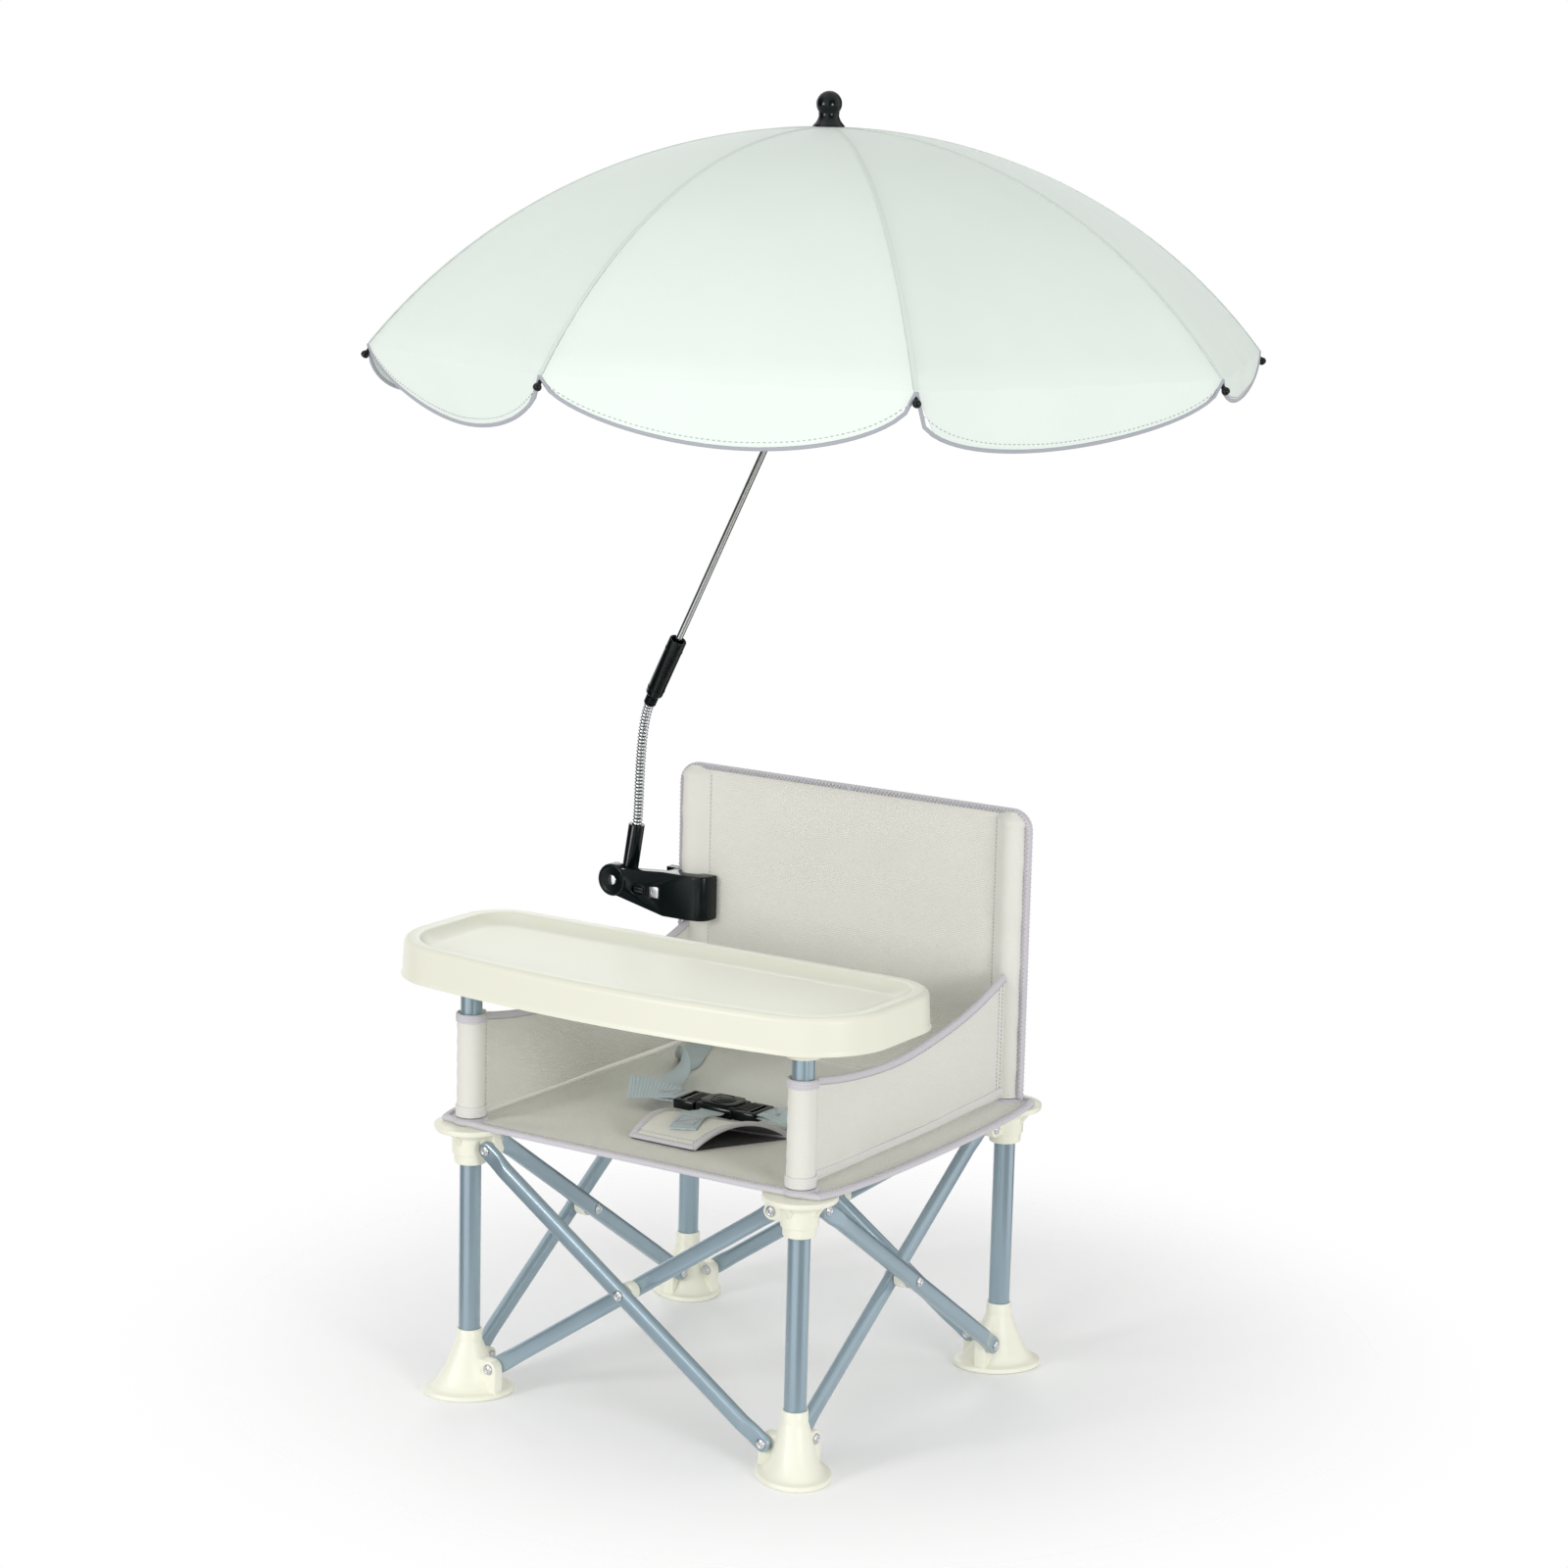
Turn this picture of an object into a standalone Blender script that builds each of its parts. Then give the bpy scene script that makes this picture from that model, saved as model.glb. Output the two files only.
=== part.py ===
"""Folding toddler feeding chair with a tray, a harness and a clamp-on parasol.

Four uprights stand in cream feet. Each side of the square frame is a scissor of two flat-oval bars
between a foot and a hub that slides on the next upright. The hubs carry the fabric seat, sleeves on
the uprights carry the back and the arms, and the tray drops over the two front uprights.
+X is the sitter's left as seen from the front, -Y is the front, and the floor is at Z = 0.
"""

import math

import bmesh
import bpy
from mathutils import Matrix, Vector

for old in list(bpy.data.objects):
    bpy.data.objects.remove(old, do_unlink=True)

# Fits shared by all pieces, in metres.
GAP = 0.0003
SLIDE_GAP = 0.0004
PIN_GAP = 0.0004
OVERRUN = 0.004
ROUND_SIDES = 16
TUBE_SIDES = 16
PIN_SIDES = 8

# Frame: uprights, hubs and feet.
UPRIGHT_SPACING = 0.340
UPRIGHT_RADIUS = 0.0095
UPRIGHT_WALL = 0.0013
FRONT_UPRIGHT_TOP = 0.3845
REAR_UPRIGHT_TOP = 0.5050
HUB_PIVOT_HEIGHT = 0.2260
FOOT_PIVOT_HEIGHT = 0.0255
EAR_REACH = 0.0250
EAR_RADIUS = 0.0075
EAR_THICKNESS = 0.0114
HUB_FLANGE_RADIUS = 0.0320
HUB_FLANGE_THICKNESS = 0.0050
HUB_COLLAR_RADIUS = 0.0140
HUB_BODY_RADIUS = 0.0160
HUB_COLLAR_DROP = 0.0170
HUB_EAR_DROP = 0.0085
HUB_EAR_HEAD = 0.0070
HUB_FLARE = 0.0050
HUB_FLARE_RADIUS = 0.0225
FOOT_LENGTH_RADIUS = 0.0400
FOOT_WIDTH_RADIUS = 0.0320
FOOT_SOLE = 0.0045
FOOT_SOLE_EDGE = 0.0015
FOOT_SOLE_LEDGE = 0.0080
FOOT_HEIGHT = 0.0580
FOOT_SHOULDER_HEIGHT = 0.0450
FOOT_SHOULDER_RADIUS = 0.0122
FOOT_NECK_RADIUS = 0.0111
FOOT_SOCKET_FLOOR = 0.0120
FOOT_WAIST_SHARE = 0.42
FOOT_WAIST_SWELL_SHARE = 0.30

# Scissor bars, their rivets and the spacer between them.
BAR_HEIGHT = 0.0150
BAR_THICKNESS = 0.0100
BAR_WALL = 0.0012
BAR_EDGE_ROUND = 0.0030
BAR_SOLID_END = 0.0180
RIVET_RADIUS = 0.0023
RIVET_HEAD_RADIUS = 0.0043
RIVET_HEAD_HEIGHT = 0.0014
RIVET_CROWN_SHARE = 0.6
SPACER_RADIUS = 0.0080

# Tray.
TRAY_HALF_LENGTH = 0.2400
TRAY_BACK_Y = -0.0500
TRAY_FRONT_Y = -0.2160
TRAY_FRONT_BULGE = 0.0240
TRAY_BACK_CORNER = 0.0480
TRAY_FRONT_CORNER = 0.0600
TRAY_TOP = 0.4080
TRAY_SKIRT = 0.0320
TRAY_RECESS = 0.0080
TRAY_WALL = 0.0025
TRAY_LIP = 0.0060
TRAY_RIM = 0.0140
TRAY_SLOPE = 0.0120
TRAY_DRAFT = 0.0020
TRAY_POD_RADIUS = 0.0150
TRAY_POD_BOTTOM = 0.3610
TRAY_POD_HEADROOM = 0.0010

# Fabric seat, back and arms.
FABRIC = 0.0028
BINDING = 0.0044
SEAT_HALF_WIDTH = 0.1990
SEAT_HALF_DEPTH = 0.1840
SEAT_SIDE_BOW = 0.0080
SEAT_ROUNDING_SHARE = 0.06
SEAT_SAG = 0.0080
SEAT_STEPS = 10
SEAT_BINDING_SHARE = 0.95
SLEEVE_WALL = 0.0018
ARM_FRONT_TOP = 0.3430
ARM_DIP_TOP = 0.3280
ARM_REAR_TOP = 0.3640
ARM_STEPS = 6
BACK_TOP = 0.5110
BACK_CORNER = 0.0100
BACK_THICKNESS = 0.0040
GUARD_CENTRE = (0.0178, -0.0915)
GUARD_HALF_WIDTH = 0.0428
GUARD_HALF_DEPTH = 0.0430
GUARD_SKEW = 0.0215
GUARD_RISE = 0.0135
GUARD_STEPS = 6

# Harness.
STRAP_WIDTH = 0.0250
STRAP_THICKNESS = 0.0014
STRAP_STEPS = 4
STRAP_STRAIGHT = 0.0060
STRAP_TURN = 0.0240
# Across and along, as shares of the distance from the seat's middle to a post, and lifts in strap thicknesses.
WAIST_ROUTE_SHARES = ((0.871, 0.894, 0.0), (0.753, 0.635, 0.0), (0.612, 0.330, 3.0), (0.476, 0.030, 7.0))
# Across, as shares of the way to the guard's middle, and along, as shares of the guard's half depth.
CROTCH_ROUTE_SHARES = ((0.17, 0.48), (0.62, -0.08), (1.0, -0.66))
CROTCH_LIFT = 1.4
BUCKLE_CENTRE = (0.0, -0.030)
BUCKLE_HEIGHT = 0.2560
BUCKLE_LENGTH = 0.0400
BUCKLE_WIDTH = 0.0340
BUCKLE_THICKNESS = 0.0110
BUCKLE_WALL = 0.0020
BUCKLE_ROUND = 0.0030
CLIP_LENGTH = 0.0220
CLIP_PRONG_LENGTH = 0.0140
CLIP_PRONG_WIDTH = 0.0060
CLIP_PRONG_SPREAD = 0.0095
CLIP_SLOT = 0.0040
CLIP_BAR = 0.0040

# Parasol clamp on the rear left upright.
CLAMP_PIVOT_X = -0.2476
CLAMP_FRONT_Y = 0.1460
CLAMP_PLATE = 0.0100
CLAMP_DISC_RADIUS = 0.0155
CLAMP_JAW_WALL = 0.0070
CLAMP_HOOK = 0.0145
CLAMP_SCREW_X = -0.2000
CLAMP_SCREW_HEIGHT = 0.3875
CLAMP_PIVOT_RISE = 0.0055
CLAMP_JAW_REACH = 0.0210
CLAMP_PIVOT_HEIGHT = CLAMP_SCREW_HEIGHT + CLAMP_PIVOT_RISE
CLAMP_JAW_BOTTOM = CLAMP_SCREW_HEIGHT - CLAMP_JAW_REACH
CLAMP_JAW_TOP = CLAMP_SCREW_HEIGHT + CLAMP_JAW_REACH
CLAMP_SCREW_RADIUS = 0.0025
CLAMP_NUT_SIDE = 0.0105
CLAMP_NUT_THICKNESS = 0.0034
CLAMP_SLOT_LENGTH = 0.0150
CLAMP_SLOT_HEIGHT = 0.0085
CLAMP_SLOT_OFFSET = 0.0182
CLAMP_JAW_PLATE = 0.0090
CLAMP_JAW_SPLIT = 0.0060
CLAMP_KNOB_RADIUS = 0.0130
CLAMP_KNOB_DEPTH = 0.0160
CLAMP_KNOB_GRIP = 0.0014
CLAMP_KNOB_LOBES = 8
PIVOT_PIN_RADIUS = 0.0030
PIVOT_PIN_HEAD_RADIUS = 0.0048
PIVOT_PIN_HEAD = 0.0012

# Parasol stem: tilting socket, gooseneck, coupling sleeve and shaft.
SOCKET_LUG_RADIUS = 0.0120
SOCKET_TUBE_RADIUS = 0.0080
SOCKET_FOOT_RISE = 0.0070
SOCKET_TOP_RISE = 0.0525
SOCKET_TOP = (-0.2328, CLAMP_PIVOT_HEIGHT + SOCKET_TOP_RISE)
SOCKET_FOOT = (-0.2400, CLAMP_PIVOT_HEIGHT + SOCKET_FOOT_RISE)
NECK_RADIUS = 0.0050
NECK_RIB = 0.0007
NECK_BORE_RADIUS = 0.0022
NECK_RIBS = 26
NECK_PULL_LOW = 0.0180
NECK_PULL_HIGH = 0.0290
CANOPY_APEX = 1.0980
KNUCKLE_DROP = 0.1630
KNUCKLE = (-0.0050, 0.1100, CANOPY_APEX - KNUCKLE_DROP)
SLEEVE_MOUTH = (-0.1832, 0.1550, 0.6267)
COUPLER_RADIUS = 0.0082
COUPLER_LENGTH = 0.0660
COUPLER_SPIGOT = 0.0100
COUPLER_SPIGOT_RADIUS = 0.0052
COUPLER_BORE_DEPTH = 0.0560
COUPLER_NOTCH = 0.0060
BUSH_WALL = 0.0016
BUSH_LENGTH = 0.0300
BUSH_SETBACK = 0.0100
SHAFT_RADIUS = 0.0033
SHAFT_WALL = 0.0008
KNUCKLE_RADIUS = 0.0070
KNUCKLE_LUG = 0.0070
KNUCKLE_CHEEK = 0.0025
KNUCKLE_PIN_RADIUS = 0.0016
ROD_RADIUS = 0.0030

# Parasol canopy.
CANOPY_RADIUS = 0.3950
CANOPY_DROP = 0.1890
CANOPY_PANELS = 8
CANOPY_TURN = math.radians(222.9)
CANOPY_CLOTH = 0.0012
CANOPY_VALANCE = 0.0500
CANOPY_HOLE = 0.0040
CANOPY_RINGS = 5
CANOPY_ACROSS = 4
CANOPY_FLATTEN_SHARE = 0.075
VALANCE_SHOULDER_SHARE = 0.62
VALANCE_INSET_SHARE = 0.55
RIB_RADIUS = 0.0012
RIB_CLEARANCE = 0.0014
CROWN_RADIUS = 0.0100
CROWN_THICKNESS = 0.0080
CROWN_CLEARANCE = 0.0060
STRETCHER_REACH = 0.1750
STRETCHER_RADIUS = 0.0011
RUNNER_RADIUS = 0.0065
RUNNER_HEIGHT = 0.0260
RUNNER_DROP = 0.1420
RUNNER_BOTTOM = CANOPY_APEX - RUNNER_DROP
TIP_RADIUS = 0.0034
TIP_PLACE_SHARES = (0.4, 0.7, 1.0)
TIP_RADIUS_SHARES = (0.4, 1.0, 0.6)
TIP_LENGTH = 0.0115
FINIAL_BALL_RADIUS = 0.0112
FINIAL_SKIRT_RADIUS = 0.0140
FINIAL_HEIGHT = 0.0310
FINIAL_WAIST_SHARE = 0.72

# Places worked out from the sizes above.
HALF = UPRIGHT_SPACING / 2
UP = Vector((0.0, 0.0, 1.0))
BORE_RADIUS = UPRIGHT_RADIUS + SLIDE_GAP
BORE_RADIUS_DRAWN = BORE_RADIUS / math.cos(math.pi / ROUND_SIDES)
PIN_HOLE_RADIUS = (RIVET_RADIUS + PIN_GAP) / math.cos(math.pi / PIN_SIDES)
BAR_OFFSET = EAR_THICKNESS / 2 + GAP + BAR_THICKNESS / 2
HUB_FLANGE_BOTTOM = HUB_PIVOT_HEIGHT + EAR_RADIUS + HUB_EAR_HEAD
HUB_TOP = HUB_FLANGE_BOTTOM + HUB_FLANGE_THICKNESS - HUB_FLARE / 5
HUB_BOTTOM = HUB_PIVOT_HEIGHT - HUB_COLLAR_DROP
SEAT_UNDERSIDE = HUB_TOP + GAP
SEAT_TOP = SEAT_UNDERSIDE + (FABRIC + BINDING) / 2
PANEL_BOTTOM = SEAT_TOP + FABRIC
SLEEVE_RADIUS = BORE_RADIUS_DRAWN + SLEEVE_WALL
TRAY_BOTTOM = TRAY_TOP - TRAY_SKIRT
TRAY_FLOOR = TRAY_TOP - TRAY_RECESS
CLAMP_GRIP_RADIUS = SLEEVE_RADIUS / math.cos(math.pi / ROUND_SIDES) + GAP
NECK_Y = CLAMP_FRONT_Y + CLAMP_PLATE + GAP + SOCKET_TUBE_RADIUS
KNUCKLE_POINT = Vector(KNUCKLE)
SLEEVE_POINT = Vector(SLEEVE_MOUTH)
SHAFT_DIRECTION = (KNUCKLE_POINT - SLEEVE_POINT).normalized()
LEAN_ACROSS = Vector((SHAFT_DIRECTION.x, SHAFT_DIRECTION.y, 0.0)).normalized()
KNUCKLE_AXIS = UP.cross(LEAN_ACROSS)
CANOPY_CENTRE = Vector((KNUCKLE_POINT.x, KNUCKLE_POINT.y, 0.0))
CANOPY_CURVE = (CANOPY_RADIUS**2 + CANOPY_DROP**2) / (2 * CANOPY_DROP)

# The whole model stands on the origin by the middle of its outline, which the canopy sets.
# All other places in this file count from the middle of the four uprights.
CHAIR_MIDDLE = bpy.data.objects.new("chair_middle", None)
CHAIR_MIDDLE.location = -CANOPY_CENTRE
bpy.context.collection.objects.link(CHAIR_MIDDLE)

CORNERS = {
    "front_left": Vector((-HALF, -HALF, 0.0)),
    "front_right": Vector((HALF, -HALF, 0.0)),
    "rear_right": Vector((HALF, HALF, 0.0)),
    "rear_left": Vector((-HALF, HALF, 0.0)),
}
SIDES = {
    "front": ("front_left", "front_right"),
    "right": ("front_right", "rear_right"),
    "rear": ("rear_right", "rear_left"),
    "left": ("rear_left", "front_left"),
}


def material(name, colour, roughness, metallic=0.0):
    """A plain Principled material for one kind of piece."""
    made = bpy.data.materials.new(name)
    made.use_nodes = True
    shader = made.node_tree.nodes["Principled BSDF"]
    shader.inputs["Base Color"].default_value = (*colour, 1.0)
    shader.inputs["Roughness"].default_value = roughness
    shader.inputs["Metallic"].default_value = metallic
    made.diffuse_color = (*colour, 1.0)
    return made


BLUE_GREY_PAINT = material("blue_grey_paint", (0.27, 0.35, 0.41), 0.38, 0.3)
CREAM_PLASTIC = material("cream_plastic", (0.89, 0.87, 0.74), 0.42)
GREIGE_FABRIC = material("greige_fabric", (0.63, 0.62, 0.57), 0.9)
CANOPY_FABRIC = material("canopy_fabric", (0.81, 0.88, 0.83), 0.8)
WEBBING = material("webbing", (0.52, 0.62, 0.66), 0.85)
BLACK_PLASTIC = material("black_plastic", (0.01, 0.014, 0.014), 0.35)
BRIGHT_STEEL = material("bright_steel", (0.75, 0.76, 0.78), 0.22, 1.0)


def finish(name, mesh_data, paint, smooth=True):
    """Turn a bmesh into a named object with outward faces."""
    bmesh.ops.recalc_face_normals(mesh_data, faces=mesh_data.faces)
    mesh = bpy.data.meshes.new(name)
    mesh_data.to_mesh(mesh)
    mesh_data.free()
    if smooth:
        mesh.shade_smooth()
        mesh.set_sharp_from_angle(angle=math.radians(35))
    made = bpy.data.objects.new(name, mesh)
    bpy.context.collection.objects.link(made)
    made.data.materials.append(paint)
    return made


def guide(made):
    """Mark a cutter or an added lump, which is not a piece of its own."""
    made.hide_render = True
    made.display_type = "WIRE"
    return made


def combine(target, other, operation):
    """Cut or add another solid by a Boolean modifier."""
    guide(other)
    step = target.modifiers.new(operation.lower(), "BOOLEAN")
    step.operation = operation
    step.object = other
    return target


def cut(target, other):
    return combine(target, other, "DIFFERENCE")


def add(target, other):
    return combine(target, other, "UNION")


def ring_skin(mesh_data, rings, closed=False):
    """Join rings of equal point counts by quads, and cap the two ends."""
    count = len(rings[0])
    made = [[mesh_data.verts.new(point) for point in ring] for ring in rings]
    last = len(made) if closed else len(made) - 1
    for index in range(last):
        low = made[index]
        high = made[(index + 1) % len(made)]
        for side in range(count):
            after = (side + 1) % count
            mesh_data.faces.new((low[side], low[after], high[after], high[side]))
    if not closed:
        mesh_data.faces.new(list(reversed(made[0])))
        mesh_data.faces.new(made[-1])


def circle(centre, radius, sides, across=Vector((1.0, 0.0, 0.0)), along=Vector((0.0, 1.0, 0.0))):
    """Points of a circle in the plane of two unit vectors."""
    points = []
    for side in range(sides):
        angle = 2 * math.pi * side / sides
        points.append(centre + across * (radius * math.cos(angle)) + along * (radius * math.sin(angle)))
    return points


def frame_for(direction):
    """Two unit vectors square to a direction."""
    across = direction.cross(UP)
    if across.length < 0.01:
        across = direction.cross(Vector((1.0, 0.0, 0.0)))
    across.normalize()
    return across, direction.cross(across)


def turned(name, profile, paint, base=Vector((0.0, 0.0, 0.0)), axis=UP, sides=ROUND_SIDES, closed=False):
    """A turned piece from (radius, height) points along an axis, solid or with a bore."""
    across, along = frame_for(axis)
    mesh_data = bmesh.new()
    rings = [circle(base + axis * height, radius, sides, across, along) for radius, height in profile]
    ring_skin(mesh_data, rings, closed)
    return finish(name, mesh_data, paint)


def peg(name, start, end, radius, paint=CREAM_PLASTIC, sides=ROUND_SIDES):
    """A plain round bar between two points."""
    axis = (end - start).normalized()
    length = (end - start).length
    return turned(name, [(radius, 0.0), (radius, length)], paint, start, axis, sides)


def plate(name, outline, paint, origin, across, along, depth):
    """A flat outline in the plane of two unit vectors, extruded square to it by a depth."""
    out = across.cross(along) * depth
    mesh_data = bmesh.new()
    low = [origin + across * u + along * v for u, v in outline]
    high = [point + out for point in low]
    ring_skin(mesh_data, [low, high])
    return finish(name, mesh_data, paint)


def block(name, low, high, paint=CREAM_PLASTIC):
    """A box between two corners."""
    size_x = high[0] - low[0]
    size_y = high[1] - low[1]
    outline = [(0.0, 0.0), (size_x, 0.0), (size_x, size_y), (0.0, size_y)]
    across = Vector((1.0, 0.0, 0.0))
    along = Vector((0.0, 1.0, 0.0))
    return plate(name, outline, paint, Vector(low), across, along, high[2] - low[2])


def arc(centre, radius, start, end, steps):
    """Points along an arc, angles in degrees."""
    points = []
    for step in range(steps + 1):
        angle = math.radians(start + (end - start) * step / steps)
        points.append((centre[0] + radius * math.cos(angle), centre[1] + radius * math.sin(angle)))
    return points


def settle(made, pivot, carrier):
    """Put an object's origin on its joint's axis and hang it, with its cutters, on its carrier."""
    made.data.transform(Matrix.Translation(-pivot))
    made.location = pivot
    for step in made.modifiers:
        if step.type == "BOOLEAN" and step.object.parent is None:
            settle(step.object, pivot, carrier)
    hang(made, carrier)
    return made


def hang(made, carrier):
    """Parent an object to an empty without moving it."""
    made.parent = carrier
    made.matrix_parent_inverse = Matrix.Translation(-carrier.location)


def carrier(name, place):
    """An empty at a moving group's joint, hung on the chair's own middle."""
    made = bpy.data.objects.new(name, None)
    made.location = place
    made.parent = CHAIR_MIDDLE
    bpy.context.collection.objects.link(made)
    return made


def outward(corner):
    """The unit vector from the frame's middle to a corner."""
    return Vector((corner.x, corner.y, 0.0)).normalized()


def ear_faces(name):
    """The unit vectors from one corner along the two frame sides that meet there."""
    corner = CORNERS[name]
    return Vector((-math.copysign(1.0, corner.x), 0.0, 0.0)), Vector((0.0, -math.copysign(1.0, corner.y), 0.0))


def ear_pivot(corner, facing, height):
    return corner + facing * EAR_REACH + UP * height


def add_ear(piece, label, corner, facing, outline, pivot_height):
    """Add a pivot ear to a foot or a hub, and drill it."""
    side = facing.cross(UP)
    start = corner + side * (EAR_THICKNESS / 2)
    ear = plate(label + "_ear", outline, CREAM_PLASTIC, start, UP, facing, EAR_THICKNESS)
    add(piece, ear)
    pivot = ear_pivot(corner, facing, pivot_height)
    reach = side * (EAR_THICKNESS / 2 + OVERRUN)
    drill = peg(label + "_drill", pivot - reach, pivot + reach, PIN_HOLE_RADIUS, sides=PIN_SIDES)
    return drill


def make_upright(name, corner):
    """A steel tube from the foot's socket to its top."""
    top = FRONT_UPRIGHT_TOP if "front" in name else REAR_UPRIGHT_TOP
    bottom = FOOT_SOCKET_FLOOR + GAP
    inner = UPRIGHT_RADIUS - UPRIGHT_WALL
    profile = [(UPRIGHT_RADIUS, bottom), (UPRIGHT_RADIUS, top), (inner, top), (inner, bottom)]
    return turned("upright_" + name, profile, BLUE_GREY_PAINT, corner, closed=True)


def oval_stack(name, corner, sections):
    """A stack of oval sections (long radius, wide radius, height), long across the frame's corner."""
    long_way = outward(corner)
    wide_way = UP.cross(long_way)
    mesh_data = bmesh.new()
    rings = []
    for long_radius, wide_radius, height in sections:
        ring = []
        for side in range(ROUND_SIDES):
            angle = 2 * math.pi * side / ROUND_SIDES
            along = long_way * (long_radius * math.cos(angle))
            ring.append(corner + along + wide_way * (wide_radius * math.sin(angle)) + UP * height)
        rings.append(ring)
    ring_skin(mesh_data, rings)
    return finish(name, mesh_data, CREAM_PLASTIC)


def make_foot(name, corner):
    """An oval sole and cone with a socket for the upright and two pivot ears."""
    edge_long = FOOT_LENGTH_RADIUS - FOOT_SOLE_EDGE
    edge_wide = FOOT_WIDTH_RADIUS - FOOT_SOLE_EDGE
    sole = [
        (FOOT_LENGTH_RADIUS, FOOT_WIDTH_RADIUS, 0.0),
        (FOOT_LENGTH_RADIUS, FOOT_WIDTH_RADIUS, FOOT_SOLE - FOOT_SOLE_EDGE),
        (edge_long, edge_wide, FOOT_SOLE),
    ]
    foot = oval_stack("foot_" + name, corner, sole)
    ledge_long = FOOT_LENGTH_RADIUS - FOOT_SOLE_LEDGE
    ledge_wide = FOOT_WIDTH_RADIUS - FOOT_SOLE_LEDGE
    waist = FOOT_SOLE + (FOOT_SHOULDER_HEIGHT - FOOT_SOLE) * FOOT_WAIST_SHARE
    waist_long = FOOT_SHOULDER_RADIUS + (ledge_long - FOOT_SHOULDER_RADIUS) * FOOT_WAIST_SWELL_SHARE
    waist_wide = FOOT_SHOULDER_RADIUS + (ledge_wide - FOOT_SHOULDER_RADIUS) * FOOT_WAIST_SWELL_SHARE
    cone = [
        (ledge_long, ledge_wide, FOOT_SOLE / 2),
        (ledge_long, ledge_wide, FOOT_SOLE + FOOT_SOLE_EDGE),
        (waist_long, waist_wide, waist),
        (FOOT_SHOULDER_RADIUS, FOOT_SHOULDER_RADIUS, FOOT_SHOULDER_HEIGHT),
        (FOOT_NECK_RADIUS, FOOT_NECK_RADIUS, FOOT_SHOULDER_HEIGHT + FOOT_SOLE_EDGE),
        (FOOT_NECK_RADIUS, FOOT_NECK_RADIUS, FOOT_HEIGHT),
    ]
    body = oval_stack("foot_cone_" + name, corner, cone)
    along_x, along_y = ear_faces(name)
    depth = FOOT_HEIGHT * along_x.cross(along_y).z
    near = EAR_THICKNESS / 2 - FOOT_SOLE_EDGE
    start = EAR_REACH - EAR_RADIUS - FOOT_SOLE_EDGE
    far = FOOT_LENGTH_RADIUS + OVERRUN
    rooms = [
        [(start, -far), (far, -far), (far, -near), (start, -near)],
        [(-far, start), (-near, start), (-near, far), (-far, far)],
        [(start, near), (far, near), (far, far), (near, far), (near, start), (start, start)],
    ]
    for index, room in enumerate(rooms):
        cut(body, plate(f"foot_{name}_room_{index}", room, CREAM_PLASTIC, corner.copy(), along_x, along_y, depth))
    add(foot, body)
    drills = []
    for index, facing in enumerate(ear_faces(name)):
        outline = [(FOOT_SOLE / 3, HUB_EAR_DROP)]
        outline.append((FOOT_PIVOT_HEIGHT + EAR_RADIUS, HUB_EAR_DROP))
        outline += arc((FOOT_PIVOT_HEIGHT, EAR_REACH), EAR_RADIUS, 0.0, 90.0, 4)
        outline.append((FOOT_SOLE / 3, EAR_REACH + EAR_RADIUS))
        drills.append(add_ear(foot, f"foot_{name}_{index}", corner, facing, outline, FOOT_PIVOT_HEIGHT))
    for drill in drills:
        cut(foot, drill)
    start = corner + UP * FOOT_SOCKET_FLOOR
    cut(foot, peg(f"foot_{name}_socket", start, corner + UP * (FOOT_HEIGHT + OVERRUN), BORE_RADIUS_DRAWN))
    return foot


def make_hub(name, corner):
    """A sliding hub: a flange under the seat, a collar round the upright and two pivot ears."""
    shoulder = HUB_PIVOT_HEIGHT - HUB_EAR_DROP
    head = HUB_PIVOT_HEIGHT + EAR_RADIUS - HUB_FLARE / 5
    flange = HUB_FLANGE_BOTTOM - HUB_FLARE / 5
    profile = [
        (HUB_COLLAR_RADIUS, HUB_BOTTOM),
        (HUB_COLLAR_RADIUS, shoulder),
        (HUB_BODY_RADIUS, shoulder),
        (HUB_BODY_RADIUS, head),
        (HUB_FLARE_RADIUS, HUB_FLANGE_BOTTOM - HUB_FLARE / 2),
        (HUB_FLANGE_RADIUS, flange),
        (HUB_FLANGE_RADIUS, HUB_TOP),
        (BORE_RADIUS_DRAWN, HUB_TOP),
        (BORE_RADIUS_DRAWN, HUB_BOTTOM),
    ]
    hub = turned("hub_" + name, profile, CREAM_PLASTIC, corner, closed=True)
    drills = []
    ear_root = HUB_BODY_RADIUS - UPRIGHT_WALL
    for index, facing in enumerate(ear_faces(name)):
        outline = [(HUB_PIVOT_HEIGHT - EAR_RADIUS, ear_root)]
        outline += arc((HUB_PIVOT_HEIGHT, EAR_REACH), EAR_RADIUS, 180.0, 90.0, 4)
        outline.append((HUB_TOP - HUB_FLANGE_THICKNESS / 2, EAR_REACH + EAR_RADIUS - HUB_FLARE))
        outline.append((HUB_TOP - HUB_FLANGE_THICKNESS / 2, ear_root))
        drills.append(add_ear(hub, f"hub_{name}_{index}", corner, facing, outline, HUB_PIVOT_HEIGHT))
    for drill in drills:
        cut(hub, drill)
    return hub


def bar_frame(side, which):
    """Foot pivot, hub pivot, direction, outward normal and plane offset of one scissor bar."""
    start, end = SIDES[side]
    first = CORNERS[start]
    second = CORNERS[end]
    run = (second - first).normalized()
    normal = run.cross(UP)
    if which == "outer":
        top = ear_pivot(first, run, HUB_PIVOT_HEIGHT)
        low = ear_pivot(second, -run, FOOT_PIVOT_HEIGHT)
        shift = normal * BAR_OFFSET
    else:
        low = ear_pivot(first, run, FOOT_PIVOT_HEIGHT)
        top = ear_pivot(second, -run, HUB_PIVOT_HEIGHT)
        shift = -normal * BAR_OFFSET
    return low, top, normal, shift


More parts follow.
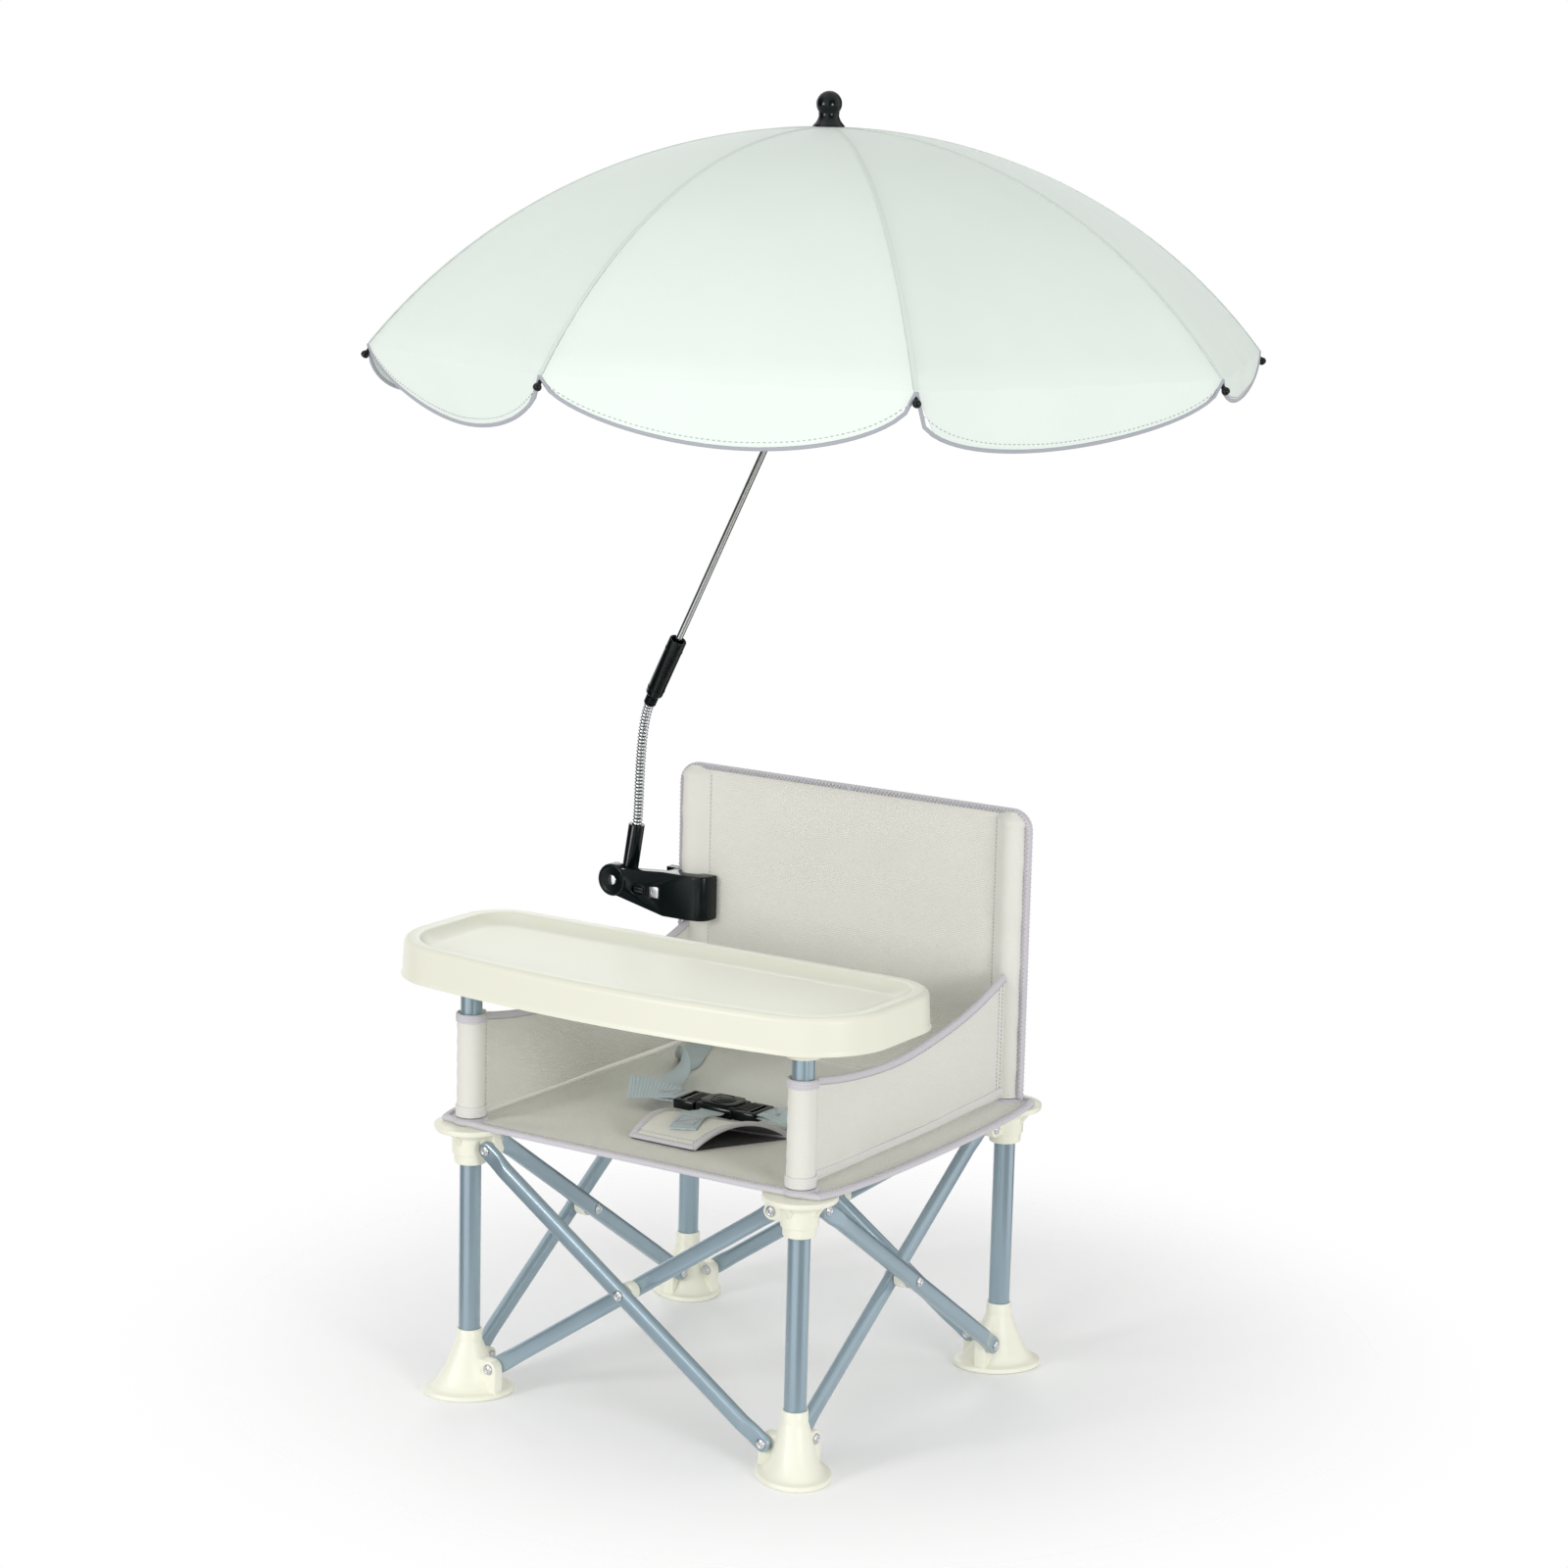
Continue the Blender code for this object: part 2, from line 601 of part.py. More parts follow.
def stadium(length, radius, steps):
    """A long outline with round ends, from the first end's centre at zero."""
    return arc((length, 0.0), radius, -90.0, 90.0, steps) + arc((0.0, 0.0), radius, 90.0, 270.0, steps)


def make_bar(side, which):
    """A flat-oval tube with closed round ends, a rivet set in each and a hole where the bars cross."""
    low, top, normal, shift = bar_frame(side, which)
    direction = (top - low).normalized()
    length = (top - low).length
    upward = normal.cross(direction)
    if upward.z < 0:
        upward = -upward
    out = direction.cross(upward)
    start = low + shift - out * (BAR_THICKNESS / 2)
    label = f"{side}_bar_{which}"
    bar = plate(label, stadium(length, BAR_HEIGHT / 2, 4), BLUE_GREY_PAINT, start, direction, upward, BAR_THICKNESS)
    edge = bar.modifiers.new("rolled_edge", "BEVEL")
    edge.width = BAR_EDGE_ROUND
    edge.segments = 1
    edge.limit_method = "ANGLE"
    edge.angle_limit = math.radians(60)
    inner_start = start + direction * BAR_SOLID_END + out * BAR_WALL
    core_half = BAR_HEIGHT / 2 - BAR_WALL
    inner_length = length - 2 * BAR_SOLID_END
    core = [(0.0, -core_half), (inner_length, -core_half), (inner_length, core_half), (0.0, core_half)]
    cut(bar, plate(label + "_core", core, CREAM_PLASTIC, inner_start, direction, upward, BAR_THICKNESS - 2 * BAR_WALL))
    middle = low + shift + direction * (length / 2)
    reach = out * (BAR_THICKNESS / 2 + OVERRUN)
    cut(bar, peg(label + "_drill", middle - reach, middle + reach, PIN_HOLE_RADIUS, sides=PIN_SIDES))
    away = shift.normalized()
    outside = BAR_OFFSET + BAR_THICKNESS / 2
    for index, pivot in enumerate((low, top)):
        add(bar, rivet(f"{label}_rivet_{index}", pivot, away, -EAR_THICKNESS / 2, outside, 2 * GAP))
    return bar


def rivet(name, centre, axis, low, high, sink=0.0):
    """A rivet with a domed head at each end of its grip; sink sets the outer head into what it is fixed to."""
    crown = RIVET_HEAD_RADIUS * RIVET_CROWN_SHARE
    low_head = low - GAP
    high_head = high + GAP - sink
    profile = [
        (crown, low_head - RIVET_HEAD_HEIGHT),
        (RIVET_HEAD_RADIUS, low_head),
        (RIVET_RADIUS, low_head),
        (RIVET_RADIUS, high_head),
        (RIVET_HEAD_RADIUS, high_head),
        (crown, high_head + RIVET_HEAD_HEIGHT),
    ]
    return turned(name, profile, BRIGHT_STEEL, centre, axis, PIN_SIDES)


def make_crossing_rivet(side):
    """The rivet through both bars of a scissor and their spacer."""
    low, top, normal, shift = bar_frame(side, "outer")
    outside = BAR_OFFSET + BAR_THICKNESS / 2
    return rivet(f"{side}_crossing_rivet", (low + top) / 2, normal, -outside, outside)


def make_spacer(side):
    """The spacer between the two bars of a scissor."""
    low, top, normal, shift = bar_frame(side, "inner")
    centre = (low + top) / 2
    half = EAR_THICKNESS / 2
    profile = [(SPACER_RADIUS, -half), (SPACER_RADIUS, half), (PIN_HOLE_RADIUS, half), (PIN_HOLE_RADIUS, -half)]
    return turned(f"{side}_spacer", profile, CREAM_PLASTIC, centre, normal, PIN_SIDES * 2, closed=True)


def tray_outline(inset, height):
    """One level of the tray's rounded outline, with a bowed front edge."""
    half = TRAY_HALF_LENGTH - inset
    back = TRAY_BACK_Y - inset
    front = TRAY_FRONT_Y + inset
    points = []
    corners = [
        ((half, back), TRAY_BACK_CORNER, 0.0),
        ((-half, back), TRAY_BACK_CORNER, 90.0),
        ((-half, front), TRAY_FRONT_CORNER, 180.0),
        ((half, front), TRAY_FRONT_CORNER, 270.0),
    ]
    for (x, y), full_radius, start in corners:
        radius = full_radius - inset
        centre = (x - math.copysign(radius, x), y + (radius if start >= 180.0 else -radius))
        points += arc(centre, radius, start, start + 90.0, 5)
        if start == 180.0:
            run = 2 * abs(centre[0])
            points += [(centre[0] + run * step / 6, front) for step in range(1, 6)]
    ring = []
    for x, y in points:
        forward = (back - y) / (back - front)
        bulge = TRAY_FRONT_BULGE * (1 - (x / TRAY_HALF_LENGTH) ** 2) * forward
        ring.append(Vector((x, y - bulge, height)))
    return ring


def make_tray():
    """A cream shell with a rim, a sunken floor and two sockets for the front uprights."""
    slope_in = TRAY_RIM + TRAY_SLOPE
    levels = [
        (TRAY_SLOPE + TRAY_RIM, TRAY_FLOOR),
        (TRAY_RIM, TRAY_TOP),
        (TRAY_LIP, TRAY_TOP),
        (TRAY_DRAFT, TRAY_TOP - TRAY_LIP + TRAY_DRAFT),
        (0.0, TRAY_BOTTOM),
        (TRAY_WALL, TRAY_BOTTOM),
        (TRAY_DRAFT + TRAY_WALL, TRAY_TOP - TRAY_LIP),
        (TRAY_LIP + TRAY_WALL, TRAY_TOP - TRAY_WALL),
        (TRAY_RIM - TRAY_WALL / 2, TRAY_TOP - TRAY_WALL),
        (slope_in - TRAY_WALL / 2, TRAY_FLOOR - TRAY_WALL),
    ]
    mesh_data = bmesh.new()
    ring_skin(mesh_data, [tray_outline(inset, height) for inset, height in levels])
    tray = finish("tray", mesh_data, CREAM_PLASTIC)
    floor_middle = TRAY_FLOOR - TRAY_WALL / 2
    socket_top = FRONT_UPRIGHT_TOP + TRAY_POD_HEADROOM
    sockets = []
    for name in ("front_left", "front_right"):
        corner = CORNERS[name]
        low = corner + UP * TRAY_POD_BOTTOM
        add(tray, peg(f"tray_pod_{name}", low, corner + UP * floor_middle, TRAY_POD_RADIUS))
        sockets.append(peg(f"tray_socket_{name}", low - UP * OVERRUN, corner + UP * socket_top, BORE_RADIUS_DRAWN))
    for socket in sockets:
        cut(tray, socket)
    open_side = CORNERS["front_right"]
    low = (open_side.x - TRAY_POD_RADIUS - OVERRUN, open_side.y - BORE_RADIUS, TRAY_POD_BOTTOM - OVERRUN)
    high = (open_side.x, open_side.y + BORE_RADIUS, socket_top)
    cut(tray, block("tray_socket_mouth", low, high))
    return tray


def sheet_solid(name, top_points, bottom_points, paint):
    """A closed sheet from two grids of points with the same rows and columns."""
    mesh_data = bmesh.new()
    tops = [[mesh_data.verts.new(point) for point in row] for row in top_points]
    lows = [[mesh_data.verts.new(point) for point in row] for row in bottom_points]
    rows = len(tops)
    columns = len(tops[0])
    for row in range(rows - 1):
        for column in range(columns - 1):
            a, b = tops[row][column], tops[row][column + 1]
            c, d = tops[row + 1][column + 1], tops[row + 1][column]
            mesh_data.faces.new((a, b, c, d))
            a, b = lows[row][column], lows[row][column + 1]
            c, d = lows[row + 1][column + 1], lows[row + 1][column]
            mesh_data.faces.new((d, c, b, a))
    border = [(0, column) for column in range(columns - 1)]
    border += [(row, columns - 1) for row in range(rows - 1)]
    border += [(rows - 1, column) for column in range(columns - 1, 0, -1)]
    border += [(row, 0) for row in range(rows - 1, 0, -1)]
    for index, (row, column) in enumerate(border):
        next_row, next_column = border[(index + 1) % len(border)]
        a, b = tops[row][column], tops[next_row][next_column]
        c, d = lows[next_row][next_column], lows[row][column]
        mesh_data.faces.new((b, a, d, c))
    return finish(name, mesh_data, paint)


def smooth_step(value):
    value = min(1.0, max(0.0, value))
    return value * value * (3 - 2 * value)


def seat_sag(x, y):
    """How far the seat hangs below its flanges at a point."""
    flat = HALF - HUB_FLANGE_RADIUS - FABRIC
    return SEAT_SAG * smooth_step((flat - abs(x)) / flat) * smooth_step((flat - abs(y)) / flat)


def seat_surface(x, y):
    return SEAT_UNDERSIDE + FABRIC - seat_sag(x, y)


def seat_shares():
    """Grid lines from edge to edge, -1 to 1, with a narrow step at each edge for the binding."""
    inner = range(SEAT_STEPS - 1)
    middle = [SEAT_BINDING_SHARE * (2 * step / (SEAT_STEPS - 2) - 1) for step in inner]
    return [-1.0] + middle + [1.0]


def make_seat():
    """The sling seat: a sagging sheet with a thick bound edge and four holes for the uprights."""
    tops, lows = [], []
    for row, v in enumerate(seat_shares()):
        top_row, low_row = [], []
        for column, u in enumerate(seat_shares()):
            half_width = SEAT_HALF_WIDTH + SEAT_SIDE_BOW * (1 - v * v)
            x = half_width * u * math.sqrt(1 - SEAT_ROUNDING_SHARE * v**8)
            y = SEAT_HALF_DEPTH * v * math.sqrt(1 - SEAT_ROUNDING_SHARE * u**8)
            edge = row in (0, SEAT_STEPS) or column in (0, SEAT_STEPS)
            sag = seat_sag(x, y)
            thickness = BINDING if edge else FABRIC
            top_row.append(Vector((x, y, SEAT_UNDERSIDE + thickness - sag)))
            low_row.append(Vector((x, y, SEAT_UNDERSIDE - sag)))
        tops.append(top_row)
        lows.append(low_row)
    seat = sheet_solid("seat_panel", tops, lows, GREIGE_FABRIC)
    for name, corner in CORNERS.items():
        low = corner + UP * (SEAT_UNDERSIDE - OVERRUN)
        high = corner + UP * (PANEL_BOTTOM + OVERRUN)
        cut(seat, peg(f"seat_hole_{name}", low, high, BORE_RADIUS_DRAWN))
    return seat


def guard_low(x, v):
    """The underside of the guard: it arches from a foot in front of the harness to one at the buckle."""
    y = GUARD_CENTRE[1] + GUARD_HALF_DEPTH * v
    return Vector((x, y, seat_surface(x, y) + 2 * GAP + GUARD_RISE * (1 - v * v)))


def make_guard():
    """The arched fabric tongue that the crotch strap lies on, open at its sides and wider towards the rear."""
    tops, lows = [], []
    for row in range(GUARD_STEPS + 1):
        v = 2 * row / GUARD_STEPS - 1
        top_row, low_row = [], []
        for column in range(GUARD_STEPS + 1):
            u = 2 * column / GUARD_STEPS - 1
            low = guard_low(GUARD_CENTRE[0] + GUARD_HALF_WIDTH * u + GUARD_SKEW * v * (u + 1) / 2, v)
            top_row.append(low + UP * FABRIC)
            low_row.append(low)
        tops.append(top_row)
        lows.append(low_row)
    return sheet_solid("crotch_guard", tops, lows, GREIGE_FABRIC)


def sleeve(label, corner, bottom, top):
    return peg(label, corner + UP * bottom, corner + UP * top, SLEEVE_RADIUS, GREIGE_FABRIC)


def clear_upright(piece, label, corner, top):
    low = corner + UP * (PANEL_BOTTOM - OVERRUN)
    return cut(piece, peg(label, low, corner + UP * top, BORE_RADIUS_DRAWN))


def arm_top(share):
    """The arm's top edge from its front, share 0, to its rear, share 1."""
    line = ARM_FRONT_TOP + (ARM_REAR_TOP - ARM_FRONT_TOP) * share
    middle = (ARM_FRONT_TOP + ARM_REAR_TOP) / 2
    return line - (middle - ARM_DIP_TOP) * 4 * share * (1 - share)


def make_arm(name, x):
    """A side panel with a sleeve on the front upright and a dipping top edge."""
    front = -HALF
    rear = HALF - SLEEVE_RADIUS - GAP
    outline = [(front, PANEL_BOTTOM), (rear, PANEL_BOTTOM)]
    for step in range(ARM_STEPS, -1, -1):
        share = step / ARM_STEPS
        outline.append((front + (rear - front) * share, arm_top(share)))
    start = Vector((x - FABRIC / 2, 0.0, 0.0))
    panel = plate("arm_panel_" + name, outline, GREIGE_FABRIC, start, Vector((0.0, 1.0, 0.0)), UP, FABRIC)
    corner = CORNERS["front_" + name]
    add(panel, sleeve(f"arm_sleeve_{name}", corner, PANEL_BOTTOM, ARM_FRONT_TOP))
    return clear_upright(panel, f"arm_bore_{name}", corner, ARM_FRONT_TOP + OVERRUN)


def make_back():
    """The backrest panel, closed over the rear uprights' tops."""
    outline = [(-HALF, PANEL_BOTTOM), (HALF, PANEL_BOTTOM)]
    outline += arc((HALF - BACK_CORNER, BACK_TOP - BACK_CORNER), BACK_CORNER, 0.0, 90.0, 3)
    outline += arc((BACK_CORNER - HALF, BACK_TOP - BACK_CORNER), BACK_CORNER, 90.0, 180.0, 3)
    start = Vector((0.0, HALF + BACK_THICKNESS / 2, 0.0))
    panel = plate("back_panel", outline, GREIGE_FABRIC, start, Vector((1.0, 0.0, 0.0)), UP, BACK_THICKNESS)
    for name in ("rear_left", "rear_right"):
        add(panel, sleeve(f"back_sleeve_{name}", CORNERS[name], PANEL_BOTTOM, BACK_TOP - FABRIC / 2))
    for name in ("rear_left", "rear_right"):
        clear_upright(panel, f"back_bore_{name}", CORNERS[name], REAR_UPRIGHT_TOP + GAP)
    return panel


def smooth_path(points, steps):
    """A Catmull-Rom curve through points, with some steps between each two."""
    padded = [points[0] * 2 - points[1]] + points + [points[-1] * 2 - points[-2]]
    path = []
    for index in range(1, len(padded) - 2):
        a, b, c, d = padded[index - 1 : index + 3]
        for step in range(steps):
            t = step / steps
            path.append(
                (b * 2 + (c - a) * t + (a * 2 - b * 5 + c * 4 - d) * t**2 + (b * 3 - a - c * 3 + d) * t**3) / 2
            )
    path.append(points[-1])
    return path


def ribbon(name, points, widths):
    """A flat strap along a path, its width turned from the first direction to the last."""
    path = smooth_path([Vector(point) for point in points], STRAP_STEPS)
    mesh_data = bmesh.new()
    rings = []
    last = len(path) - 1
    ends = {0: Vector(points[1]) - Vector(points[0]), last: Vector(points[-1]) - Vector(points[-2])}
    for index, point in enumerate(path):
        tangent = ends.get(index, path[min(index + 1, last)] - path[max(index - 1, 0)]).normalized()
        share = index / last
        wide = widths[0] * (1 - share) + widths[1] * share
        wide = (wide - tangent * wide.dot(tangent)).normalized()
        thick = tangent.cross(wide)
        half_wide = wide * (STRAP_WIDTH / 2)
        half_thick = thick * (STRAP_THICKNESS / 2)
        rings.append(
            [
                point - half_wide - half_thick,
                point + half_wide - half_thick,
                point + half_wide + half_thick,
                point - half_wide + half_thick,
            ]
        )
    ring_skin(mesh_data, rings)
    return finish(name, mesh_data, WEBBING)


def on_seat(x, y, lift):
    """A strap point some way above the seat cloth."""
    return Vector((x, y, seat_surface(x, y) + STRAP_THICKNESS / 2 + 2 * GAP + lift))


def make_straps():
    """The two waist straps and the crotch strap."""
    x, y = BUCKLE_CENTRE
    clip_end = BUCKLE_LENGTH / 2 + CLIP_LENGTH + 2 * GAP
    lift = STRAP_THICKNESS
    waist = {}
    for side in (-1, 1):
        route = [on_seat(side * HALF * across, HALF * along, lift * rise) for across, along, rise in WAIST_ROUTE_SHARES]
        route += [
            Vector((x + side * (clip_end + STRAP_TURN), y, BUCKLE_HEIGHT)),
            Vector((x + side * (clip_end + STRAP_STRAIGHT), y, BUCKLE_HEIGHT)),
            Vector((x + side * clip_end, y, BUCKLE_HEIGHT)),
        ]
        waist[side] = route
    crotch_start = BUCKLE_CENTRE[1] - BUCKLE_WIDTH / 2 - GAP
    crotch = [
        Vector((x, crotch_start, BUCKLE_HEIGHT)),
        Vector((x, crotch_start - STRAP_STRAIGHT, BUCKLE_HEIGHT)),
    ]
    for across, along in CROTCH_ROUTE_SHARES:
        crotch.append(guard_low(x + (GUARD_CENTRE[0] - x) * across, along) + UP * (FABRIC + lift * CROTCH_LIFT))
    along_x = Vector((1.0, 0.0, 0.0))
    along_y = Vector((0.0, 1.0, 0.0))
    return [
        ribbon("waist_strap_left", waist[-1], (along_x, along_y)),
        ribbon("waist_strap_right", waist[1], (-along_x, along_y)),
        ribbon("crotch_strap", crotch, (along_x, along_x)),
    ]


def rounded_box(name, centre, size, rounding, paint):
    low = [centre[axis] - size[axis] / 2 for axis in range(3)]
    high = [centre[axis] + size[axis] / 2 for axis in range(3)]
    made = block(name, low, high, paint)
    edge = made.modifiers.new("moulded_edge", "BEVEL")
    edge.width = rounding
    edge.segments = 2
    return made


def make_buckle():
    """The centre-release buckle: a hollow body and a pronged clip at each side."""
    x, y = BUCKLE_CENTRE
    centre = (x, y, BUCKLE_HEIGHT)
    body = rounded_box("buckle_body", centre, (BUCKLE_LENGTH, BUCKLE_WIDTH, BUCKLE_THICKNESS), BUCKLE_ROUND, BLACK_PLASTIC)
    prong_thickness = BUCKLE_THICKNESS - 2 * BUCKLE_WALL - 2 * SLIDE_GAP
    pocket_half = CLIP_PRONG_SPREAD + CLIP_PRONG_WIDTH / 2 + SLIDE_GAP
    pocket_high = BUCKLE_THICKNESS / 2 - BUCKLE_WALL
    low = (x - BUCKLE_LENGTH / 2 - OVERRUN, y - pocket_half, BUCKLE_HEIGHT - pocket_high)
    high = (x + BUCKLE_LENGTH / 2 + OVERRUN, y + pocket_half, BUCKLE_HEIGHT + pocket_high)
    cut(body, block("buckle_pocket", low, high))
    made = [body]
    for name, way in (("left", -1), ("right", 1)):
        inner = x + way * (BUCKLE_LENGTH / 2 + GAP)
        outer = inner + way * CLIP_LENGTH
        size = (CLIP_LENGTH, BUCKLE_WIDTH, BUCKLE_THICKNESS - BUCKLE_WALL)
        clip = rounded_box(
            "buckle_clip_" + name, ((inner + outer) / 2, y, BUCKLE_HEIGHT), size, BUCKLE_ROUND / 2, BLACK_PLASTIC
        )
        for index, spread in enumerate((-CLIP_PRONG_SPREAD, CLIP_PRONG_SPREAD)):
            tip = inner - way * CLIP_PRONG_LENGTH
            root = inner + way * BUCKLE_ROUND
            prong = block(
                f"clip_prong_{name}_{index}",
                (min(tip, root), y + spread - CLIP_PRONG_WIDTH / 2, BUCKLE_HEIGHT - prong_thickness / 2),
                (max(tip, root), y + spread + CLIP_PRONG_WIDTH / 2, BUCKLE_HEIGHT + prong_thickness / 2),
            )
            add(clip, prong)
        slot_near = outer - way * CLIP_BAR
        slot_far = slot_near - way * CLIP_SLOT
        half_slot = STRAP_WIDTH / 2 + SLIDE_GAP
        slot = block(
            f"clip_slot_{name}",
            (min(slot_near, slot_far), y - half_slot, BUCKLE_HEIGHT - BUCKLE_THICKNESS),
            (max(slot_near, slot_far), y + half_slot, BUCKLE_HEIGHT + BUCKLE_THICKNESS),
        )
        cut(clip, slot)
        made.append(clip)
    return made


def make_clamp_arm():
    """The clamp's front arm: a plate from the tilt pivot to a jaw round the sleeved upright."""
    post = CORNERS["rear_left"]
    disc = (CLAMP_PIVOT_X, CLAMP_PIVOT_HEIGHT)
    jaw_left = post.x - CLAMP_GRIP_RADIUS - CLAMP_JAW_WALL
    outline = arc(disc, CLAMP_DISC_RADIUS, 50.0, 290.0, 14)
    outline += [(jaw_left, CLAMP_JAW_BOTTOM), (post.x, CLAMP_JAW_BOTTOM), (post.x, CLAMP_JAW_TOP)]
    outline += [(jaw_left, CLAMP_JAW_TOP)]
    across = Vector((1.0, 0.0, 0.0))
    start = Vector((0.0, CLAMP_FRONT_Y + CLAMP_PLATE, 0.0))
    arm = plate("clamp_arm", outline, BLACK_PLASTIC, start, across, UP, CLAMP_PLATE)
    hook = post.x + CLAMP_GRIP_RADIUS + CLAMP_HOOK
    split = post.y - CLAMP_JAW_SPLIT / 2
    corner = CLAMP_JAW_WALL + CLAMP_JAW_SPLIT
    jaw = [(jaw_left, CLAMP_FRONT_Y)]
    jaw += arc((hook - corner, CLAMP_FRONT_Y + corner), corner, -90.0, 0.0, 5)
    jaw += [(hook, split), (jaw_left, split)]
    height = CLAMP_JAW_TOP - CLAMP_JAW_BOTTOM
    along = Vector((0.0, 1.0, 0.0))
    add(arm, plate("clamp_front_jaw", jaw, BLACK_PLASTIC, UP * CLAMP_JAW_BOTTOM, across, along, height))
    low = post + UP * (CLAMP_JAW_BOTTOM - OVERRUN)
    cut(arm, peg("clamp_grip_front", low, post + UP * (CLAMP_JAW_TOP + OVERRUN), CLAMP_GRIP_RADIUS))
    slot_middle = CLAMP_SCREW_X - CLAMP_SLOT_OFFSET
    slot_run = CLAMP_SLOT_LENGTH - CLAMP_SLOT_HEIGHT
    slot = stadium(slot_run, CLAMP_SLOT_HEIGHT / 2, 4)
    slot_start = Vector((slot_middle - slot_run / 2, CLAMP_FRONT_Y + CLAMP_PLATE + OVERRUN, CLAMP_SCREW_HEIGHT))
    cut(arm, plate("clamp_slot", slot, BLACK_PLASTIC, slot_start, across, UP, CLAMP_PLATE + 2 * OVERRUN))
    half_nut = CLAMP_NUT_SIDE / 2 + GAP
    pocket_floor = CLAMP_FRONT_Y + CLAMP_NUT_THICKNESS + GAP
    low = (CLAMP_SCREW_X - half_nut, CLAMP_FRONT_Y - OVERRUN, CLAMP_SCREW_HEIGHT - half_nut)
    high = (CLAMP_SCREW_X + half_nut, pocket_floor, CLAMP_SCREW_HEIGHT + half_nut)
    cut(arm, block("clamp_nut_pocket", low, high))
    screw_hole = (CLAMP_SCREW_RADIUS + PIN_GAP) / math.cos(math.pi / PIN_SIDES)
    pin_hole = (PIVOT_PIN_RADIUS + PIN_GAP) / math.cos(math.pi / PIN_SIDES)
    for label, x, z, radius in (
        ("screw", CLAMP_SCREW_X, CLAMP_SCREW_HEIGHT, screw_hole),
        ("pivot", CLAMP_PIVOT_X, CLAMP_PIVOT_HEIGHT, pin_hole),
    ):
        front = Vector((x, CLAMP_FRONT_Y - OVERRUN, z))
        rear = Vector((x, CLAMP_FRONT_Y + CLAMP_PLATE + OVERRUN, z))
        cut(arm, peg("clamp_hole_" + label, front, rear, radius, sides=PIN_SIDES))
    return arm


def make_clamp_jaw():
    """The rear jaw, drawn towards the arm by the screw."""
    post = CORNERS["rear_left"]
    split = post.y + CLAMP_JAW_SPLIT / 2
    rear = post.y + CLAMP_GRIP_RADIUS + CLAMP_JAW_WALL
    left = post.x - CLAMP_GRIP_RADIUS - CLAMP_JAW_WALL
    right = post.x + CLAMP_GRIP_RADIUS + CLAMP_JAW_WALL
    end = CLAMP_SCREW_X - CLAMP_JAW_PLATE
    corner = CLAMP_JAW_WALL
    outline = [(left, split), (right, split)]
    outline += arc((right - corner, rear - corner), corner, 0.0, 90.0, 4)
    outline += [(end, rear), (end, rear - CLAMP_JAW_PLATE), (left, rear - CLAMP_JAW_PLATE)]
    across = Vector((1.0, 0.0, 0.0))
    along = Vector((0.0, 1.0, 0.0))
    bottom = CLAMP_JAW_BOTTOM + CLAMP_JAW_SPLIT / 2
    height = CLAMP_JAW_TOP - CLAMP_JAW_BOTTOM - CLAMP_JAW_SPLIT
    jaw = plate("clamp_jaw", outline, BLACK_PLASTIC, UP * bottom, across, along, height)
    low = post + UP * (bottom - OVERRUN)
    cut(jaw, peg("clamp_grip_rear", low, low + UP * (height + 2 * OVERRUN), CLAMP_GRIP_RADIUS))
    screw_hole = (CLAMP_SCREW_RADIUS + PIN_GAP) / math.cos(math.pi / PIN_SIDES)
    front = Vector((CLAMP_SCREW_X, rear - CLAMP_JAW_PLATE - OVERRUN, CLAMP_SCREW_HEIGHT))
    back = Vector((CLAMP_SCREW_X, rear + OVERRUN, CLAMP_SCREW_HEIGHT))
    return cut(jaw, peg("clamp_jaw_hole", front, back, screw_hole, sides=PIN_SIDES))


def make_clamp_knob():
    """The lobed knob and its screw, one turning piece."""
    rear = CORNERS["rear_left"].y + CLAMP_GRIP_RADIUS + CLAMP_JAW_WALL + GAP
    sides = CLAMP_KNOB_LOBES * 3
    levels = [
        (0.0, CLAMP_SCREW_RADIUS, CLAMP_FRONT_Y + CLAMP_NUT_THICKNESS - rear - CLAMP_NUT_THICKNESS / 2),
        (0.0, CLAMP_SCREW_RADIUS, 0.0),
        (CLAMP_KNOB_GRIP, CLAMP_KNOB_RADIUS - CLAMP_KNOB_GRIP, 0.0),
        (CLAMP_KNOB_GRIP, CLAMP_KNOB_RADIUS, CLAMP_KNOB_GRIP),
        (CLAMP_KNOB_GRIP, CLAMP_KNOB_RADIUS, CLAMP_KNOB_DEPTH - CLAMP_KNOB_GRIP),
        (CLAMP_KNOB_GRIP, CLAMP_KNOB_RADIUS - CLAMP_KNOB_GRIP, CLAMP_KNOB_DEPTH),
    ]
    mesh_data = bmesh.new()
    rings = []
    for lobe, radius, depth in levels:
        ring = []
        for side in range(sides):
            angle = 2 * math.pi * side / sides
            reach = radius - (lobe if side % 3 == 0 else 0.0)
            ring.append(
                Vector(
                    (
                        CLAMP_SCREW_X + reach * math.sin(angle),
                        rear + depth,
                        CLAMP_SCREW_HEIGHT + reach * math.cos(angle),
                    )
                )
            )
        rings.append(ring)
    ring_skin(mesh_data, rings)
    return finish("clamp_knob", mesh_data, BLACK_PLASTIC)


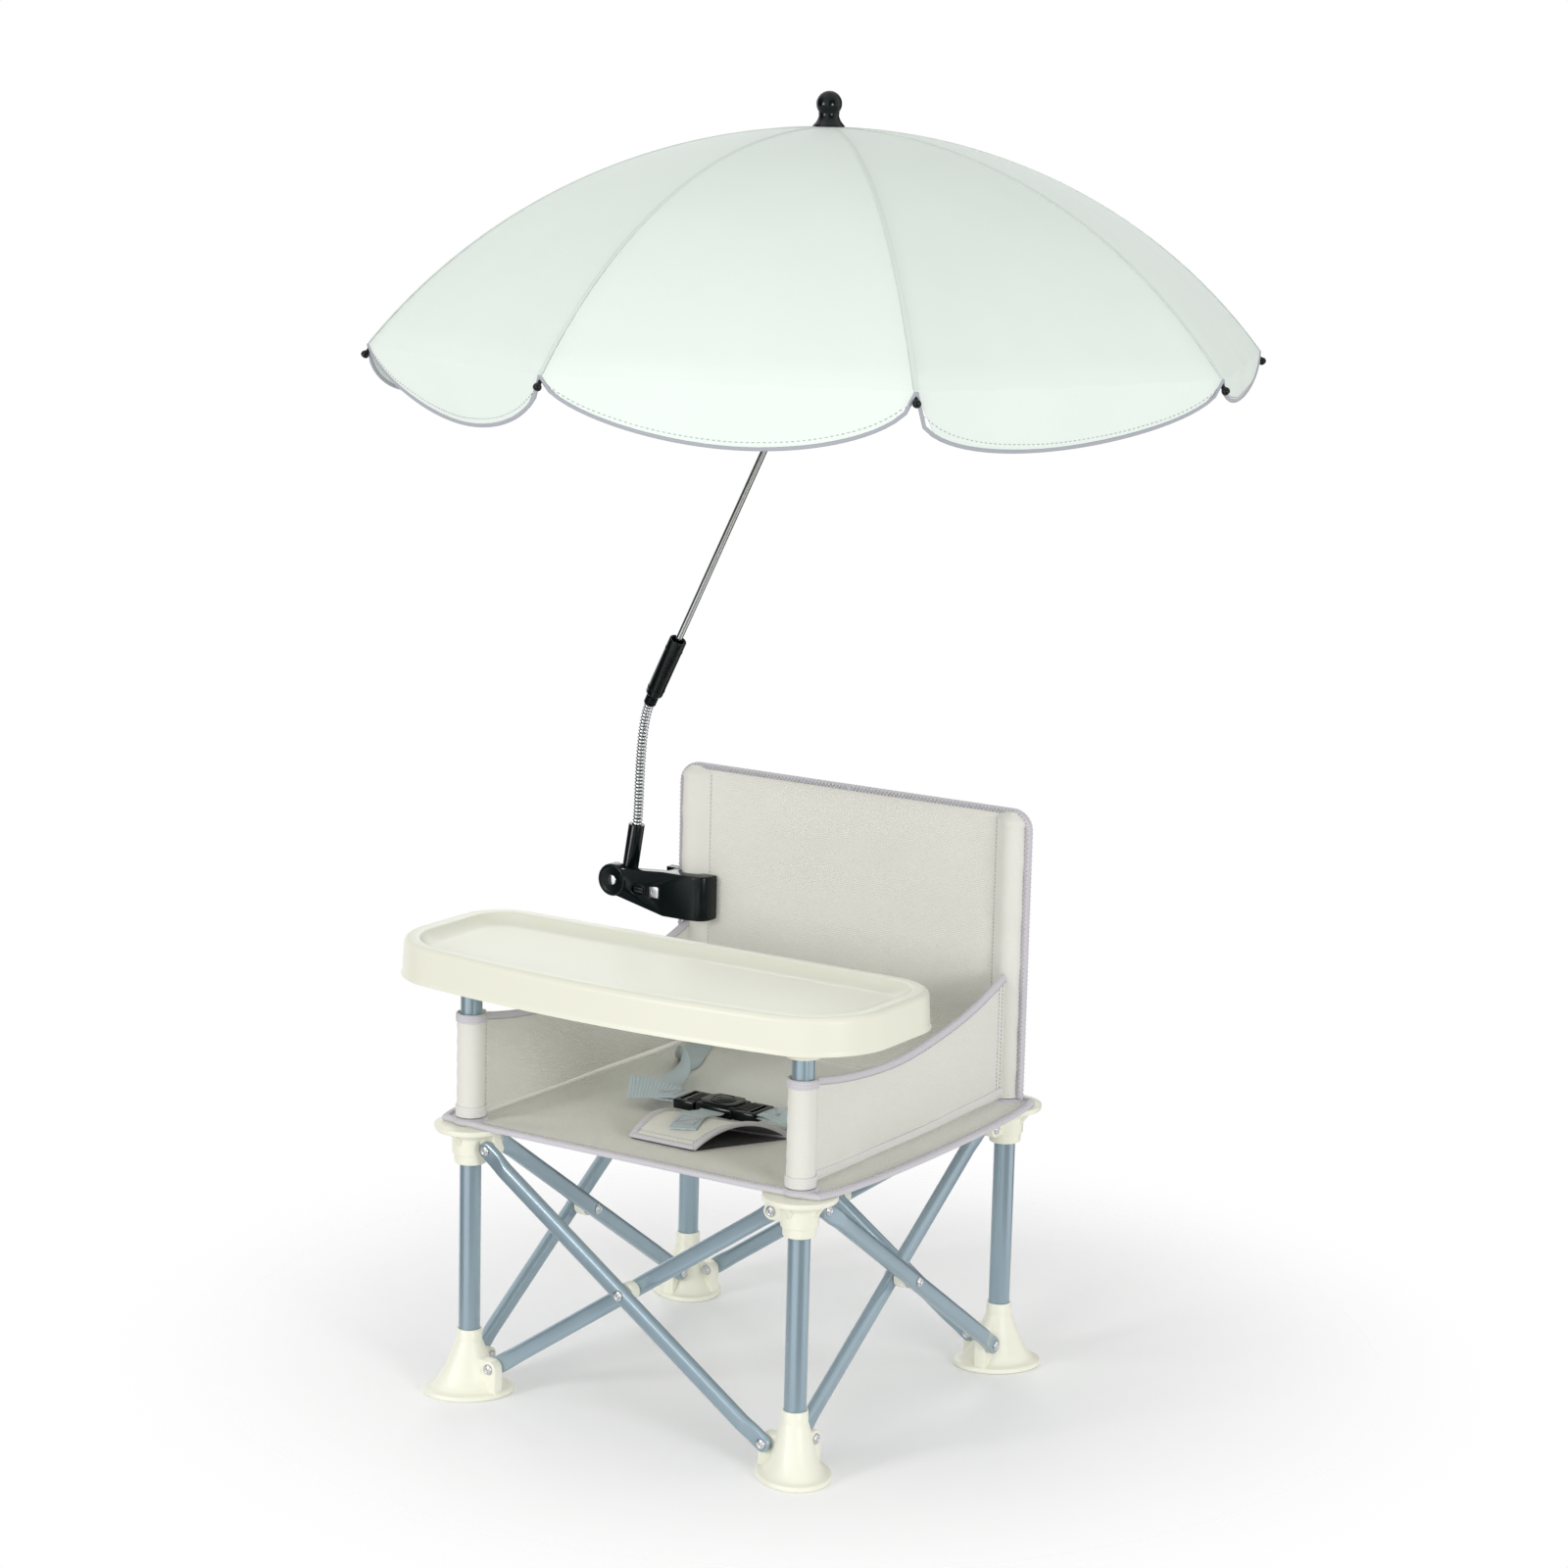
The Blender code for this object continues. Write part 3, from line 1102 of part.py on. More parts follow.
def make_clamp_nut():
    """The bright square nut in the arm's pocket."""
    half = CLAMP_NUT_SIDE / 2
    outline = [(-half, -half), (half, -half), (half, half), (-half, half)]
    across = Vector((1.0, 0.0, 0.0))
    start = Vector((CLAMP_SCREW_X, CLAMP_FRONT_Y + CLAMP_NUT_THICKNESS, CLAMP_SCREW_HEIGHT))
    nut = plate("clamp_nut", outline, BRIGHT_STEEL, start, across, UP, CLAMP_NUT_THICKNESS)
    hole = (CLAMP_SCREW_RADIUS + PIN_GAP) / math.cos(math.pi / PIN_SIDES)
    bore_end = start + Vector((0.0, OVERRUN, 0.0))
    bore_start = bore_end - Vector((0.0, CLAMP_NUT_THICKNESS + 2 * OVERRUN, 0.0))
    return cut(nut, peg("nut_bore", bore_start, bore_end, hole, sides=PIN_SIDES))


def make_pivot_pin():
    """The bright pin that the tilting socket swings on."""
    pivot = Vector((CLAMP_PIVOT_X, CLAMP_FRONT_Y, CLAMP_PIVOT_HEIGHT))
    lug_rear = CLAMP_PLATE + GAP + 2 * SOCKET_TUBE_RADIUS
    crown = PIVOT_PIN_HEAD_RADIUS * RIVET_CROWN_SHARE
    profile = [
        (crown, -GAP - PIVOT_PIN_HEAD),
        (PIVOT_PIN_HEAD_RADIUS, -GAP),
        (PIVOT_PIN_RADIUS, -GAP),
        (PIVOT_PIN_RADIUS, lug_rear + GAP),
        (PIVOT_PIN_HEAD_RADIUS, lug_rear + GAP),
        (crown, lug_rear + GAP + PIVOT_PIN_HEAD),
    ]
    return turned("tilt_pivot_pin", profile, BRIGHT_STEEL, pivot, Vector((0.0, 1.0, 0.0)), PIN_SIDES)


def make_tilt_socket():
    """The tilting socket: a lug on the pivot pin and a tube that holds the gooseneck."""
    lug_front = Vector((CLAMP_PIVOT_X, NECK_Y - SOCKET_TUBE_RADIUS, CLAMP_PIVOT_HEIGHT))
    lug_rear = lug_front + Vector((0.0, 2 * SOCKET_TUBE_RADIUS, 0.0))
    socket = peg("tilt_socket", lug_front, lug_rear, SOCKET_LUG_RADIUS, BLACK_PLASTIC)
    foot = Vector((SOCKET_FOOT[0], NECK_Y, SOCKET_FOOT[1]))
    top = Vector((SOCKET_TOP[0], NECK_Y, SOCKET_TOP[1]))
    add(socket, peg("socket_tube", foot, top, SOCKET_TUBE_RADIUS - GAP, BLACK_PLASTIC, TUBE_SIDES))
    hole = (PIVOT_PIN_RADIUS + PIN_GAP) / math.cos(math.pi / PIN_SIDES)
    reach = Vector((0.0, OVERRUN, 0.0))
    return cut(socket, peg("socket_hole", lug_front - reach, lug_rear + reach, hole, sides=PIN_SIDES))


def coupler_low():
    return SLEEVE_POINT - SHAFT_DIRECTION * (COUPLER_LENGTH + COUPLER_SPIGOT)


def neck_path(steps):
    """Points of the gooseneck from the socket's mouth to the coupling sleeve."""
    foot = Vector((SOCKET_FOOT[0], NECK_Y, SOCKET_FOOT[1]))
    top = Vector((SOCKET_TOP[0], NECK_Y, SOCKET_TOP[1]))
    start_way = (top - foot).normalized()
    start = top + start_way * GAP
    end = coupler_low() - SHAFT_DIRECTION * GAP
    first = start + start_way * NECK_PULL_LOW
    second = end - SHAFT_DIRECTION * NECK_PULL_HIGH
    points = []
    for step in range(steps + 1):
        t = step / steps
        s = 1 - t
        points.append(start * s**3 + first * (3 * s**2 * t) + second * (3 * s * t**2) + end * t**3)
    return points


def path_rings(path, radii, sides):
    """Rings square to a path, one radius for each point."""
    rings = []
    last = len(path) - 1
    across_old = Vector((0.0, 1.0, 0.0))
    for index, point in enumerate(path):
        tangent = (path[min(index + 1, last)] - path[max(index - 1, 0)]).normalized()
        across = (across_old - tangent * across_old.dot(tangent)).normalized()
        rings.append(circle(point, radii[index], sides, across, tangent.cross(across)))
        across_old = across
    return rings


def make_gooseneck():
    """The ribbed bendable neck with its bore and plain ends."""
    steps = 2 * NECK_RIBS + 8
    path = neck_path(steps)
    radii = []
    for index in range(steps + 1):
        plain = index < 4 or index > steps - 4
        radii.append(NECK_RADIUS if plain or index % 2 else NECK_RADIUS - NECK_RIB)
    outer = path_rings(path, radii, 8)
    bore_path = neck_path(8)
    inner = path_rings(bore_path, [NECK_BORE_RADIUS] * 9, 8)
    mesh_data = bmesh.new()
    ring_skin(mesh_data, outer + list(reversed(inner)), closed=True)
    return finish("gooseneck", mesh_data, BRIGHT_STEEL)


def make_coupler():
    """The coupling sleeve: a spigot on the gooseneck, a notched mouth and a bore for the bush."""
    base = coupler_low()
    length = COUPLER_LENGTH + COUPLER_SPIGOT
    shoulder = COUPLER_SPIGOT + COUPLER_RADIUS - COUPLER_SPIGOT_RADIUS
    bore = SHAFT_RADIUS + SLIDE_GAP + BUSH_WALL + 2 * SLIDE_GAP
    floor = length - COUPLER_BORE_DEPTH
    profile = [
        (COUPLER_SPIGOT_RADIUS, 0.0),
        (COUPLER_SPIGOT_RADIUS, COUPLER_SPIGOT),
        (COUPLER_RADIUS, shoulder),
        (COUPLER_RADIUS, length),
    ]
    coupler = turned("coupling_sleeve", profile, BLACK_PLASTIC, base, SHAFT_DIRECTION, TUBE_SIDES)
    cutter_start = base + SHAFT_DIRECTION * floor
    cut(coupler, peg("coupler_bore", cutter_start, SLEEVE_POINT + SHAFT_DIRECTION * OVERRUN, bore, sides=TUBE_SIDES))
    notch_half = COUPLER_NOTCH / 2
    outline = [(-notch_half, 0.0), (0.0, -COUPLER_NOTCH), (notch_half, 0.0), (notch_half, OVERRUN), (-notch_half, OVERRUN)]
    across = SHAFT_DIRECTION.cross(KNUCKLE_AXIS)
    start = SLEEVE_POINT - KNUCKLE_AXIS * (COUPLER_RADIUS + OVERRUN)
    depth = -2 * (COUPLER_RADIUS + OVERRUN)
    cut(coupler, plate("coupler_notch", outline, BLACK_PLASTIC, start, across, SHAFT_DIRECTION, depth))
    return coupler


def make_bush():
    """The friction bush inside the coupling sleeve, which the shaft turns in."""
    outer = SHAFT_RADIUS + SLIDE_GAP + BUSH_WALL
    inner = SHAFT_RADIUS + SLIDE_GAP
    start = SLEEVE_POINT - SHAFT_DIRECTION * (BUSH_SETBACK + BUSH_LENGTH)
    profile = [(outer, 0.0), (outer, BUSH_LENGTH), (inner, BUSH_LENGTH), (inner, 0.0)]
    return turned("sleeve_bush", profile, BLACK_PLASTIC, start, SHAFT_DIRECTION, TUBE_SIDES, closed=True)


def make_shaft():
    """The parasol's lower shaft with its knuckle lug."""
    start = SLEEVE_POINT - SHAFT_DIRECTION * (COUPLER_BORE_DEPTH - GAP)
    end = KNUCKLE_POINT
    shaft = peg("parasol_shaft", start, end, SHAFT_RADIUS, BRIGHT_STEEL, 16)
    half = KNUCKLE_AXIS * (KNUCKLE_LUG / 2)
    add(shaft, peg("knuckle_lug", end - half, end + half, KNUCKLE_RADIUS, BRIGHT_STEEL, 16))
    reach = KNUCKLE_AXIS * (KNUCKLE_LUG / 2 + OVERRUN)
    hole = (KNUCKLE_PIN_RADIUS + PIN_GAP) / math.cos(math.pi / PIN_SIDES)
    return cut(shaft, peg("knuckle_bore", end - reach, end + reach, hole, sides=PIN_SIDES))


def make_upper_rod():
    """The canopy's rod: a fork on the knuckle, the rod and the crown that holds the ribs."""
    fork_bottom = KNUCKLE_POINT.z + KNUCKLE_RADIUS + SLIDE_GAP
    fork_top = fork_bottom + KNUCKLE_CHEEK * 2
    crown_top = CANOPY_APEX - CROWN_CLEARANCE
    rod_top = CANOPY_APEX + CROWN_CLEARANCE
    fork_radius = KNUCKLE_LUG / 2 + KNUCKLE_CHEEK + SLIDE_GAP
    profile = [
        (fork_radius, fork_bottom),
        (fork_radius, fork_top),
        (ROD_RADIUS, fork_top),
        (ROD_RADIUS, crown_top - CROWN_THICKNESS),
        (CROWN_RADIUS, crown_top - CROWN_THICKNESS),
        (CROWN_RADIUS, crown_top),
        (ROD_RADIUS, crown_top),
        (ROD_RADIUS, rod_top),
    ]
    rod = turned("upper_rod", profile, BRIGHT_STEEL, CANOPY_CENTRE, UP, 16)
    for index, way in enumerate((-1, 1)):
        near = KNUCKLE_AXIS * (way * (KNUCKLE_LUG / 2 + SLIDE_GAP))
        far = KNUCKLE_AXIS * (way * (KNUCKLE_LUG / 2 + SLIDE_GAP + KNUCKLE_CHEEK))
        add(rod, peg(f"fork_cheek_{index}", KNUCKLE_POINT + near, KNUCKLE_POINT + far, KNUCKLE_RADIUS, BRIGHT_STEEL, 16))
        half = LEAN_ACROSS * (KNUCKLE_RADIUS / 2)
        low = KNUCKLE_POINT + near - half
        rise = fork_top - KNUCKLE_POINT.z - KNUCKLE_CHEEK
        outline = [(0.0, 0.0), (KNUCKLE_RADIUS, 0.0), (KNUCKLE_RADIUS, rise), (0.0, rise)]
        depth = -way * KNUCKLE_CHEEK
        add(rod, plate(f"fork_leg_{index}", outline, BRIGHT_STEEL, low, LEAN_ACROSS, UP, depth))
    reach = KNUCKLE_AXIS * (KNUCKLE_LUG / 2 + SLIDE_GAP + KNUCKLE_CHEEK + OVERRUN)
    hole = (KNUCKLE_PIN_RADIUS + GAP) / math.cos(math.pi / PIN_SIDES)
    return cut(rod, peg("fork_bore", KNUCKLE_POINT - reach, KNUCKLE_POINT + reach, hole, sides=PIN_SIDES))


def make_knuckle_pin():
    """The rivet through the tilting knuckle."""
    outside = KNUCKLE_LUG / 2 + SLIDE_GAP + KNUCKLE_CHEEK + GAP
    head = KNUCKLE_PIN_RADIUS * 2
    profile = [
        (KNUCKLE_PIN_RADIUS, -outside - KNUCKLE_PIN_RADIUS),
        (head, -outside),
        (KNUCKLE_PIN_RADIUS, -outside),
        (KNUCKLE_PIN_RADIUS, outside),
        (head, outside),
        (KNUCKLE_PIN_RADIUS, outside + KNUCKLE_PIN_RADIUS),
    ]
    return turned("knuckle_pin", profile, BRIGHT_STEEL, KNUCKLE_POINT, KNUCKLE_AXIS, PIN_SIDES)


def ring_radius(ring):
    """Radius of one ring of the canopy's cloth."""
    return CANOPY_HOLE + (CANOPY_RADIUS - CANOPY_HOLE) * ring / CANOPY_RINGS


def dome_height(radius):
    """Height of the canopy's rib line at a radius."""
    return CANOPY_APEX - (CANOPY_CURVE - math.sqrt(CANOPY_CURVE**2 - radius**2))


def rib_angle(index):
    return CANOPY_TURN + 2 * math.pi * index / CANOPY_PANELS


def canopy_point(radius, angle, height):
    return CANOPY_CENTRE + Vector((radius * math.cos(angle), radius * math.sin(angle), height))


def panel_point(ring, panel, column, under):
    """A point of the canopy cloth, on its upper or its under side."""
    share = column / CANOPY_ACROSS
    between = 4 * share * (1 - share)
    angle = rib_angle(panel + share)
    if ring <= CANOPY_RINGS:
        out = ring_radius(ring)
        drop = 0.0
    else:
        out = CANOPY_RADIUS
        level = (VALANCE_SHOULDER_SHARE, 1.0)[ring - CANOPY_RINGS - 1]
        drop = CANOPY_VALANCE * level * between**VALANCE_INSET_SHARE
    reach = out * (1 - CANOPY_FLATTEN_SHARE * between * (out / CANOPY_RADIUS))
    height = dome_height(out) - drop
    if under:
        slope = out / CANOPY_CURVE
        height -= CANOPY_CLOTH * math.sqrt(1 - slope**2) if drop == 0.0 else 0.0
        reach -= CANOPY_CLOTH * (slope if drop == 0.0 else 1.0)
    return canopy_point(reach, angle, height)


def make_canopy():
    """The canopy cloth: panels stretched between the ribs, with a hanging scalloped valance."""
    columns = CANOPY_PANELS * CANOPY_ACROSS
    rings = []
    levels = range(CANOPY_RINGS + 3)
    for under in (False, True):
        order = levels if not under else reversed(levels)
        for ring in order:
            points = []
            for column in range(columns):
                panel, across = divmod(column, CANOPY_ACROSS)
                point = panel_point(ring, panel, across, under)
                if across == 0 and ring > CANOPY_RINGS:
                    point = point - UP * (GAP * (ring - CANOPY_RINGS))
                points.append(point)
            rings.append(points)
    mesh_data = bmesh.new()
    ring_skin(mesh_data, rings, closed=True)
    return finish("canopy", mesh_data, CANOPY_FABRIC)


def rib_line(index):
    """Points of one rib, just under the cloth, from the crown to the tip."""
    lower = CANOPY_CLOTH + RIB_RADIUS + RIB_CLEARANCE
    points = []
    first = CROWN_RADIUS + RIB_RADIUS + GAP
    for radius in [first] + [ring_radius(ring) for ring in range(1, CANOPY_RINGS + 1)]:
        slope = radius / CANOPY_CURVE
        normal_up = math.sqrt(1 - slope**2)
        points.append(canopy_point(radius - lower * slope, rib_angle(index), dome_height(radius) - lower * normal_up))
    return points


def wire_ring(name, radius, height, thickness):
    """A closed round ring about the canopy's axis."""
    mesh_data = bmesh.new()
    rings = []
    for side in range(ROUND_SIDES):
        angle = rib_angle(side * CANOPY_PANELS / ROUND_SIDES)
        way = canopy_point(1.0, angle, 0.0) - CANOPY_CENTRE
        rings.append(circle(canopy_point(radius, angle, height), thickness, 5, way, UP))
    ring_skin(mesh_data, rings, closed=True)
    return finish(name, mesh_data, BRIGHT_STEEL)


def wire(name, path, radii):
    mesh_data = bmesh.new()
    ring_skin(mesh_data, path_rings(path, radii, 5))
    return finish(name, mesh_data, BRIGHT_STEEL)


def make_ribs():
    """Eight curved ribs with ball tips, threaded on a ring at the crown."""
    root = rib_line(0)[0]
    ring_radius = (root - CANOPY_CENTRE - UP * root.z).length
    ribs = wire_ring("ribs", ring_radius, root.z, RIB_RADIUS)
    for index in range(CANOPY_PANELS):
        line = rib_line(index)
        way = (line[-1] - line[-2]).normalized()
        tip = [line[-1] + way * (TIP_LENGTH * share) for share in TIP_PLACE_SHARES]
        radii = [RIB_RADIUS] * len(line) + [TIP_RADIUS * share for share in TIP_RADIUS_SHARES]
        add(ribs, wire(f"rib_{index}", line + tip, radii))
    return ribs


def make_stretchers():
    """Eight straight struts from a ring on the runner to the ribs."""
    lower = CANOPY_CLOTH + 2 * RIB_RADIUS + RIB_CLEARANCE + STRETCHER_RADIUS + GAP * 3
    ring_radius = RUNNER_RADIUS + STRETCHER_RADIUS + GAP
    ring_height = RUNNER_BOTTOM + RUNNER_HEIGHT / 2
    stretchers = wire_ring("stretchers", ring_radius, ring_height, STRETCHER_RADIUS)
    slope = STRETCHER_REACH / CANOPY_CURVE
    end_height = dome_height(STRETCHER_REACH) - lower * math.sqrt(1 - slope**2)
    for index in range(CANOPY_PANELS):
        start = canopy_point(ring_radius, rib_angle(index), ring_height)
        end = canopy_point(STRETCHER_REACH - lower * slope, rib_angle(index), end_height)
        add(stretchers, wire(f"stretcher_{index}", [start, end], [STRETCHER_RADIUS] * 2))
    return stretchers


def make_runner():
    """The sliding runner on the canopy's rod."""
    bore = ROD_RADIUS + SLIDE_GAP
    top = RUNNER_BOTTOM + RUNNER_HEIGHT
    profile = [(RUNNER_RADIUS, RUNNER_BOTTOM), (RUNNER_RADIUS, top), (bore, top), (bore, RUNNER_BOTTOM)]
    return turned("runner", profile, BLACK_PLASTIC, CANOPY_CENTRE, UP, 16, closed=True)


def make_finial():
    """The black finial: a flared skirt and a ball, bored for the rod."""
    base = CANOPY_APEX + GAP * 2
    skirt = FINIAL_HEIGHT - 2 * FINIAL_BALL_RADIUS
    waist = FINIAL_BALL_RADIUS * FINIAL_WAIST_SHARE
    profile = [
        (FINIAL_SKIRT_RADIUS, base),
        (FINIAL_SKIRT_RADIUS, base + GAP * 4),
        (waist, base + skirt),
    ]
    centre = base + FINIAL_HEIGHT - FINIAL_BALL_RADIUS
    for step in range(1, 6):
        angle = math.radians(-44 + 128 * step / 5)
        profile.append((FINIAL_BALL_RADIUS * math.cos(angle), centre + FINIAL_BALL_RADIUS * math.sin(angle)))
    finial = turned("finial", profile, BLACK_PLASTIC, CANOPY_CENTRE, UP, 16)
    bore = (ROD_RADIUS + GAP) / math.cos(math.pi / 16)
    low = CANOPY_CENTRE + UP * (base - OVERRUN)
    high = CANOPY_CENTRE + UP * (CANOPY_APEX + CROWN_CLEARANCE + GAP)
    return cut(finial, peg("finial_bore", low, high, bore, sides=16))


def bar_pivot(side, which):
    """The joint point that carries a bar: its foot pivot, or the crossing."""
    low, top, normal, shift = bar_frame(side, which)
    return low if (side, which) in DRIVEN_AT_FOOT else (low + top) / 2


DRIVEN_AT_FOOT = (("left", "inner"), ("rear", "outer"), ("front", "inner"), ("right", "outer"))


def build_frame():
    """Uprights, feet, hubs and scissors, each hung on its joint."""
    for name, corner in CORNERS.items():
        leg = carrier("leg_" + name, corner + UP * FOOT_PIVOT_HEIGHT)
        settle(make_upright(name, corner), corner, leg)
        settle(make_foot(name, corner), corner, leg)
        slide = carrier("slide_" + name, corner + UP * HUB_PIVOT_HEIGHT)
        settle(make_hub(name, corner), corner + UP * HUB_PIVOT_HEIGHT, slide)
    for side in SIDES:
        for which in ("outer", "inner"):
            pivot = bar_pivot(side, which)
            swing = carrier(f"swing_{side}_{which}", pivot)
            settle(make_bar(side, which), pivot, swing)
            if which == "outer":
                settle(make_crossing_rivet(side), pivot, swing)
        settle(make_spacer(side), pivot, swing)


def build_soft_goods():
    """Seat, arms, back and harness."""
    seat_carrier = carrier("seat_carrier", CORNERS["front_right"] + UP * SEAT_UNDERSIDE)
    for piece in [make_seat(), make_guard(), *make_straps(), *make_buckle()]:
        settle(piece, seat_carrier.location.copy(), seat_carrier)
    for name, x in (("left", -HALF), ("right", HALF)):
        place = CORNERS["rear_" + name]
        settle(make_arm(name, x), place, carrier("arm_carrier_" + name, place))
    place = CORNERS["rear_left"]
    settle(make_back(), place, carrier("back_carrier", place))


def build_parasol():
    """Clamp, stem and canopy."""
    post = CORNERS["rear_left"]
    clamp = carrier("clamp_carrier", post + UP * CLAMP_SCREW_HEIGHT)
    for piece in (make_clamp_arm(), make_clamp_nut(), make_pivot_pin()):
        settle(piece, post + UP * CLAMP_SCREW_HEIGHT, clamp)
    screw = Vector((CLAMP_SCREW_X, CLAMP_FRONT_Y, CLAMP_SCREW_HEIGHT))
    turn = carrier("screw_turn", screw)
    for piece in (make_clamp_jaw(), make_clamp_knob()):
        settle(piece, screw, turn)
    pivot = Vector((CLAMP_PIVOT_X, NECK_Y, CLAMP_PIVOT_HEIGHT))
    tilt = carrier("parasol_tilt", pivot)
    for piece in (make_tilt_socket(), make_gooseneck(), make_coupler()):
        settle(piece, pivot, tilt)
    mouth = carrier("shaft_turn", SLEEVE_POINT)
    for piece in (make_bush(), make_shaft()):
        settle(piece, SLEEVE_POINT, mouth)
    knuckle = carrier("canopy_tilt", KNUCKLE_POINT)
    canopy_pieces = (
        make_upper_rod(),
        make_knuckle_pin(),
        make_runner(),
        make_ribs(),
        make_stretchers(),
        make_canopy(),
        make_finial(),
    )
    for piece in canopy_pieces:
        settle(piece, KNUCKLE_POINT, knuckle)


build_frame()
tray_lift = carrier("tray_lift", CORNERS["front_left"] + UP * TRAY_POD_BOTTOM)
settle(make_tray(), tray_lift.location.copy(), tray_lift)
build_soft_goods()
build_parasol()
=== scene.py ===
"""Toddler feeding chair with a clamp-on parasol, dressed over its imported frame."""
import math

import bmesh
import bpy
from bpy.props import FloatProperty, FloatVectorProperty, IntProperty, PointerProperty
from bpy.types import Operator, Panel, PropertyGroup
from mathutils import Matrix, Vector


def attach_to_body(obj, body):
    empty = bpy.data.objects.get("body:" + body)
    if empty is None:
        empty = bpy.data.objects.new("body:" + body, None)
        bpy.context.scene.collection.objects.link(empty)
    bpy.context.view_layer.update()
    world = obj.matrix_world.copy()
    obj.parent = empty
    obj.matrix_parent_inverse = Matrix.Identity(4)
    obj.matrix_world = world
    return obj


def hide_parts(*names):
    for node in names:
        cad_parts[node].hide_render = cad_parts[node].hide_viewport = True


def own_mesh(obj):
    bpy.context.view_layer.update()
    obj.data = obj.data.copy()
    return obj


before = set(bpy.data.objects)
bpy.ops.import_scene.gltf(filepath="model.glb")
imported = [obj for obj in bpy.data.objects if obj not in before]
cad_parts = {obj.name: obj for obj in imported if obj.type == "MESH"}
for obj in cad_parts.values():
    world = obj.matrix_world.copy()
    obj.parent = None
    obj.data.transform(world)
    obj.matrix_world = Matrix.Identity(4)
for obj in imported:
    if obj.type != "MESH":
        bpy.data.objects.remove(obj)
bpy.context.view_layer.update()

bl_info = {
    "name": "Toddler feeding chair",
    "version": (1, 0, 0),
    "blender": (4, 5, 0),
    "location": "View3D > Sidebar > Feeding Chair",
    "description": "Tubes, plastic, cloth, harness and parasol of a folding feeding chair",
    "category": "Add Mesh",
}

PLACE = Vector((0.005, -0.110, 0.0))
UP = Vector((0.0, 0.0, 1.0))
ALONG_X = Vector((1.0, 0.0, 0.0))
ALONG_Y = Vector((0.0, 1.0, 0.0))
POST = 0.170
CORNERS = {
    "front_left": Vector((-POST, -POST, 0.0)),
    "front_right": Vector((POST, -POST, 0.0)),
    "rear_right": Vector((POST, POST, 0.0)),
    "rear_left": Vector((-POST, POST, 0.0)),
}
SIDES = {
    "front": ("front_left", "front_right"),
    "right": ("front_right", "rear_right"),
    "rear": ("rear_right", "rear_left"),
    "left": ("rear_left", "front_left"),
}
TUBE_RADIUS, TUBE_BORE = 0.0095, 0.0082
TUBE_FOOT, FRONT_TUBE_TOP, REAR_TUBE_TOP = 0.0123, 0.3845, 0.5050
HUB_PIVOT = 0.2260
FOOT_PIVOT = 0.0255
EAR_REACH = 0.0250
EAR_ROUND = 0.0075
EAR_HALF = 0.0057
BAR_OFFSET = 0.0110
BAR_HALF_TALL, BAR_INNER_DEPTH, BAR_END = 0.0075, 0.0050, 0.0074
BAR_FLAT_DEPTH, BAR_FULL_DEPTH = 0.0016, 0.0050
TRAY_HALF, TRAY_BACK, TRAY_FRONT, TRAY_BULGE = 0.240, -0.050, -0.216, 0.024
TRAY_RIM, TRAY_FLOOR, TRAY_SKIRT, TRAY_WALL = 0.4080, 0.4000, 0.3760, 0.0025
SOCKET_BORE, SOCKET_RADIUS, SOCKET_FOOT = 0.0104, 0.0150, 0.3610
SEAT_UNDERSIDE = 0.2448
CLOTH = 0.0028
PANEL_BOTTOM = 0.2512
SLEEVE = 0.0122
SEAM_REACH = 0.0185
SEAM_TOP = 0.250
TAIL_SHARES = ((0.56, -0.66), (0.74, -0.40), (0.89, -0.22), (1.0, -0.15))
BACK_TOP = 0.5110
BACK_SIDE = POST + SLEEVE + 0.0030
BACK_ROUND = 0.0180
PIPING_INSET = 0.0016
ARM_FRONT_TOP, ARM_DIP_TOP, ARM_REAR_TOP = 0.3430, 0.3280, 0.3640
CANOPY_MIDDLE = Vector((-0.005, 0.110, 0.0))
CANOPY_REACH, CANOPY_APEX, CANOPY_CURVE = 0.3950, 1.0980, 0.50726
CANOPY_TURN = math.radians(222.9)
CANOPY_CLOTH = 0.0012
SCALLOP_DEPTH = (1.0, 1.0, 1.0, 0.55, 0.80, 1.0, 1.0, 1.0)
SCALLOP_LOW = (0.60, 0.55, 0.36, 0.5, 0.5, 0.5, 0.5, 0.5)
KNUCKLE = Vector((-0.0050, 0.1100, 0.9350))
SLEEVE_MOUTH = Vector((-0.1832, 0.1550, 0.6267))
SHAFT_WAY = (KNUCKLE - SLEEVE_MOUTH).normalized()
STRAP_HALF = 0.0125
STRAP_THICK = 0.0014
BUCKLE = Vector((0.0, -0.0300, 0.2560))
GUARD_MIDDLE = (0.0178, -0.0915)
GUARD_HALF_WIDTH, GUARD_HALF_DEPTH, GUARD_SKEW, GUARD_RISE = 0.0428, 0.0430, 0.0215, 0.0135
GUARD_BODY = "hub_front_right"
CROTCH_ROUTE = ((0.17, 0.48), (0.62, -0.08), (1.0, -0.66))
CLIP_END = 0.0423
WAIST_ROUTE = ((0.871, 0.894, 0.0), (0.753, 0.635, 0.0), (0.612, 0.330, 3.0), (0.476, 0.030, 7.0))
WAIST_TAIL = (
    (0.0, 0.0, 0.0024), (0.0100, 0.0, 0.0040), (0.0240, -0.0040, 0.0052), (0.0380, -0.0100, 0.0058),
    (0.0480, -0.0150, 0.0058),
)
TAIL_TILT = 0.75
FOLD_DRAW = 0.0962
FOLD_KEEP = {"seat": 0.717, "back": 0.636, "arm": 0.165, "strap_end": 0.2}
SLOT, NUT = Vector((-0.2182, 0.1476, 0.3875)), Vector((-0.2000, 0.1461, 0.3875))
KNOB_SEAT = Vector((-0.2000, 0.1897, 0.3875))
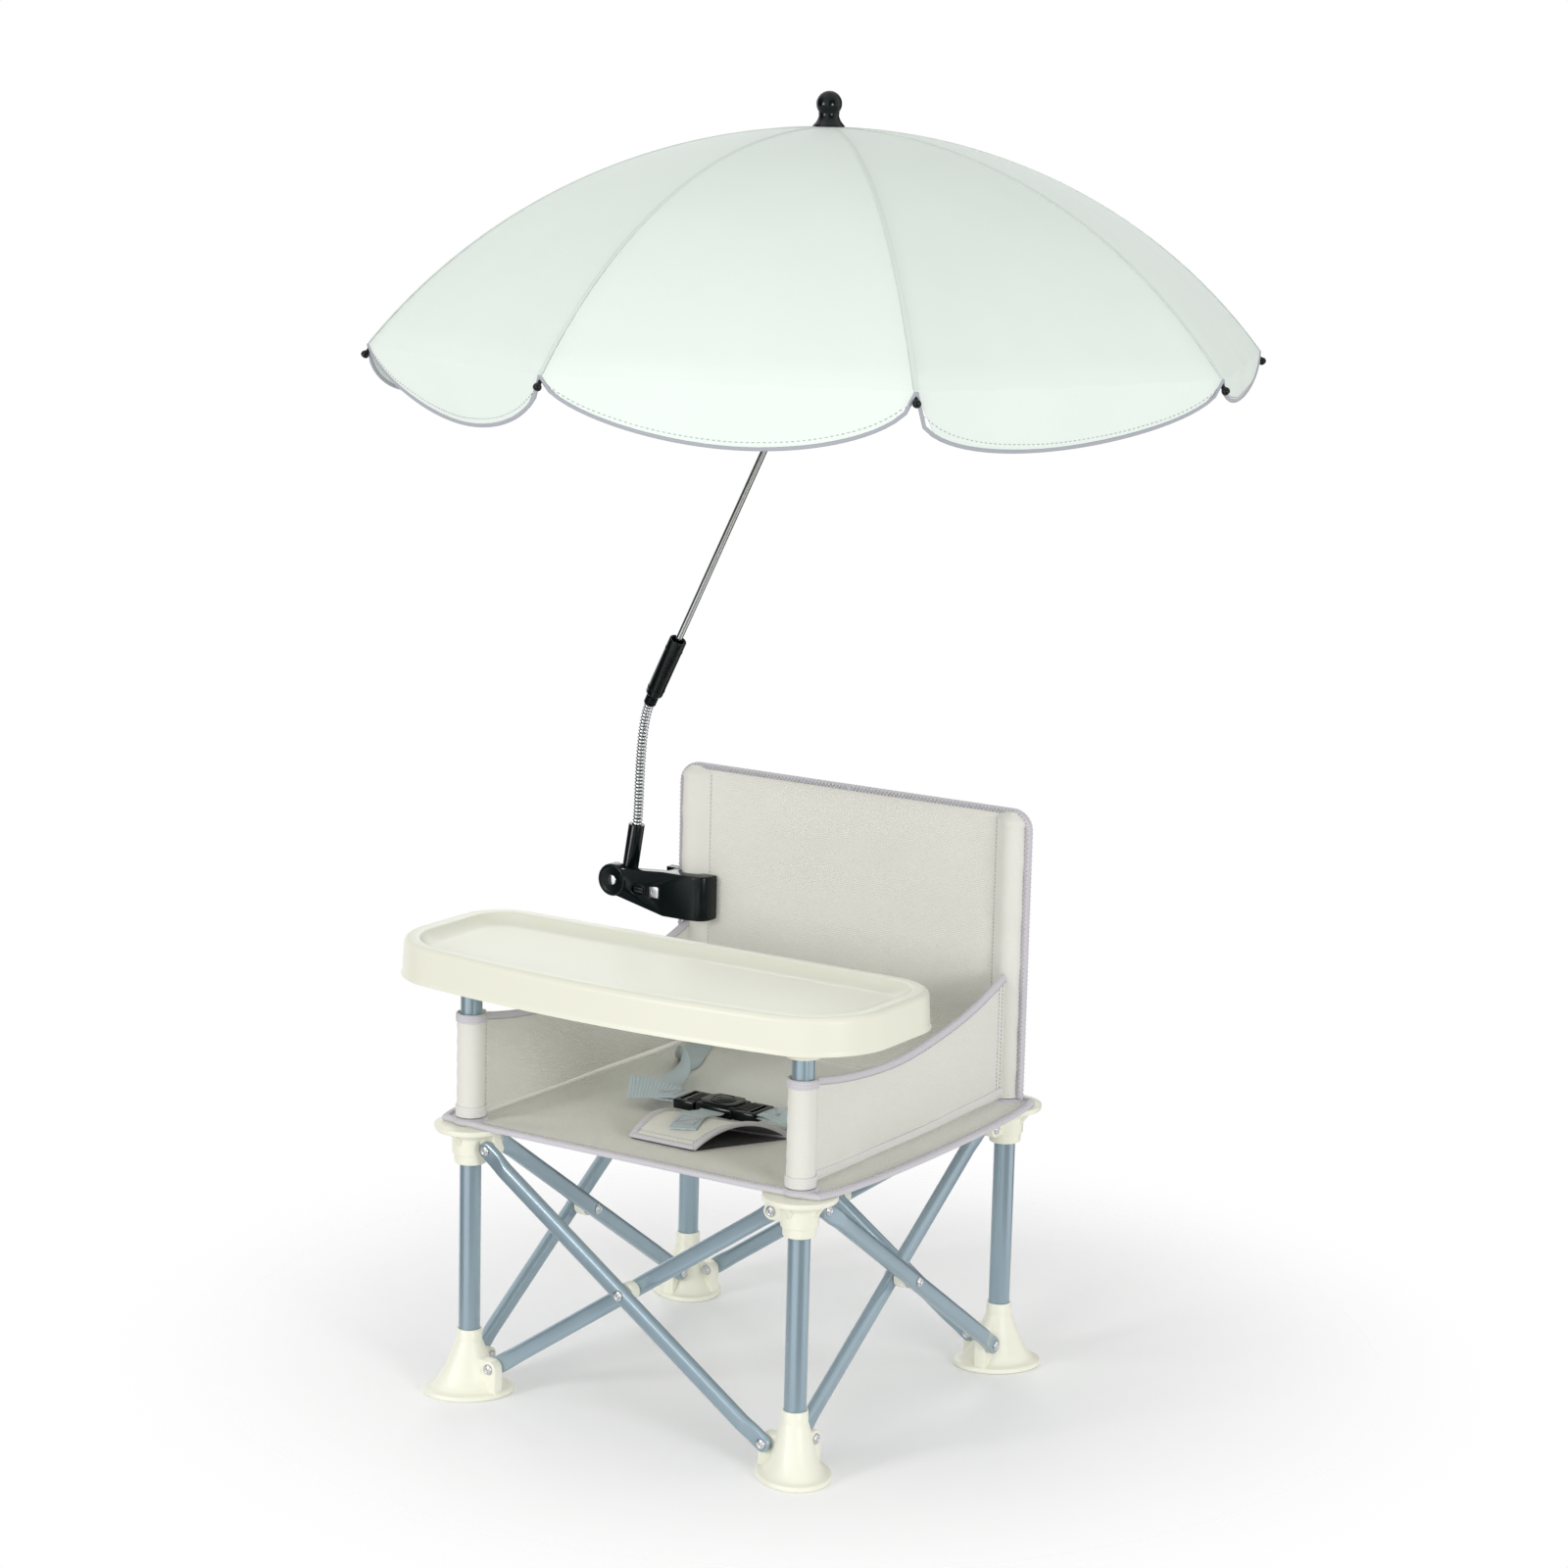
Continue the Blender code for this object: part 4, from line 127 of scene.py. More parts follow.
TILT_PIVOT = Vector((-0.2476, 0.1460, 0.3930))


# Sizes and colours


def length(name, description, default, least):
    return FloatProperty(name=name, description=description, default=default, min=least, unit="LENGTH")


def colour(name, description, default):
    return FloatVectorProperty(
        name=name, description=description, default=default, size=3, min=0, max=1, subtype="COLOR"
    )


class FeedingChairSizes(PropertyGroup):
    stitch_pitch: length("Stitch pitch", "Distance from one stitch to the next", 0.0036, 0.001)
    stitch_length: length("Stitch length", "Length of one stitch", 0.0027, 0.0005)
    thread: length("Thread", "Radius of the sewing thread", 0.0004, 0.0001)
    weave: length("Panel weave", "Pitch of the open weave in the seat, back and arms", 0.0017, 0.0003)
    canopy_weave: length("Canopy weave", "Pitch of the fine weave in the canopy", 0.0006, 0.0002)
    binding: length("Binding", "Width of the tape that binds the cloth's edges", 0.0072, 0.002)
    hem: length("Canopy hem", "Radius of the piping along the valance", 0.0017, 0.0005)
    neck_coils: IntProperty(
        name="Neck coils", description="Number of turns that show on the bendable neck", default=36, min=10
    )
    rivet: length("Rivet head", "Radius of a rivet's head", 0.0043, 0.001)
    rib: length("Parasol rib", "Radius of the parasol's ribs", 0.0012, 0.0004)


class FeedingChairColours(PropertyGroup):
    tube: colour("Tubes", "Blue-grey powder coat of the frame", (0.30, 0.395, 0.455))
    plastic: colour("Plastic", "Cream of the tray, hubs and feet", (0.86, 0.855, 0.73))
    cloth: colour("Panel cloth", "Greige of the seat, back and arms", (0.795, 0.785, 0.725))
    binding: colour("Binding", "Lilac-grey tape on the cloth's edges", (0.655, 0.635, 0.675))
    canopy: colour("Canopy", "Pale mint of the parasol's cloth", (0.80, 0.875, 0.815))
    hem: colour("Canopy hem", "Grey piping along the valance", (0.47, 0.485, 0.535))
    webbing: colour("Webbing", "Grey-blue of the harness straps", (0.56, 0.66, 0.69))
    black: colour("Black plastic", "Clamp, sockets, buckle and tips", (0.0012, 0.0042, 0.0046))
    steel: colour("Steel", "Bright plated shaft, neck and rivets", (0.74, 0.75, 0.77))


def sizes():
    return bpy.context.scene.feeding_chair_sizes


def colours():
    return bpy.context.scene.feeding_chair_colours


# Node trees


def node(tree, kind, inputs=None, **settings):
    """A node with its settings, and its inputs set to values or joined to other nodes' outputs."""
    made = tree.nodes.new(kind)
    for key, value in settings.items():
        setattr(made, key, value)
    for key, value in (inputs or {}).items():
        if isinstance(value, bpy.types.NodeSocket):
            tree.links.new(value, made.inputs[key])
        else:
            made.inputs[key].default_value = value
    return made


def arithmetic(tree, operation, first, second=0.0):
    return node(tree, "ShaderNodeMath", {0: first, 1: second}, operation=operation).outputs[0]


def tinted(base, share):
    return (*[min(1.0, channel * share) for channel in base], 1.0)


def start_finish(name, base, roughness, metallic=0.0, **more):
    """A Principled material, its node tree and its shader."""
    made = bpy.data.materials.new(name)
    made.use_nodes = True
    made.diffuse_color = (*base, 1.0)
    tree = made.node_tree
    shader = tree.nodes["Principled BSDF"]
    shader.inputs["Base Color"].default_value = (*base, 1.0)
    shader.inputs["Roughness"].default_value = roughness
    shader.inputs["Metallic"].default_value = metallic
    for label, value in more.items():
        shader.inputs[label.replace("_", " ")].default_value = value
    return made, tree, shader


def object_noise(tree, scale, detail=3.0, stretch=None):
    """Noise on the object's own coordinates, in metres."""
    where = node(tree, "ShaderNodeTexCoord").outputs["Object"]
    if stretch:
        where = node(tree, "ShaderNodeMapping", {"Vector": where, "Scale": stretch}).outputs[0]
    return node(tree, "ShaderNodeTexNoise", {"Vector": where, "Scale": scale, "Detail": detail}).outputs[0]


def span(tree, factor, low, high):
    """A factor stretched between two values."""
    given = {"Value": factor, "To Min": low, "To Max": high}
    return node(tree, "ShaderNodeMapRange", given).outputs["Result"]


def two_tone(tree, shader, factor, dark, light):
    """A base colour that goes from dark to light with a factor."""
    mixed = node(tree, "ShaderNodeMix", {0: factor, 6: dark, 7: light}, data_type="RGBA")
    tree.links.new(mixed.outputs[2], shader.inputs["Base Color"])


def raise_surface(tree, shader, height, distance, strength=1.0):
    bump = node(tree, "ShaderNodeBump", {"Height": height, "Distance": distance, "Strength": strength})
    tree.links.new(bump.outputs[0], shader.inputs["Normal"])


def cloth_axes(tree):
    """The cloth's own map, in metres along its two ways."""
    where = node(tree, "ShaderNodeUVMap", uv_map="cloth")
    split = node(tree, "ShaderNodeSeparateXYZ", {0: where.outputs["UV"]})
    return split.outputs["X"], split.outputs["Y"]


def yarns(tree, across, along, pitch_across, pitch_along, lean=0.0):
    """Height of a weave: 0 in its gaps and 1 on its yarns; lean turns it into a twill."""
    leaning = arithmetic(tree, "MULTIPLY_ADD", along, lean)
    tree.links.new(across, leaning.node.inputs[2])
    first = arithmetic(tree, "SINE", arithmetic(tree, "MULTIPLY", leaning, math.pi / pitch_across))
    second = arithmetic(tree, "SINE", arithmetic(tree, "MULTIPLY", along, math.pi / pitch_along))
    return arithmetic(tree, "ABSOLUTE", arithmetic(tree, "MULTIPLY", first, second))


def woven(name, base, pitch, dark, depth, roughness, lean=0.0, stretch=1.0):
    """A woven cloth on its own map, with painted shade in its gaps, uneven yarns and a little fuzz."""
    fuzzy = {"Sheen_Weight": 0.25, "Sheen_Roughness": 0.5, "Specular_IOR_Level": 0.25}
    made, tree, shader = start_finish(name, base, roughness, **fuzzy)
    across, along = cloth_axes(tree)
    height = yarns(tree, across, along, pitch, pitch * stretch, lean)
    patches = object_noise(tree, 14.0, 4.0)
    # Painted shade: the weave's gaps are darker than its yarns; the patches add tone that varies at random.
    gap_shade_and_patches = arithmetic(tree, "MULTIPLY", height, 0.75)
    gap_shade_and_patches = arithmetic(tree, "ADD", gap_shade_and_patches, arithmetic(tree, "MULTIPLY", patches, 0.35))
    two_tone(tree, shader, gap_shade_and_patches, tinted(base, dark), tinted(base, 1.08))
    fuzz = object_noise(tree, 2600.0, 2.0)
    fuzzed = arithmetic(tree, "ADD", height, arithmetic(tree, "MULTIPLY", fuzz, 0.25))
    raise_surface(tree, shader, fuzzed, depth)
    tree.links.new(span(tree, patches, roughness - 0.06, roughness + 0.06), shader.inputs["Roughness"])
    return made


def moulded(name, base, roughness, grain, depth, variation=0.03, **more):
    """A moulded plastic with a fine grain, an uneven gloss and faint patches of tone."""
    made, tree, shader = start_finish(name, base, roughness, **more)
    patches = object_noise(tree, 9.0, 5.0)
    two_tone(tree, shader, patches, tinted(base, 1 - variation), tinted(base, 1 + variation))
    smears = object_noise(tree, 5.0, 6.0)
    tree.links.new(span(tree, smears, roughness - 0.05, roughness + 0.07), shader.inputs["Roughness"])
    raise_surface(tree, shader, object_noise(tree, grain, 2.0), depth)
    return made


def powder_coat(base):
    """A metallic powder coat with a fine orange peel, rubbed along the tubes."""
    made, tree, shader = start_finish("powder_coat", base, 0.30, 0.45, Coat_Weight=0.5, Coat_Roughness=0.09)
    two_tone(tree, shader, object_noise(tree, 22.0, 5.0), tinted(base, 0.93), tinted(base, 1.07))
    rubs = object_noise(tree, 160.0, 6.0, (1.0, 1.0, 0.12))
    tree.links.new(span(tree, rubs, 0.24, 0.40), shader.inputs["Roughness"])
    raise_surface(tree, shader, object_noise(tree, 1100.0, 2.0), 0.00007)
    return made


def sewing_thread():
    made, tree, shader = start_finish("sewing_thread", (0.62, 0.60, 0.64), 0.62)
    strands = object_noise(tree, 900.0, 2.0)
    two_tone(tree, shader, strands, (0.40, 0.385, 0.43, 1.0), (0.58, 0.56, 0.61, 1.0))
    raise_surface(tree, shader, object_noise(tree, 5200.0, 1.0), 0.00005)
    return made


def plated(name, base, roughness, gloss, scratches, stains, shares, grain, depth):
    """Bright steel: its gloss varies with scratches, its tone with stains between two shares."""
    made, tree, shader = start_finish(name, base, roughness, 1.0)
    tree.links.new(span(tree, object_noise(tree, *scratches), *gloss), shader.inputs["Roughness"])
    stained = object_noise(tree, stains, 3.0)
    two_tone(tree, shader, stained, tinted(base, shares[0]), tinted(base, shares[1]))
    raise_surface(tree, shader, object_noise(tree, grain, 2.0), depth)
    return made


def make_finishes():
    """Every finish of the chair, by name."""
    tone = colours()
    size = sizes()
    # The tray is the hubs' and feet's cream plastic painted 8% darker, as painted shade under the canopy.
    tray = [channel * 0.92 for channel in tone.plastic]
    sleeve = [channel * 0.97 for channel in tone.cloth]
    seam = [channel * 0.93 for channel in tone.canopy]
    band = [(cloth * 2 + edge) / 3 for cloth, edge in zip(tone.cloth, tone.binding)]
    steel = tone.steel
    return {
        "tube": powder_coat(tone.tube),
        "cream": moulded("cream_plastic", tone.plastic, 0.37, 1500.0, 0.00003, 0.02, Specular_IOR_Level=0.45),
        "tray": moulded("tray_plastic_shaded", tray, 0.36, 2400.0, 0.00001, 0.012, Specular_IOR_Level=0.32),
        "black": moulded("black_plastic", tone.black, 0.20, 2300.0, 0.00001, 0.25, Specular_IOR_Level=0.30),
        # A lighter grey plastic than the black, used on the ribs inside the clamp's slot.
        "slot_rib": moulded("slot_rib_plastic", (0.075, 0.088, 0.090), 0.42, 2300.0, 0.00001, 0.2),
        "cloth": woven("panel_cloth", tone.cloth, size.weave, 0.86, 0.00022, 0.86, lean=0.45),
        "sleeve": woven("sleeve_cloth", sleeve, 0.0011, 0.92, 0.00010, 0.78),
        "canopy": woven("canopy_cloth", tone.canopy, size.canopy_weave, 0.95, 0.00003, 0.70),
        "seam": woven("canopy_seam", seam, 0.0008, 0.86, 0.00006, 0.75, lean=0.6),
        "binding": woven("binding_tape", tone.binding, 0.0011, 0.82, 0.00016, 0.78, stretch=2.2),
        "band": woven("foot_band", band, 0.0011, 0.90, 0.00012, 0.80, stretch=2.2),
        "hem": woven("hem_piping", tone.hem, 0.0010, 0.84, 0.00012, 0.72, lean=0.7),
        "webbing": woven("strap_webbing", tone.webbing, 0.0017, 0.66, 0.00026, 0.74, lean=0.55, stretch=1.7),
        "black_cloth": woven("black_cloth", [0.012, 0.013, 0.014], 0.0012, 0.6, 0.00018, 0.8),
        "thread": sewing_thread(),
        "steel": plated(
            "plated_steel", steel, 0.16, (0.08, 0.17), (30.0, 8.0), 12.0, (0.97, 1.05), 60.0, 0.00002
        ),
        "rivet": plated(
            "rivet_steel", steel, 0.28, (0.20, 0.42), (900.0, 4.0), 300.0, (0.85, 1.0), 2200.0, 0.00003
        ),
    }


FINISHES = {}


def finish(name):
    if not FINISHES:
        FINISHES.update(make_finishes())
    return FINISHES[name]


# Geometry Nodes trees


def start_tree(name, *labels):
    """A Geometry Nodes tree with a geometry, named sizes and a material as its inputs."""
    tree = bpy.data.node_groups.new(name, "GeometryNodeTree")
    tree.interface.new_socket("Geometry", in_out="INPUT", socket_type="NodeSocketGeometry")
    for label in labels:
        tree.interface.new_socket(label, in_out="INPUT", socket_type="NodeSocketFloat")
    tree.interface.new_socket("Material", in_out="INPUT", socket_type="NodeSocketMaterial")
    tree.interface.new_socket("Geometry", in_out="OUTPUT", socket_type="NodeSocketGeometry")
    return tree, node(tree, "NodeGroupInput").outputs


def end_tree(tree, geometry, given):
    real = node(tree, "GeometryNodeRealizeInstances", {0: geometry})
    smooth = node(tree, "GeometryNodeSetShadeSmooth", {"Geometry": real.outputs[0], "Shade Smooth": True})
    painted = node(tree, "GeometryNodeSetMaterial", {0: smooth.outputs[0], "Material": given["Material"]})
    node(tree, "NodeGroupOutput", {0: painted.outputs[0]})
    return tree


def curve_along(tree, given):
    return node(tree, "GeometryNodeMeshToCurve", {0: given["Geometry"]}).outputs[0]


def ring_curve(tree, sides, radius):
    return node(tree, "GeometryNodeCurvePrimitiveCircle", {"Resolution": sides, "Radius": radius}).outputs[0]


def swept(tree, curve, profile, caps=False):
    return node(tree, "GeometryNodeCurveToMesh", {0: curve, 1: profile, "Fill Caps": caps}).outputs[0]


def turned_copies(tree, points, shape, way):
    """A copy of a shape on each point, with its z axis turned to a way."""
    turn = node(tree, "FunctionNodeAlignRotationToVector", {"Vector": way}, axis="Z").outputs[0]
    given = {"Points": points, "Instance": shape, "Rotation": turn}
    return node(tree, "GeometryNodeInstanceOnPoints", given).outputs[0]


def stitch_tree():
    """Short rounded stitches laid end to end along a seam line."""
    tree, given = start_tree("stitch_run", "Pitch", "Length", "Thread")
    spacing = {"Curve": curve_along(tree, given), "Length": given["Pitch"]}
    spaced = node(tree, "GeometryNodeResampleCurve", spacing, mode="LENGTH").outputs[0]
    bead = node(tree, "GeometryNodeMeshUVSphere", {"Segments": 6, "Rings": 4, "Radius": 1.0})
    half = arithmetic(tree, "MULTIPLY", given["Length"], 0.5)
    shape = node(tree, "ShaderNodeCombineXYZ", {0: given["Thread"], 1: given["Thread"], 2: half})
    stitch = node(tree, "GeometryNodeTransform", {"Geometry": bead.outputs[0], "Scale": shape.outputs[0]})
    way = node(tree, "GeometryNodeInputTangent").outputs[0]
    return end_tree(tree, turned_copies(tree, spaced, stitch.outputs[0], way), given)


def rod_tree():
    """A round rod or thread along every line."""
    tree, given = start_tree("rod_run", "Radius", "Sides")
    section = ring_curve(tree, given["Sides"], given["Radius"])
    return end_tree(tree, swept(tree, curve_along(tree, given), section, True), given)


def coil_tree():
    """Rounded rings threaded side by side along a path, as the turns of a bendable neck."""
    tree, given = start_tree("coil_run", "Count", "Radius", "Wire")
    spacing = {"Curve": curve_along(tree, given), "Count": given["Count"]}
    spaced = node(tree, "GeometryNodeResampleCurve", spacing, mode="COUNT").outputs[0]
    middle = arithmetic(tree, "SUBTRACT", given["Radius"], given["Wire"])
    turn = swept(tree, ring_curve(tree, 20, middle), ring_curve(tree, 6, given["Wire"]))
    way = node(tree, "GeometryNodeInputTangent").outputs[0]
    return end_tree(tree, turned_copies(tree, spaced, turn, way), given)


def head_tree():
    """Riveted eyelets, each facing its point's way: a collar, a rolled lip and a dimple in the middle."""
    tree, given = start_tree("rivet_heads", "Radius", "Height")

    def part(label, share):
        return arithmetic(tree, "MULTIPLY", given[label], share)

    cone = {"Vertices": 24, "Radius Top": part("Radius", 0.92), "Radius Bottom": part("Radius", 1.14)}
    rim = node(tree, "GeometryNodeMeshCone", {**cone, "Depth": part("Height", 0.7)})
    lip = swept(tree, ring_curve(tree, 20, part("Radius", 0.62)), ring_curve(tree, 8, part("Radius", 0.26)))
    lift = node(tree, "ShaderNodeCombineXYZ", {2: part("Height", 0.55)})
    raised = node(tree, "GeometryNodeTransform", {"Geometry": lip, "Translation": lift.outputs[0]})
    joined = node(tree, "GeometryNodeJoinGeometry")
    tree.links.new(raised.outputs[0], joined.inputs[0])
    tree.links.new(rim.outputs[0], joined.inputs[0])
    way = node(tree, "GeometryNodeInputNamedAttribute", {"Name": "way"}, data_type="FLOAT_VECTOR").outputs[0]
    return end_tree(tree, turned_copies(tree, given["Geometry"], joined.outputs[0], way), given)


TREES = {}


def tree_for(kind):
    if not TREES:
        TREES.update(stitch=stitch_tree(), rod=rod_tree(), coil=coil_tree(), head=head_tree())
    return TREES[kind]


def put(name, data):
    """A new object in the scene."""
    made = bpy.data.objects.new(name, data)
    bpy.context.scene.collection.objects.link(made)
    return made


def settle(made):
    """The object's modifiers made part of a plain mesh."""
    bpy.context.view_layer.update()
    evaluated = made.evaluated_get(bpy.context.evaluated_depsgraph_get())
    plain = bpy.data.meshes.new_from_object(evaluated)
    plain.name = made.name
    made.modifiers.clear()
    made.data = plain
    return made


def run_tree(name, lines, kind, paint, ways=None, **values):
    """Lines of points sent through a Geometry Nodes tree and made a plain mesh."""
    points, edges = [], []
    for line in lines:
        base = len(points)
        points += [point + PLACE for point in line]
        edges += [(base + step, base + step + 1) for step in range(len(line) - 1)]
    mesh = bpy.data.meshes.new(name)
    mesh.from_pydata(points, edges, [])
    if ways:
        attribute = mesh.attributes.new("way", "FLOAT_VECTOR", "POINT")
        for index, way in enumerate(ways):
            attribute.data[index].vector = way
    made = put(name, mesh)
    tree = tree_for(kind)
    modifier = made.modifiers.new(kind, "NODES")
    modifier.node_group = tree
    values["Material"] = finish(paint)
    for item in tree.interface.items_tree:
        if item.item_type == "SOCKET" and item.in_out == "INPUT" and item.name in values:
            modifier[item.identifier] = values[item.name]
    settle(made)
    if not made.data.polygons:
        raise RuntimeError(f"{name}: the {kind} tree made nothing")
    return made


# Mesh building


def attach(made, body, nodes=()):
    """Names the body that a piece rides on and the frame nodes that it stands for."""
    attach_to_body(made, body)
    if nodes:
        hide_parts(*nodes)
    return made


def make_piece(name, mesh_data, paints, sharp=38.0):
    """An object at the origin with its place in its mesh, shaded smooth between its sharp edges."""
    bmesh.ops.recalc_face_normals(mesh_data, faces=mesh_data.faces)
    bmesh.ops.translate(mesh_data, verts=mesh_data.verts, vec=PLACE)
    mesh = bpy.data.meshes.new(name)
    mesh_data.to_mesh(mesh)
    mesh_data.free()
    for paint in paints if isinstance(paints, (list, tuple)) else [paints]:
        mesh.materials.append(finish(paint))
    mesh.shade_smooth()
    mesh.set_sharp_from_angle(angle=math.radians(sharp))
    return put(name, mesh)


def add_piece(name, mesh_data, paints, body, nodes=(), sharp=38.0):
    """A piece that rides on its body and stands for the frame nodes named."""
    return attach(make_piece(name, mesh_data, paints, sharp), body, nodes)


def smooth_step(value):
    value = min(1.0, max(0.0, value))
    return value * value * (3 - 2 * value)


def tangent_at(path, index):
    """The unit way along a path at one of its points."""
    return (path[min(index + 1, len(path) - 1)] - path[max(index - 1, 0)]).normalized()


def skin(mesh_data, rings, loop=False, caps=True, paint=0):
    """Faces between closed rings of points, with a map in metres round and along them."""
    layer = mesh_data.loops.layers.uv.get("cloth") or mesh_data.loops.layers.uv.new("cloth")
    corners = [[mesh_data.verts.new(point) for point in ring] for ring in rings]
    count = len(rings[0])
    around = []
    for ring in rings:
        run = [0.0]
        for index in range(count):
            run.append(run[-1] + (ring[(index + 1) % count] - ring[index]).length)
        around.append(run)
    along = [0.0]
    for first, second in zip(rings, rings[1:] + rings[:1]):
        along.append(along[-1] + (second[0] - first[0]).length)
    steps = len(rings) if loop else len(rings) - 1
    for row in range(steps):
        after = (row + 1) % len(rings)
        near, far = corners[row], corners[after]
        for index in range(count):
            following = (index + 1) % count
            face = mesh_data.faces.new((near[index], near[following], far[following], far[index]))
            face.material_index = paint
            values = (
                (around[row][index], along[row]),
                (around[row][index + 1], along[row]),
                (around[after][index + 1], along[row + 1]),
                (around[after][index], along[row + 1]),
            )
            for corner, value in zip(face.loops, values):
                corner[layer].uv = value
    if caps and not loop:
        for ring in (list(reversed(corners[0])), corners[-1]):
            face = mesh_data.faces.new(ring)
            face.material_index = paint
            for corner in face.loops:
                corner[layer].uv = (corner.vert.co.x, corner.vert.co.y)
    return corners


def sheet(mesh_data, tops, lows, where, paint=0):
    """A closed sheet between two grids of points; where gives each grid point's place on the cloth."""
    layer = mesh_data.loops.layers.uv.get("cloth") or mesh_data.loops.layers.uv.new("cloth")
    rows, columns = len(tops), len(tops[0])
    upper = [[mesh_data.verts.new(point) for point in row] for row in tops]
    under = [[mesh_data.verts.new(point) for point in row] for row in lows]

    def add_face(items):
        face = mesh_data.faces.new([grid[row][column] for grid, row, column in items])
        face.material_index = paint
        for corner, (grid, row, column) in zip(face.loops, items):
            corner[layer].uv = where[row][column]

    for row in range(rows - 1):
        for column in range(columns - 1):
            a, b, c, d = (row, column), (row, column + 1), (row + 1, column + 1), (row + 1, column)
            add_face([(upper, *a), (upper, *b), (upper, *c), (upper, *d)])
            add_face([(under, *d), (under, *c), (under, *b), (under, *a)])
    border = [(0, column) for column in range(columns - 1)]
    border += [(row, columns - 1) for row in range(rows - 1)]
    border += [(rows - 1, column) for column in range(columns - 1, 0, -1)]
    border += [(row, 0) for row in range(rows - 1, 0, -1)]
    for index, spot in enumerate(border):
        following = border[(index + 1) % len(border)]
        add_face([(upper, *following), (upper, *spot), (under, *spot), (under, *following)])


def grid_piece(name, rows, columns, cell_at, paint):
    """A sheet as a piece; cell_at gives a top point, a low point and the cloth's place for two shares."""
    cells = []
    for row in range(rows + 1):
        cells.append([cell_at(row / rows, column / columns) for column in range(columns + 1)])
    tops, lows, where = ([[cell[part] for cell in row] for row in cells] for part in range(3))
    mesh_data = bmesh.new()
    sheet(mesh_data, tops, lows, where)
    return make_piece(name, mesh_data, paint)


def frame_for(way):
    """Two ways square to a way and to each other."""
    across = ALONG_X if abs(way.x) < 0.9 else ALONG_Y
    first = (across - way * across.dot(way)).normalized()
    return first, way.cross(first)


def circle(centre, radius, first, second, sides, start=0.0, turn=360.0):
    full = abs(turn - 360.0) < 1e-6
    steps = sides if full else sides - 1
    points = []
    for side in range(sides):
        angle = math.radians(start + turn * side / steps)
        points.append(centre + first * (radius * math.cos(angle)) + second * (radius * math.sin(angle)))
    return points


def oval(centre, first, second, half_first, half_second, power=1.0, sides=14):
    """A closed ring of points, round where the power is 1 and squarer below it."""
    ring = []
    for side in range(sides):
        angle = 2 * math.pi * side / sides
        a, b = (math.copysign(abs(part) ** power, part) for part in (math.cos(angle), math.sin(angle)))
        ring.append(centre + first * (half_first * a) + second * (half_second * b))
    return ring


def soften(profile, radius, steps=4, closed=False):
    """A line of (radius, height) points with its corners rounded."""
    points = [Vector((x, y)) for x, y in profile]
    rounded = []
    last = len(points) - 1
    for index, corner in enumerate(points):
        if not closed and index in (0, last):
            rounded.append(corner)
            continue
        before = points[index - 1] - corner
        after = points[(index + 1) % len(points)] - corner
        reach = min(radius, before.length * 0.45, after.length * 0.45)
        start = corner + before.normalized() * reach
        end = corner + after.normalized() * reach
        for step in range(steps + 1):
            t = step / steps
            rounded.append(start * (1 - t) ** 2 + corner * (2 * t * (1 - t)) + end * t**2)
    return [(point.x, point.y) for point in rounded]


def lathe(mesh_data, profile, base, way=UP, sides=48, loop=False, paint=0):
    """A turned shape about an axis from (radius, height) points."""
    way = way.normalized()
    first, second = frame_for(way)
    rings = []
    for radius, height in profile:
        rings.append(circle(base + way * height, max(radius, 0.00005), first, second, sides))
    skin(mesh_data, rings, loop=loop, paint=paint)


def tube_section(bore, radius, low, high):
    return [(bore, low), (radius, low), (radius, high), (bore, high)]


def collar(mesh_data, section, edge, steps, base, way=UP, sides=48):
    """A turned ring with a closed section whose corners are rounded."""
    lathe(mesh_data, soften(section, edge, steps, closed=True), base, way, sides, loop=True)


def slab(mesh_data, outline, depth, edge=0.0008, segments=2, paint=0):
    """A flat outline of points given a depth and rounded edges."""
    near = [mesh_data.verts.new(point) for point in outline]
    far = [mesh_data.verts.new(point + depth) for point in outline]
    faces = [mesh_data.faces.new(near), mesh_data.faces.new(list(reversed(far)))]
    count = len(outline)
    for index in range(count):
        following = (index + 1) % count
        faces.append(mesh_data.faces.new((near[following], near[index], far[index], far[following])))
    bmesh.ops.recalc_face_normals(mesh_data, faces=faces)
    edges = list({item for face in faces[:2] for item in face.edges})
    if edge:
        settings = {"segments": segments, "profile": 0.5, "affect": "EDGES", "clamp_overlap": True}
        bevelled = bmesh.ops.bevel(mesh_data, geom=edges, offset=edge, **settings)
        faces = [face for face in faces if face.is_valid] + bevelled["faces"]
    for face in faces:
        face.material_index = paint


def arc(centre, radius, start, end, steps):
    """Points of an arc in a plane, between two angles in degrees."""
    points = []
    for step in range(steps + 1):
        angle = math.radians(start + (end - start) * step / steps)
        points.append((centre[0] + radius * math.cos(angle), centre[1] + radius * math.sin(angle)))
    return points


def smooth_path(points, steps):
    """A smooth curve through points, with a few steps between each two."""
    padded = [points[0] * 2 - points[1]] + points + [points[-1] * 2 - points[-2]]
    path = []
    for index in range(1, len(padded) - 2):
        a, b, c, d = padded[index - 1 : index + 3]
        for step in range(steps):
            t = step / steps
            square, cube = a * 2 - b * 5 + c * 4 - d, b * 3 - a - c * 3 + d
            path.append((b * 2 + (c - a) * t + square * t**2 + cube * t**3) / 2)
    path.append(points[-1])
    return path


RIBBON_SHARES = ((-1, -0.42), (-0.93, -1), (-0.5, -1.04), (0, -1.06), (0.5, -1.04), (0.93, -1), (1, -0.42))


def ribbon(mesh_data, path, wides, half_width, half_thick):
    """A flat woven band along a path, with rounded edges; wides gives its width's way at each point."""
    section = RIBBON_SHARES + tuple((-across, -through) for across, through in RIBBON_SHARES)
    rings = []
    for index, point in enumerate(path):
        tangent = tangent_at(path, index)
        wide = (wides[index] - tangent * wides[index].dot(tangent)).normalized()
        thick = tangent.cross(wide)
        rings.append([point + wide * (half_width * a) + thick * (half_thick * b) for a, b in section])
    skin(mesh_data, rings)


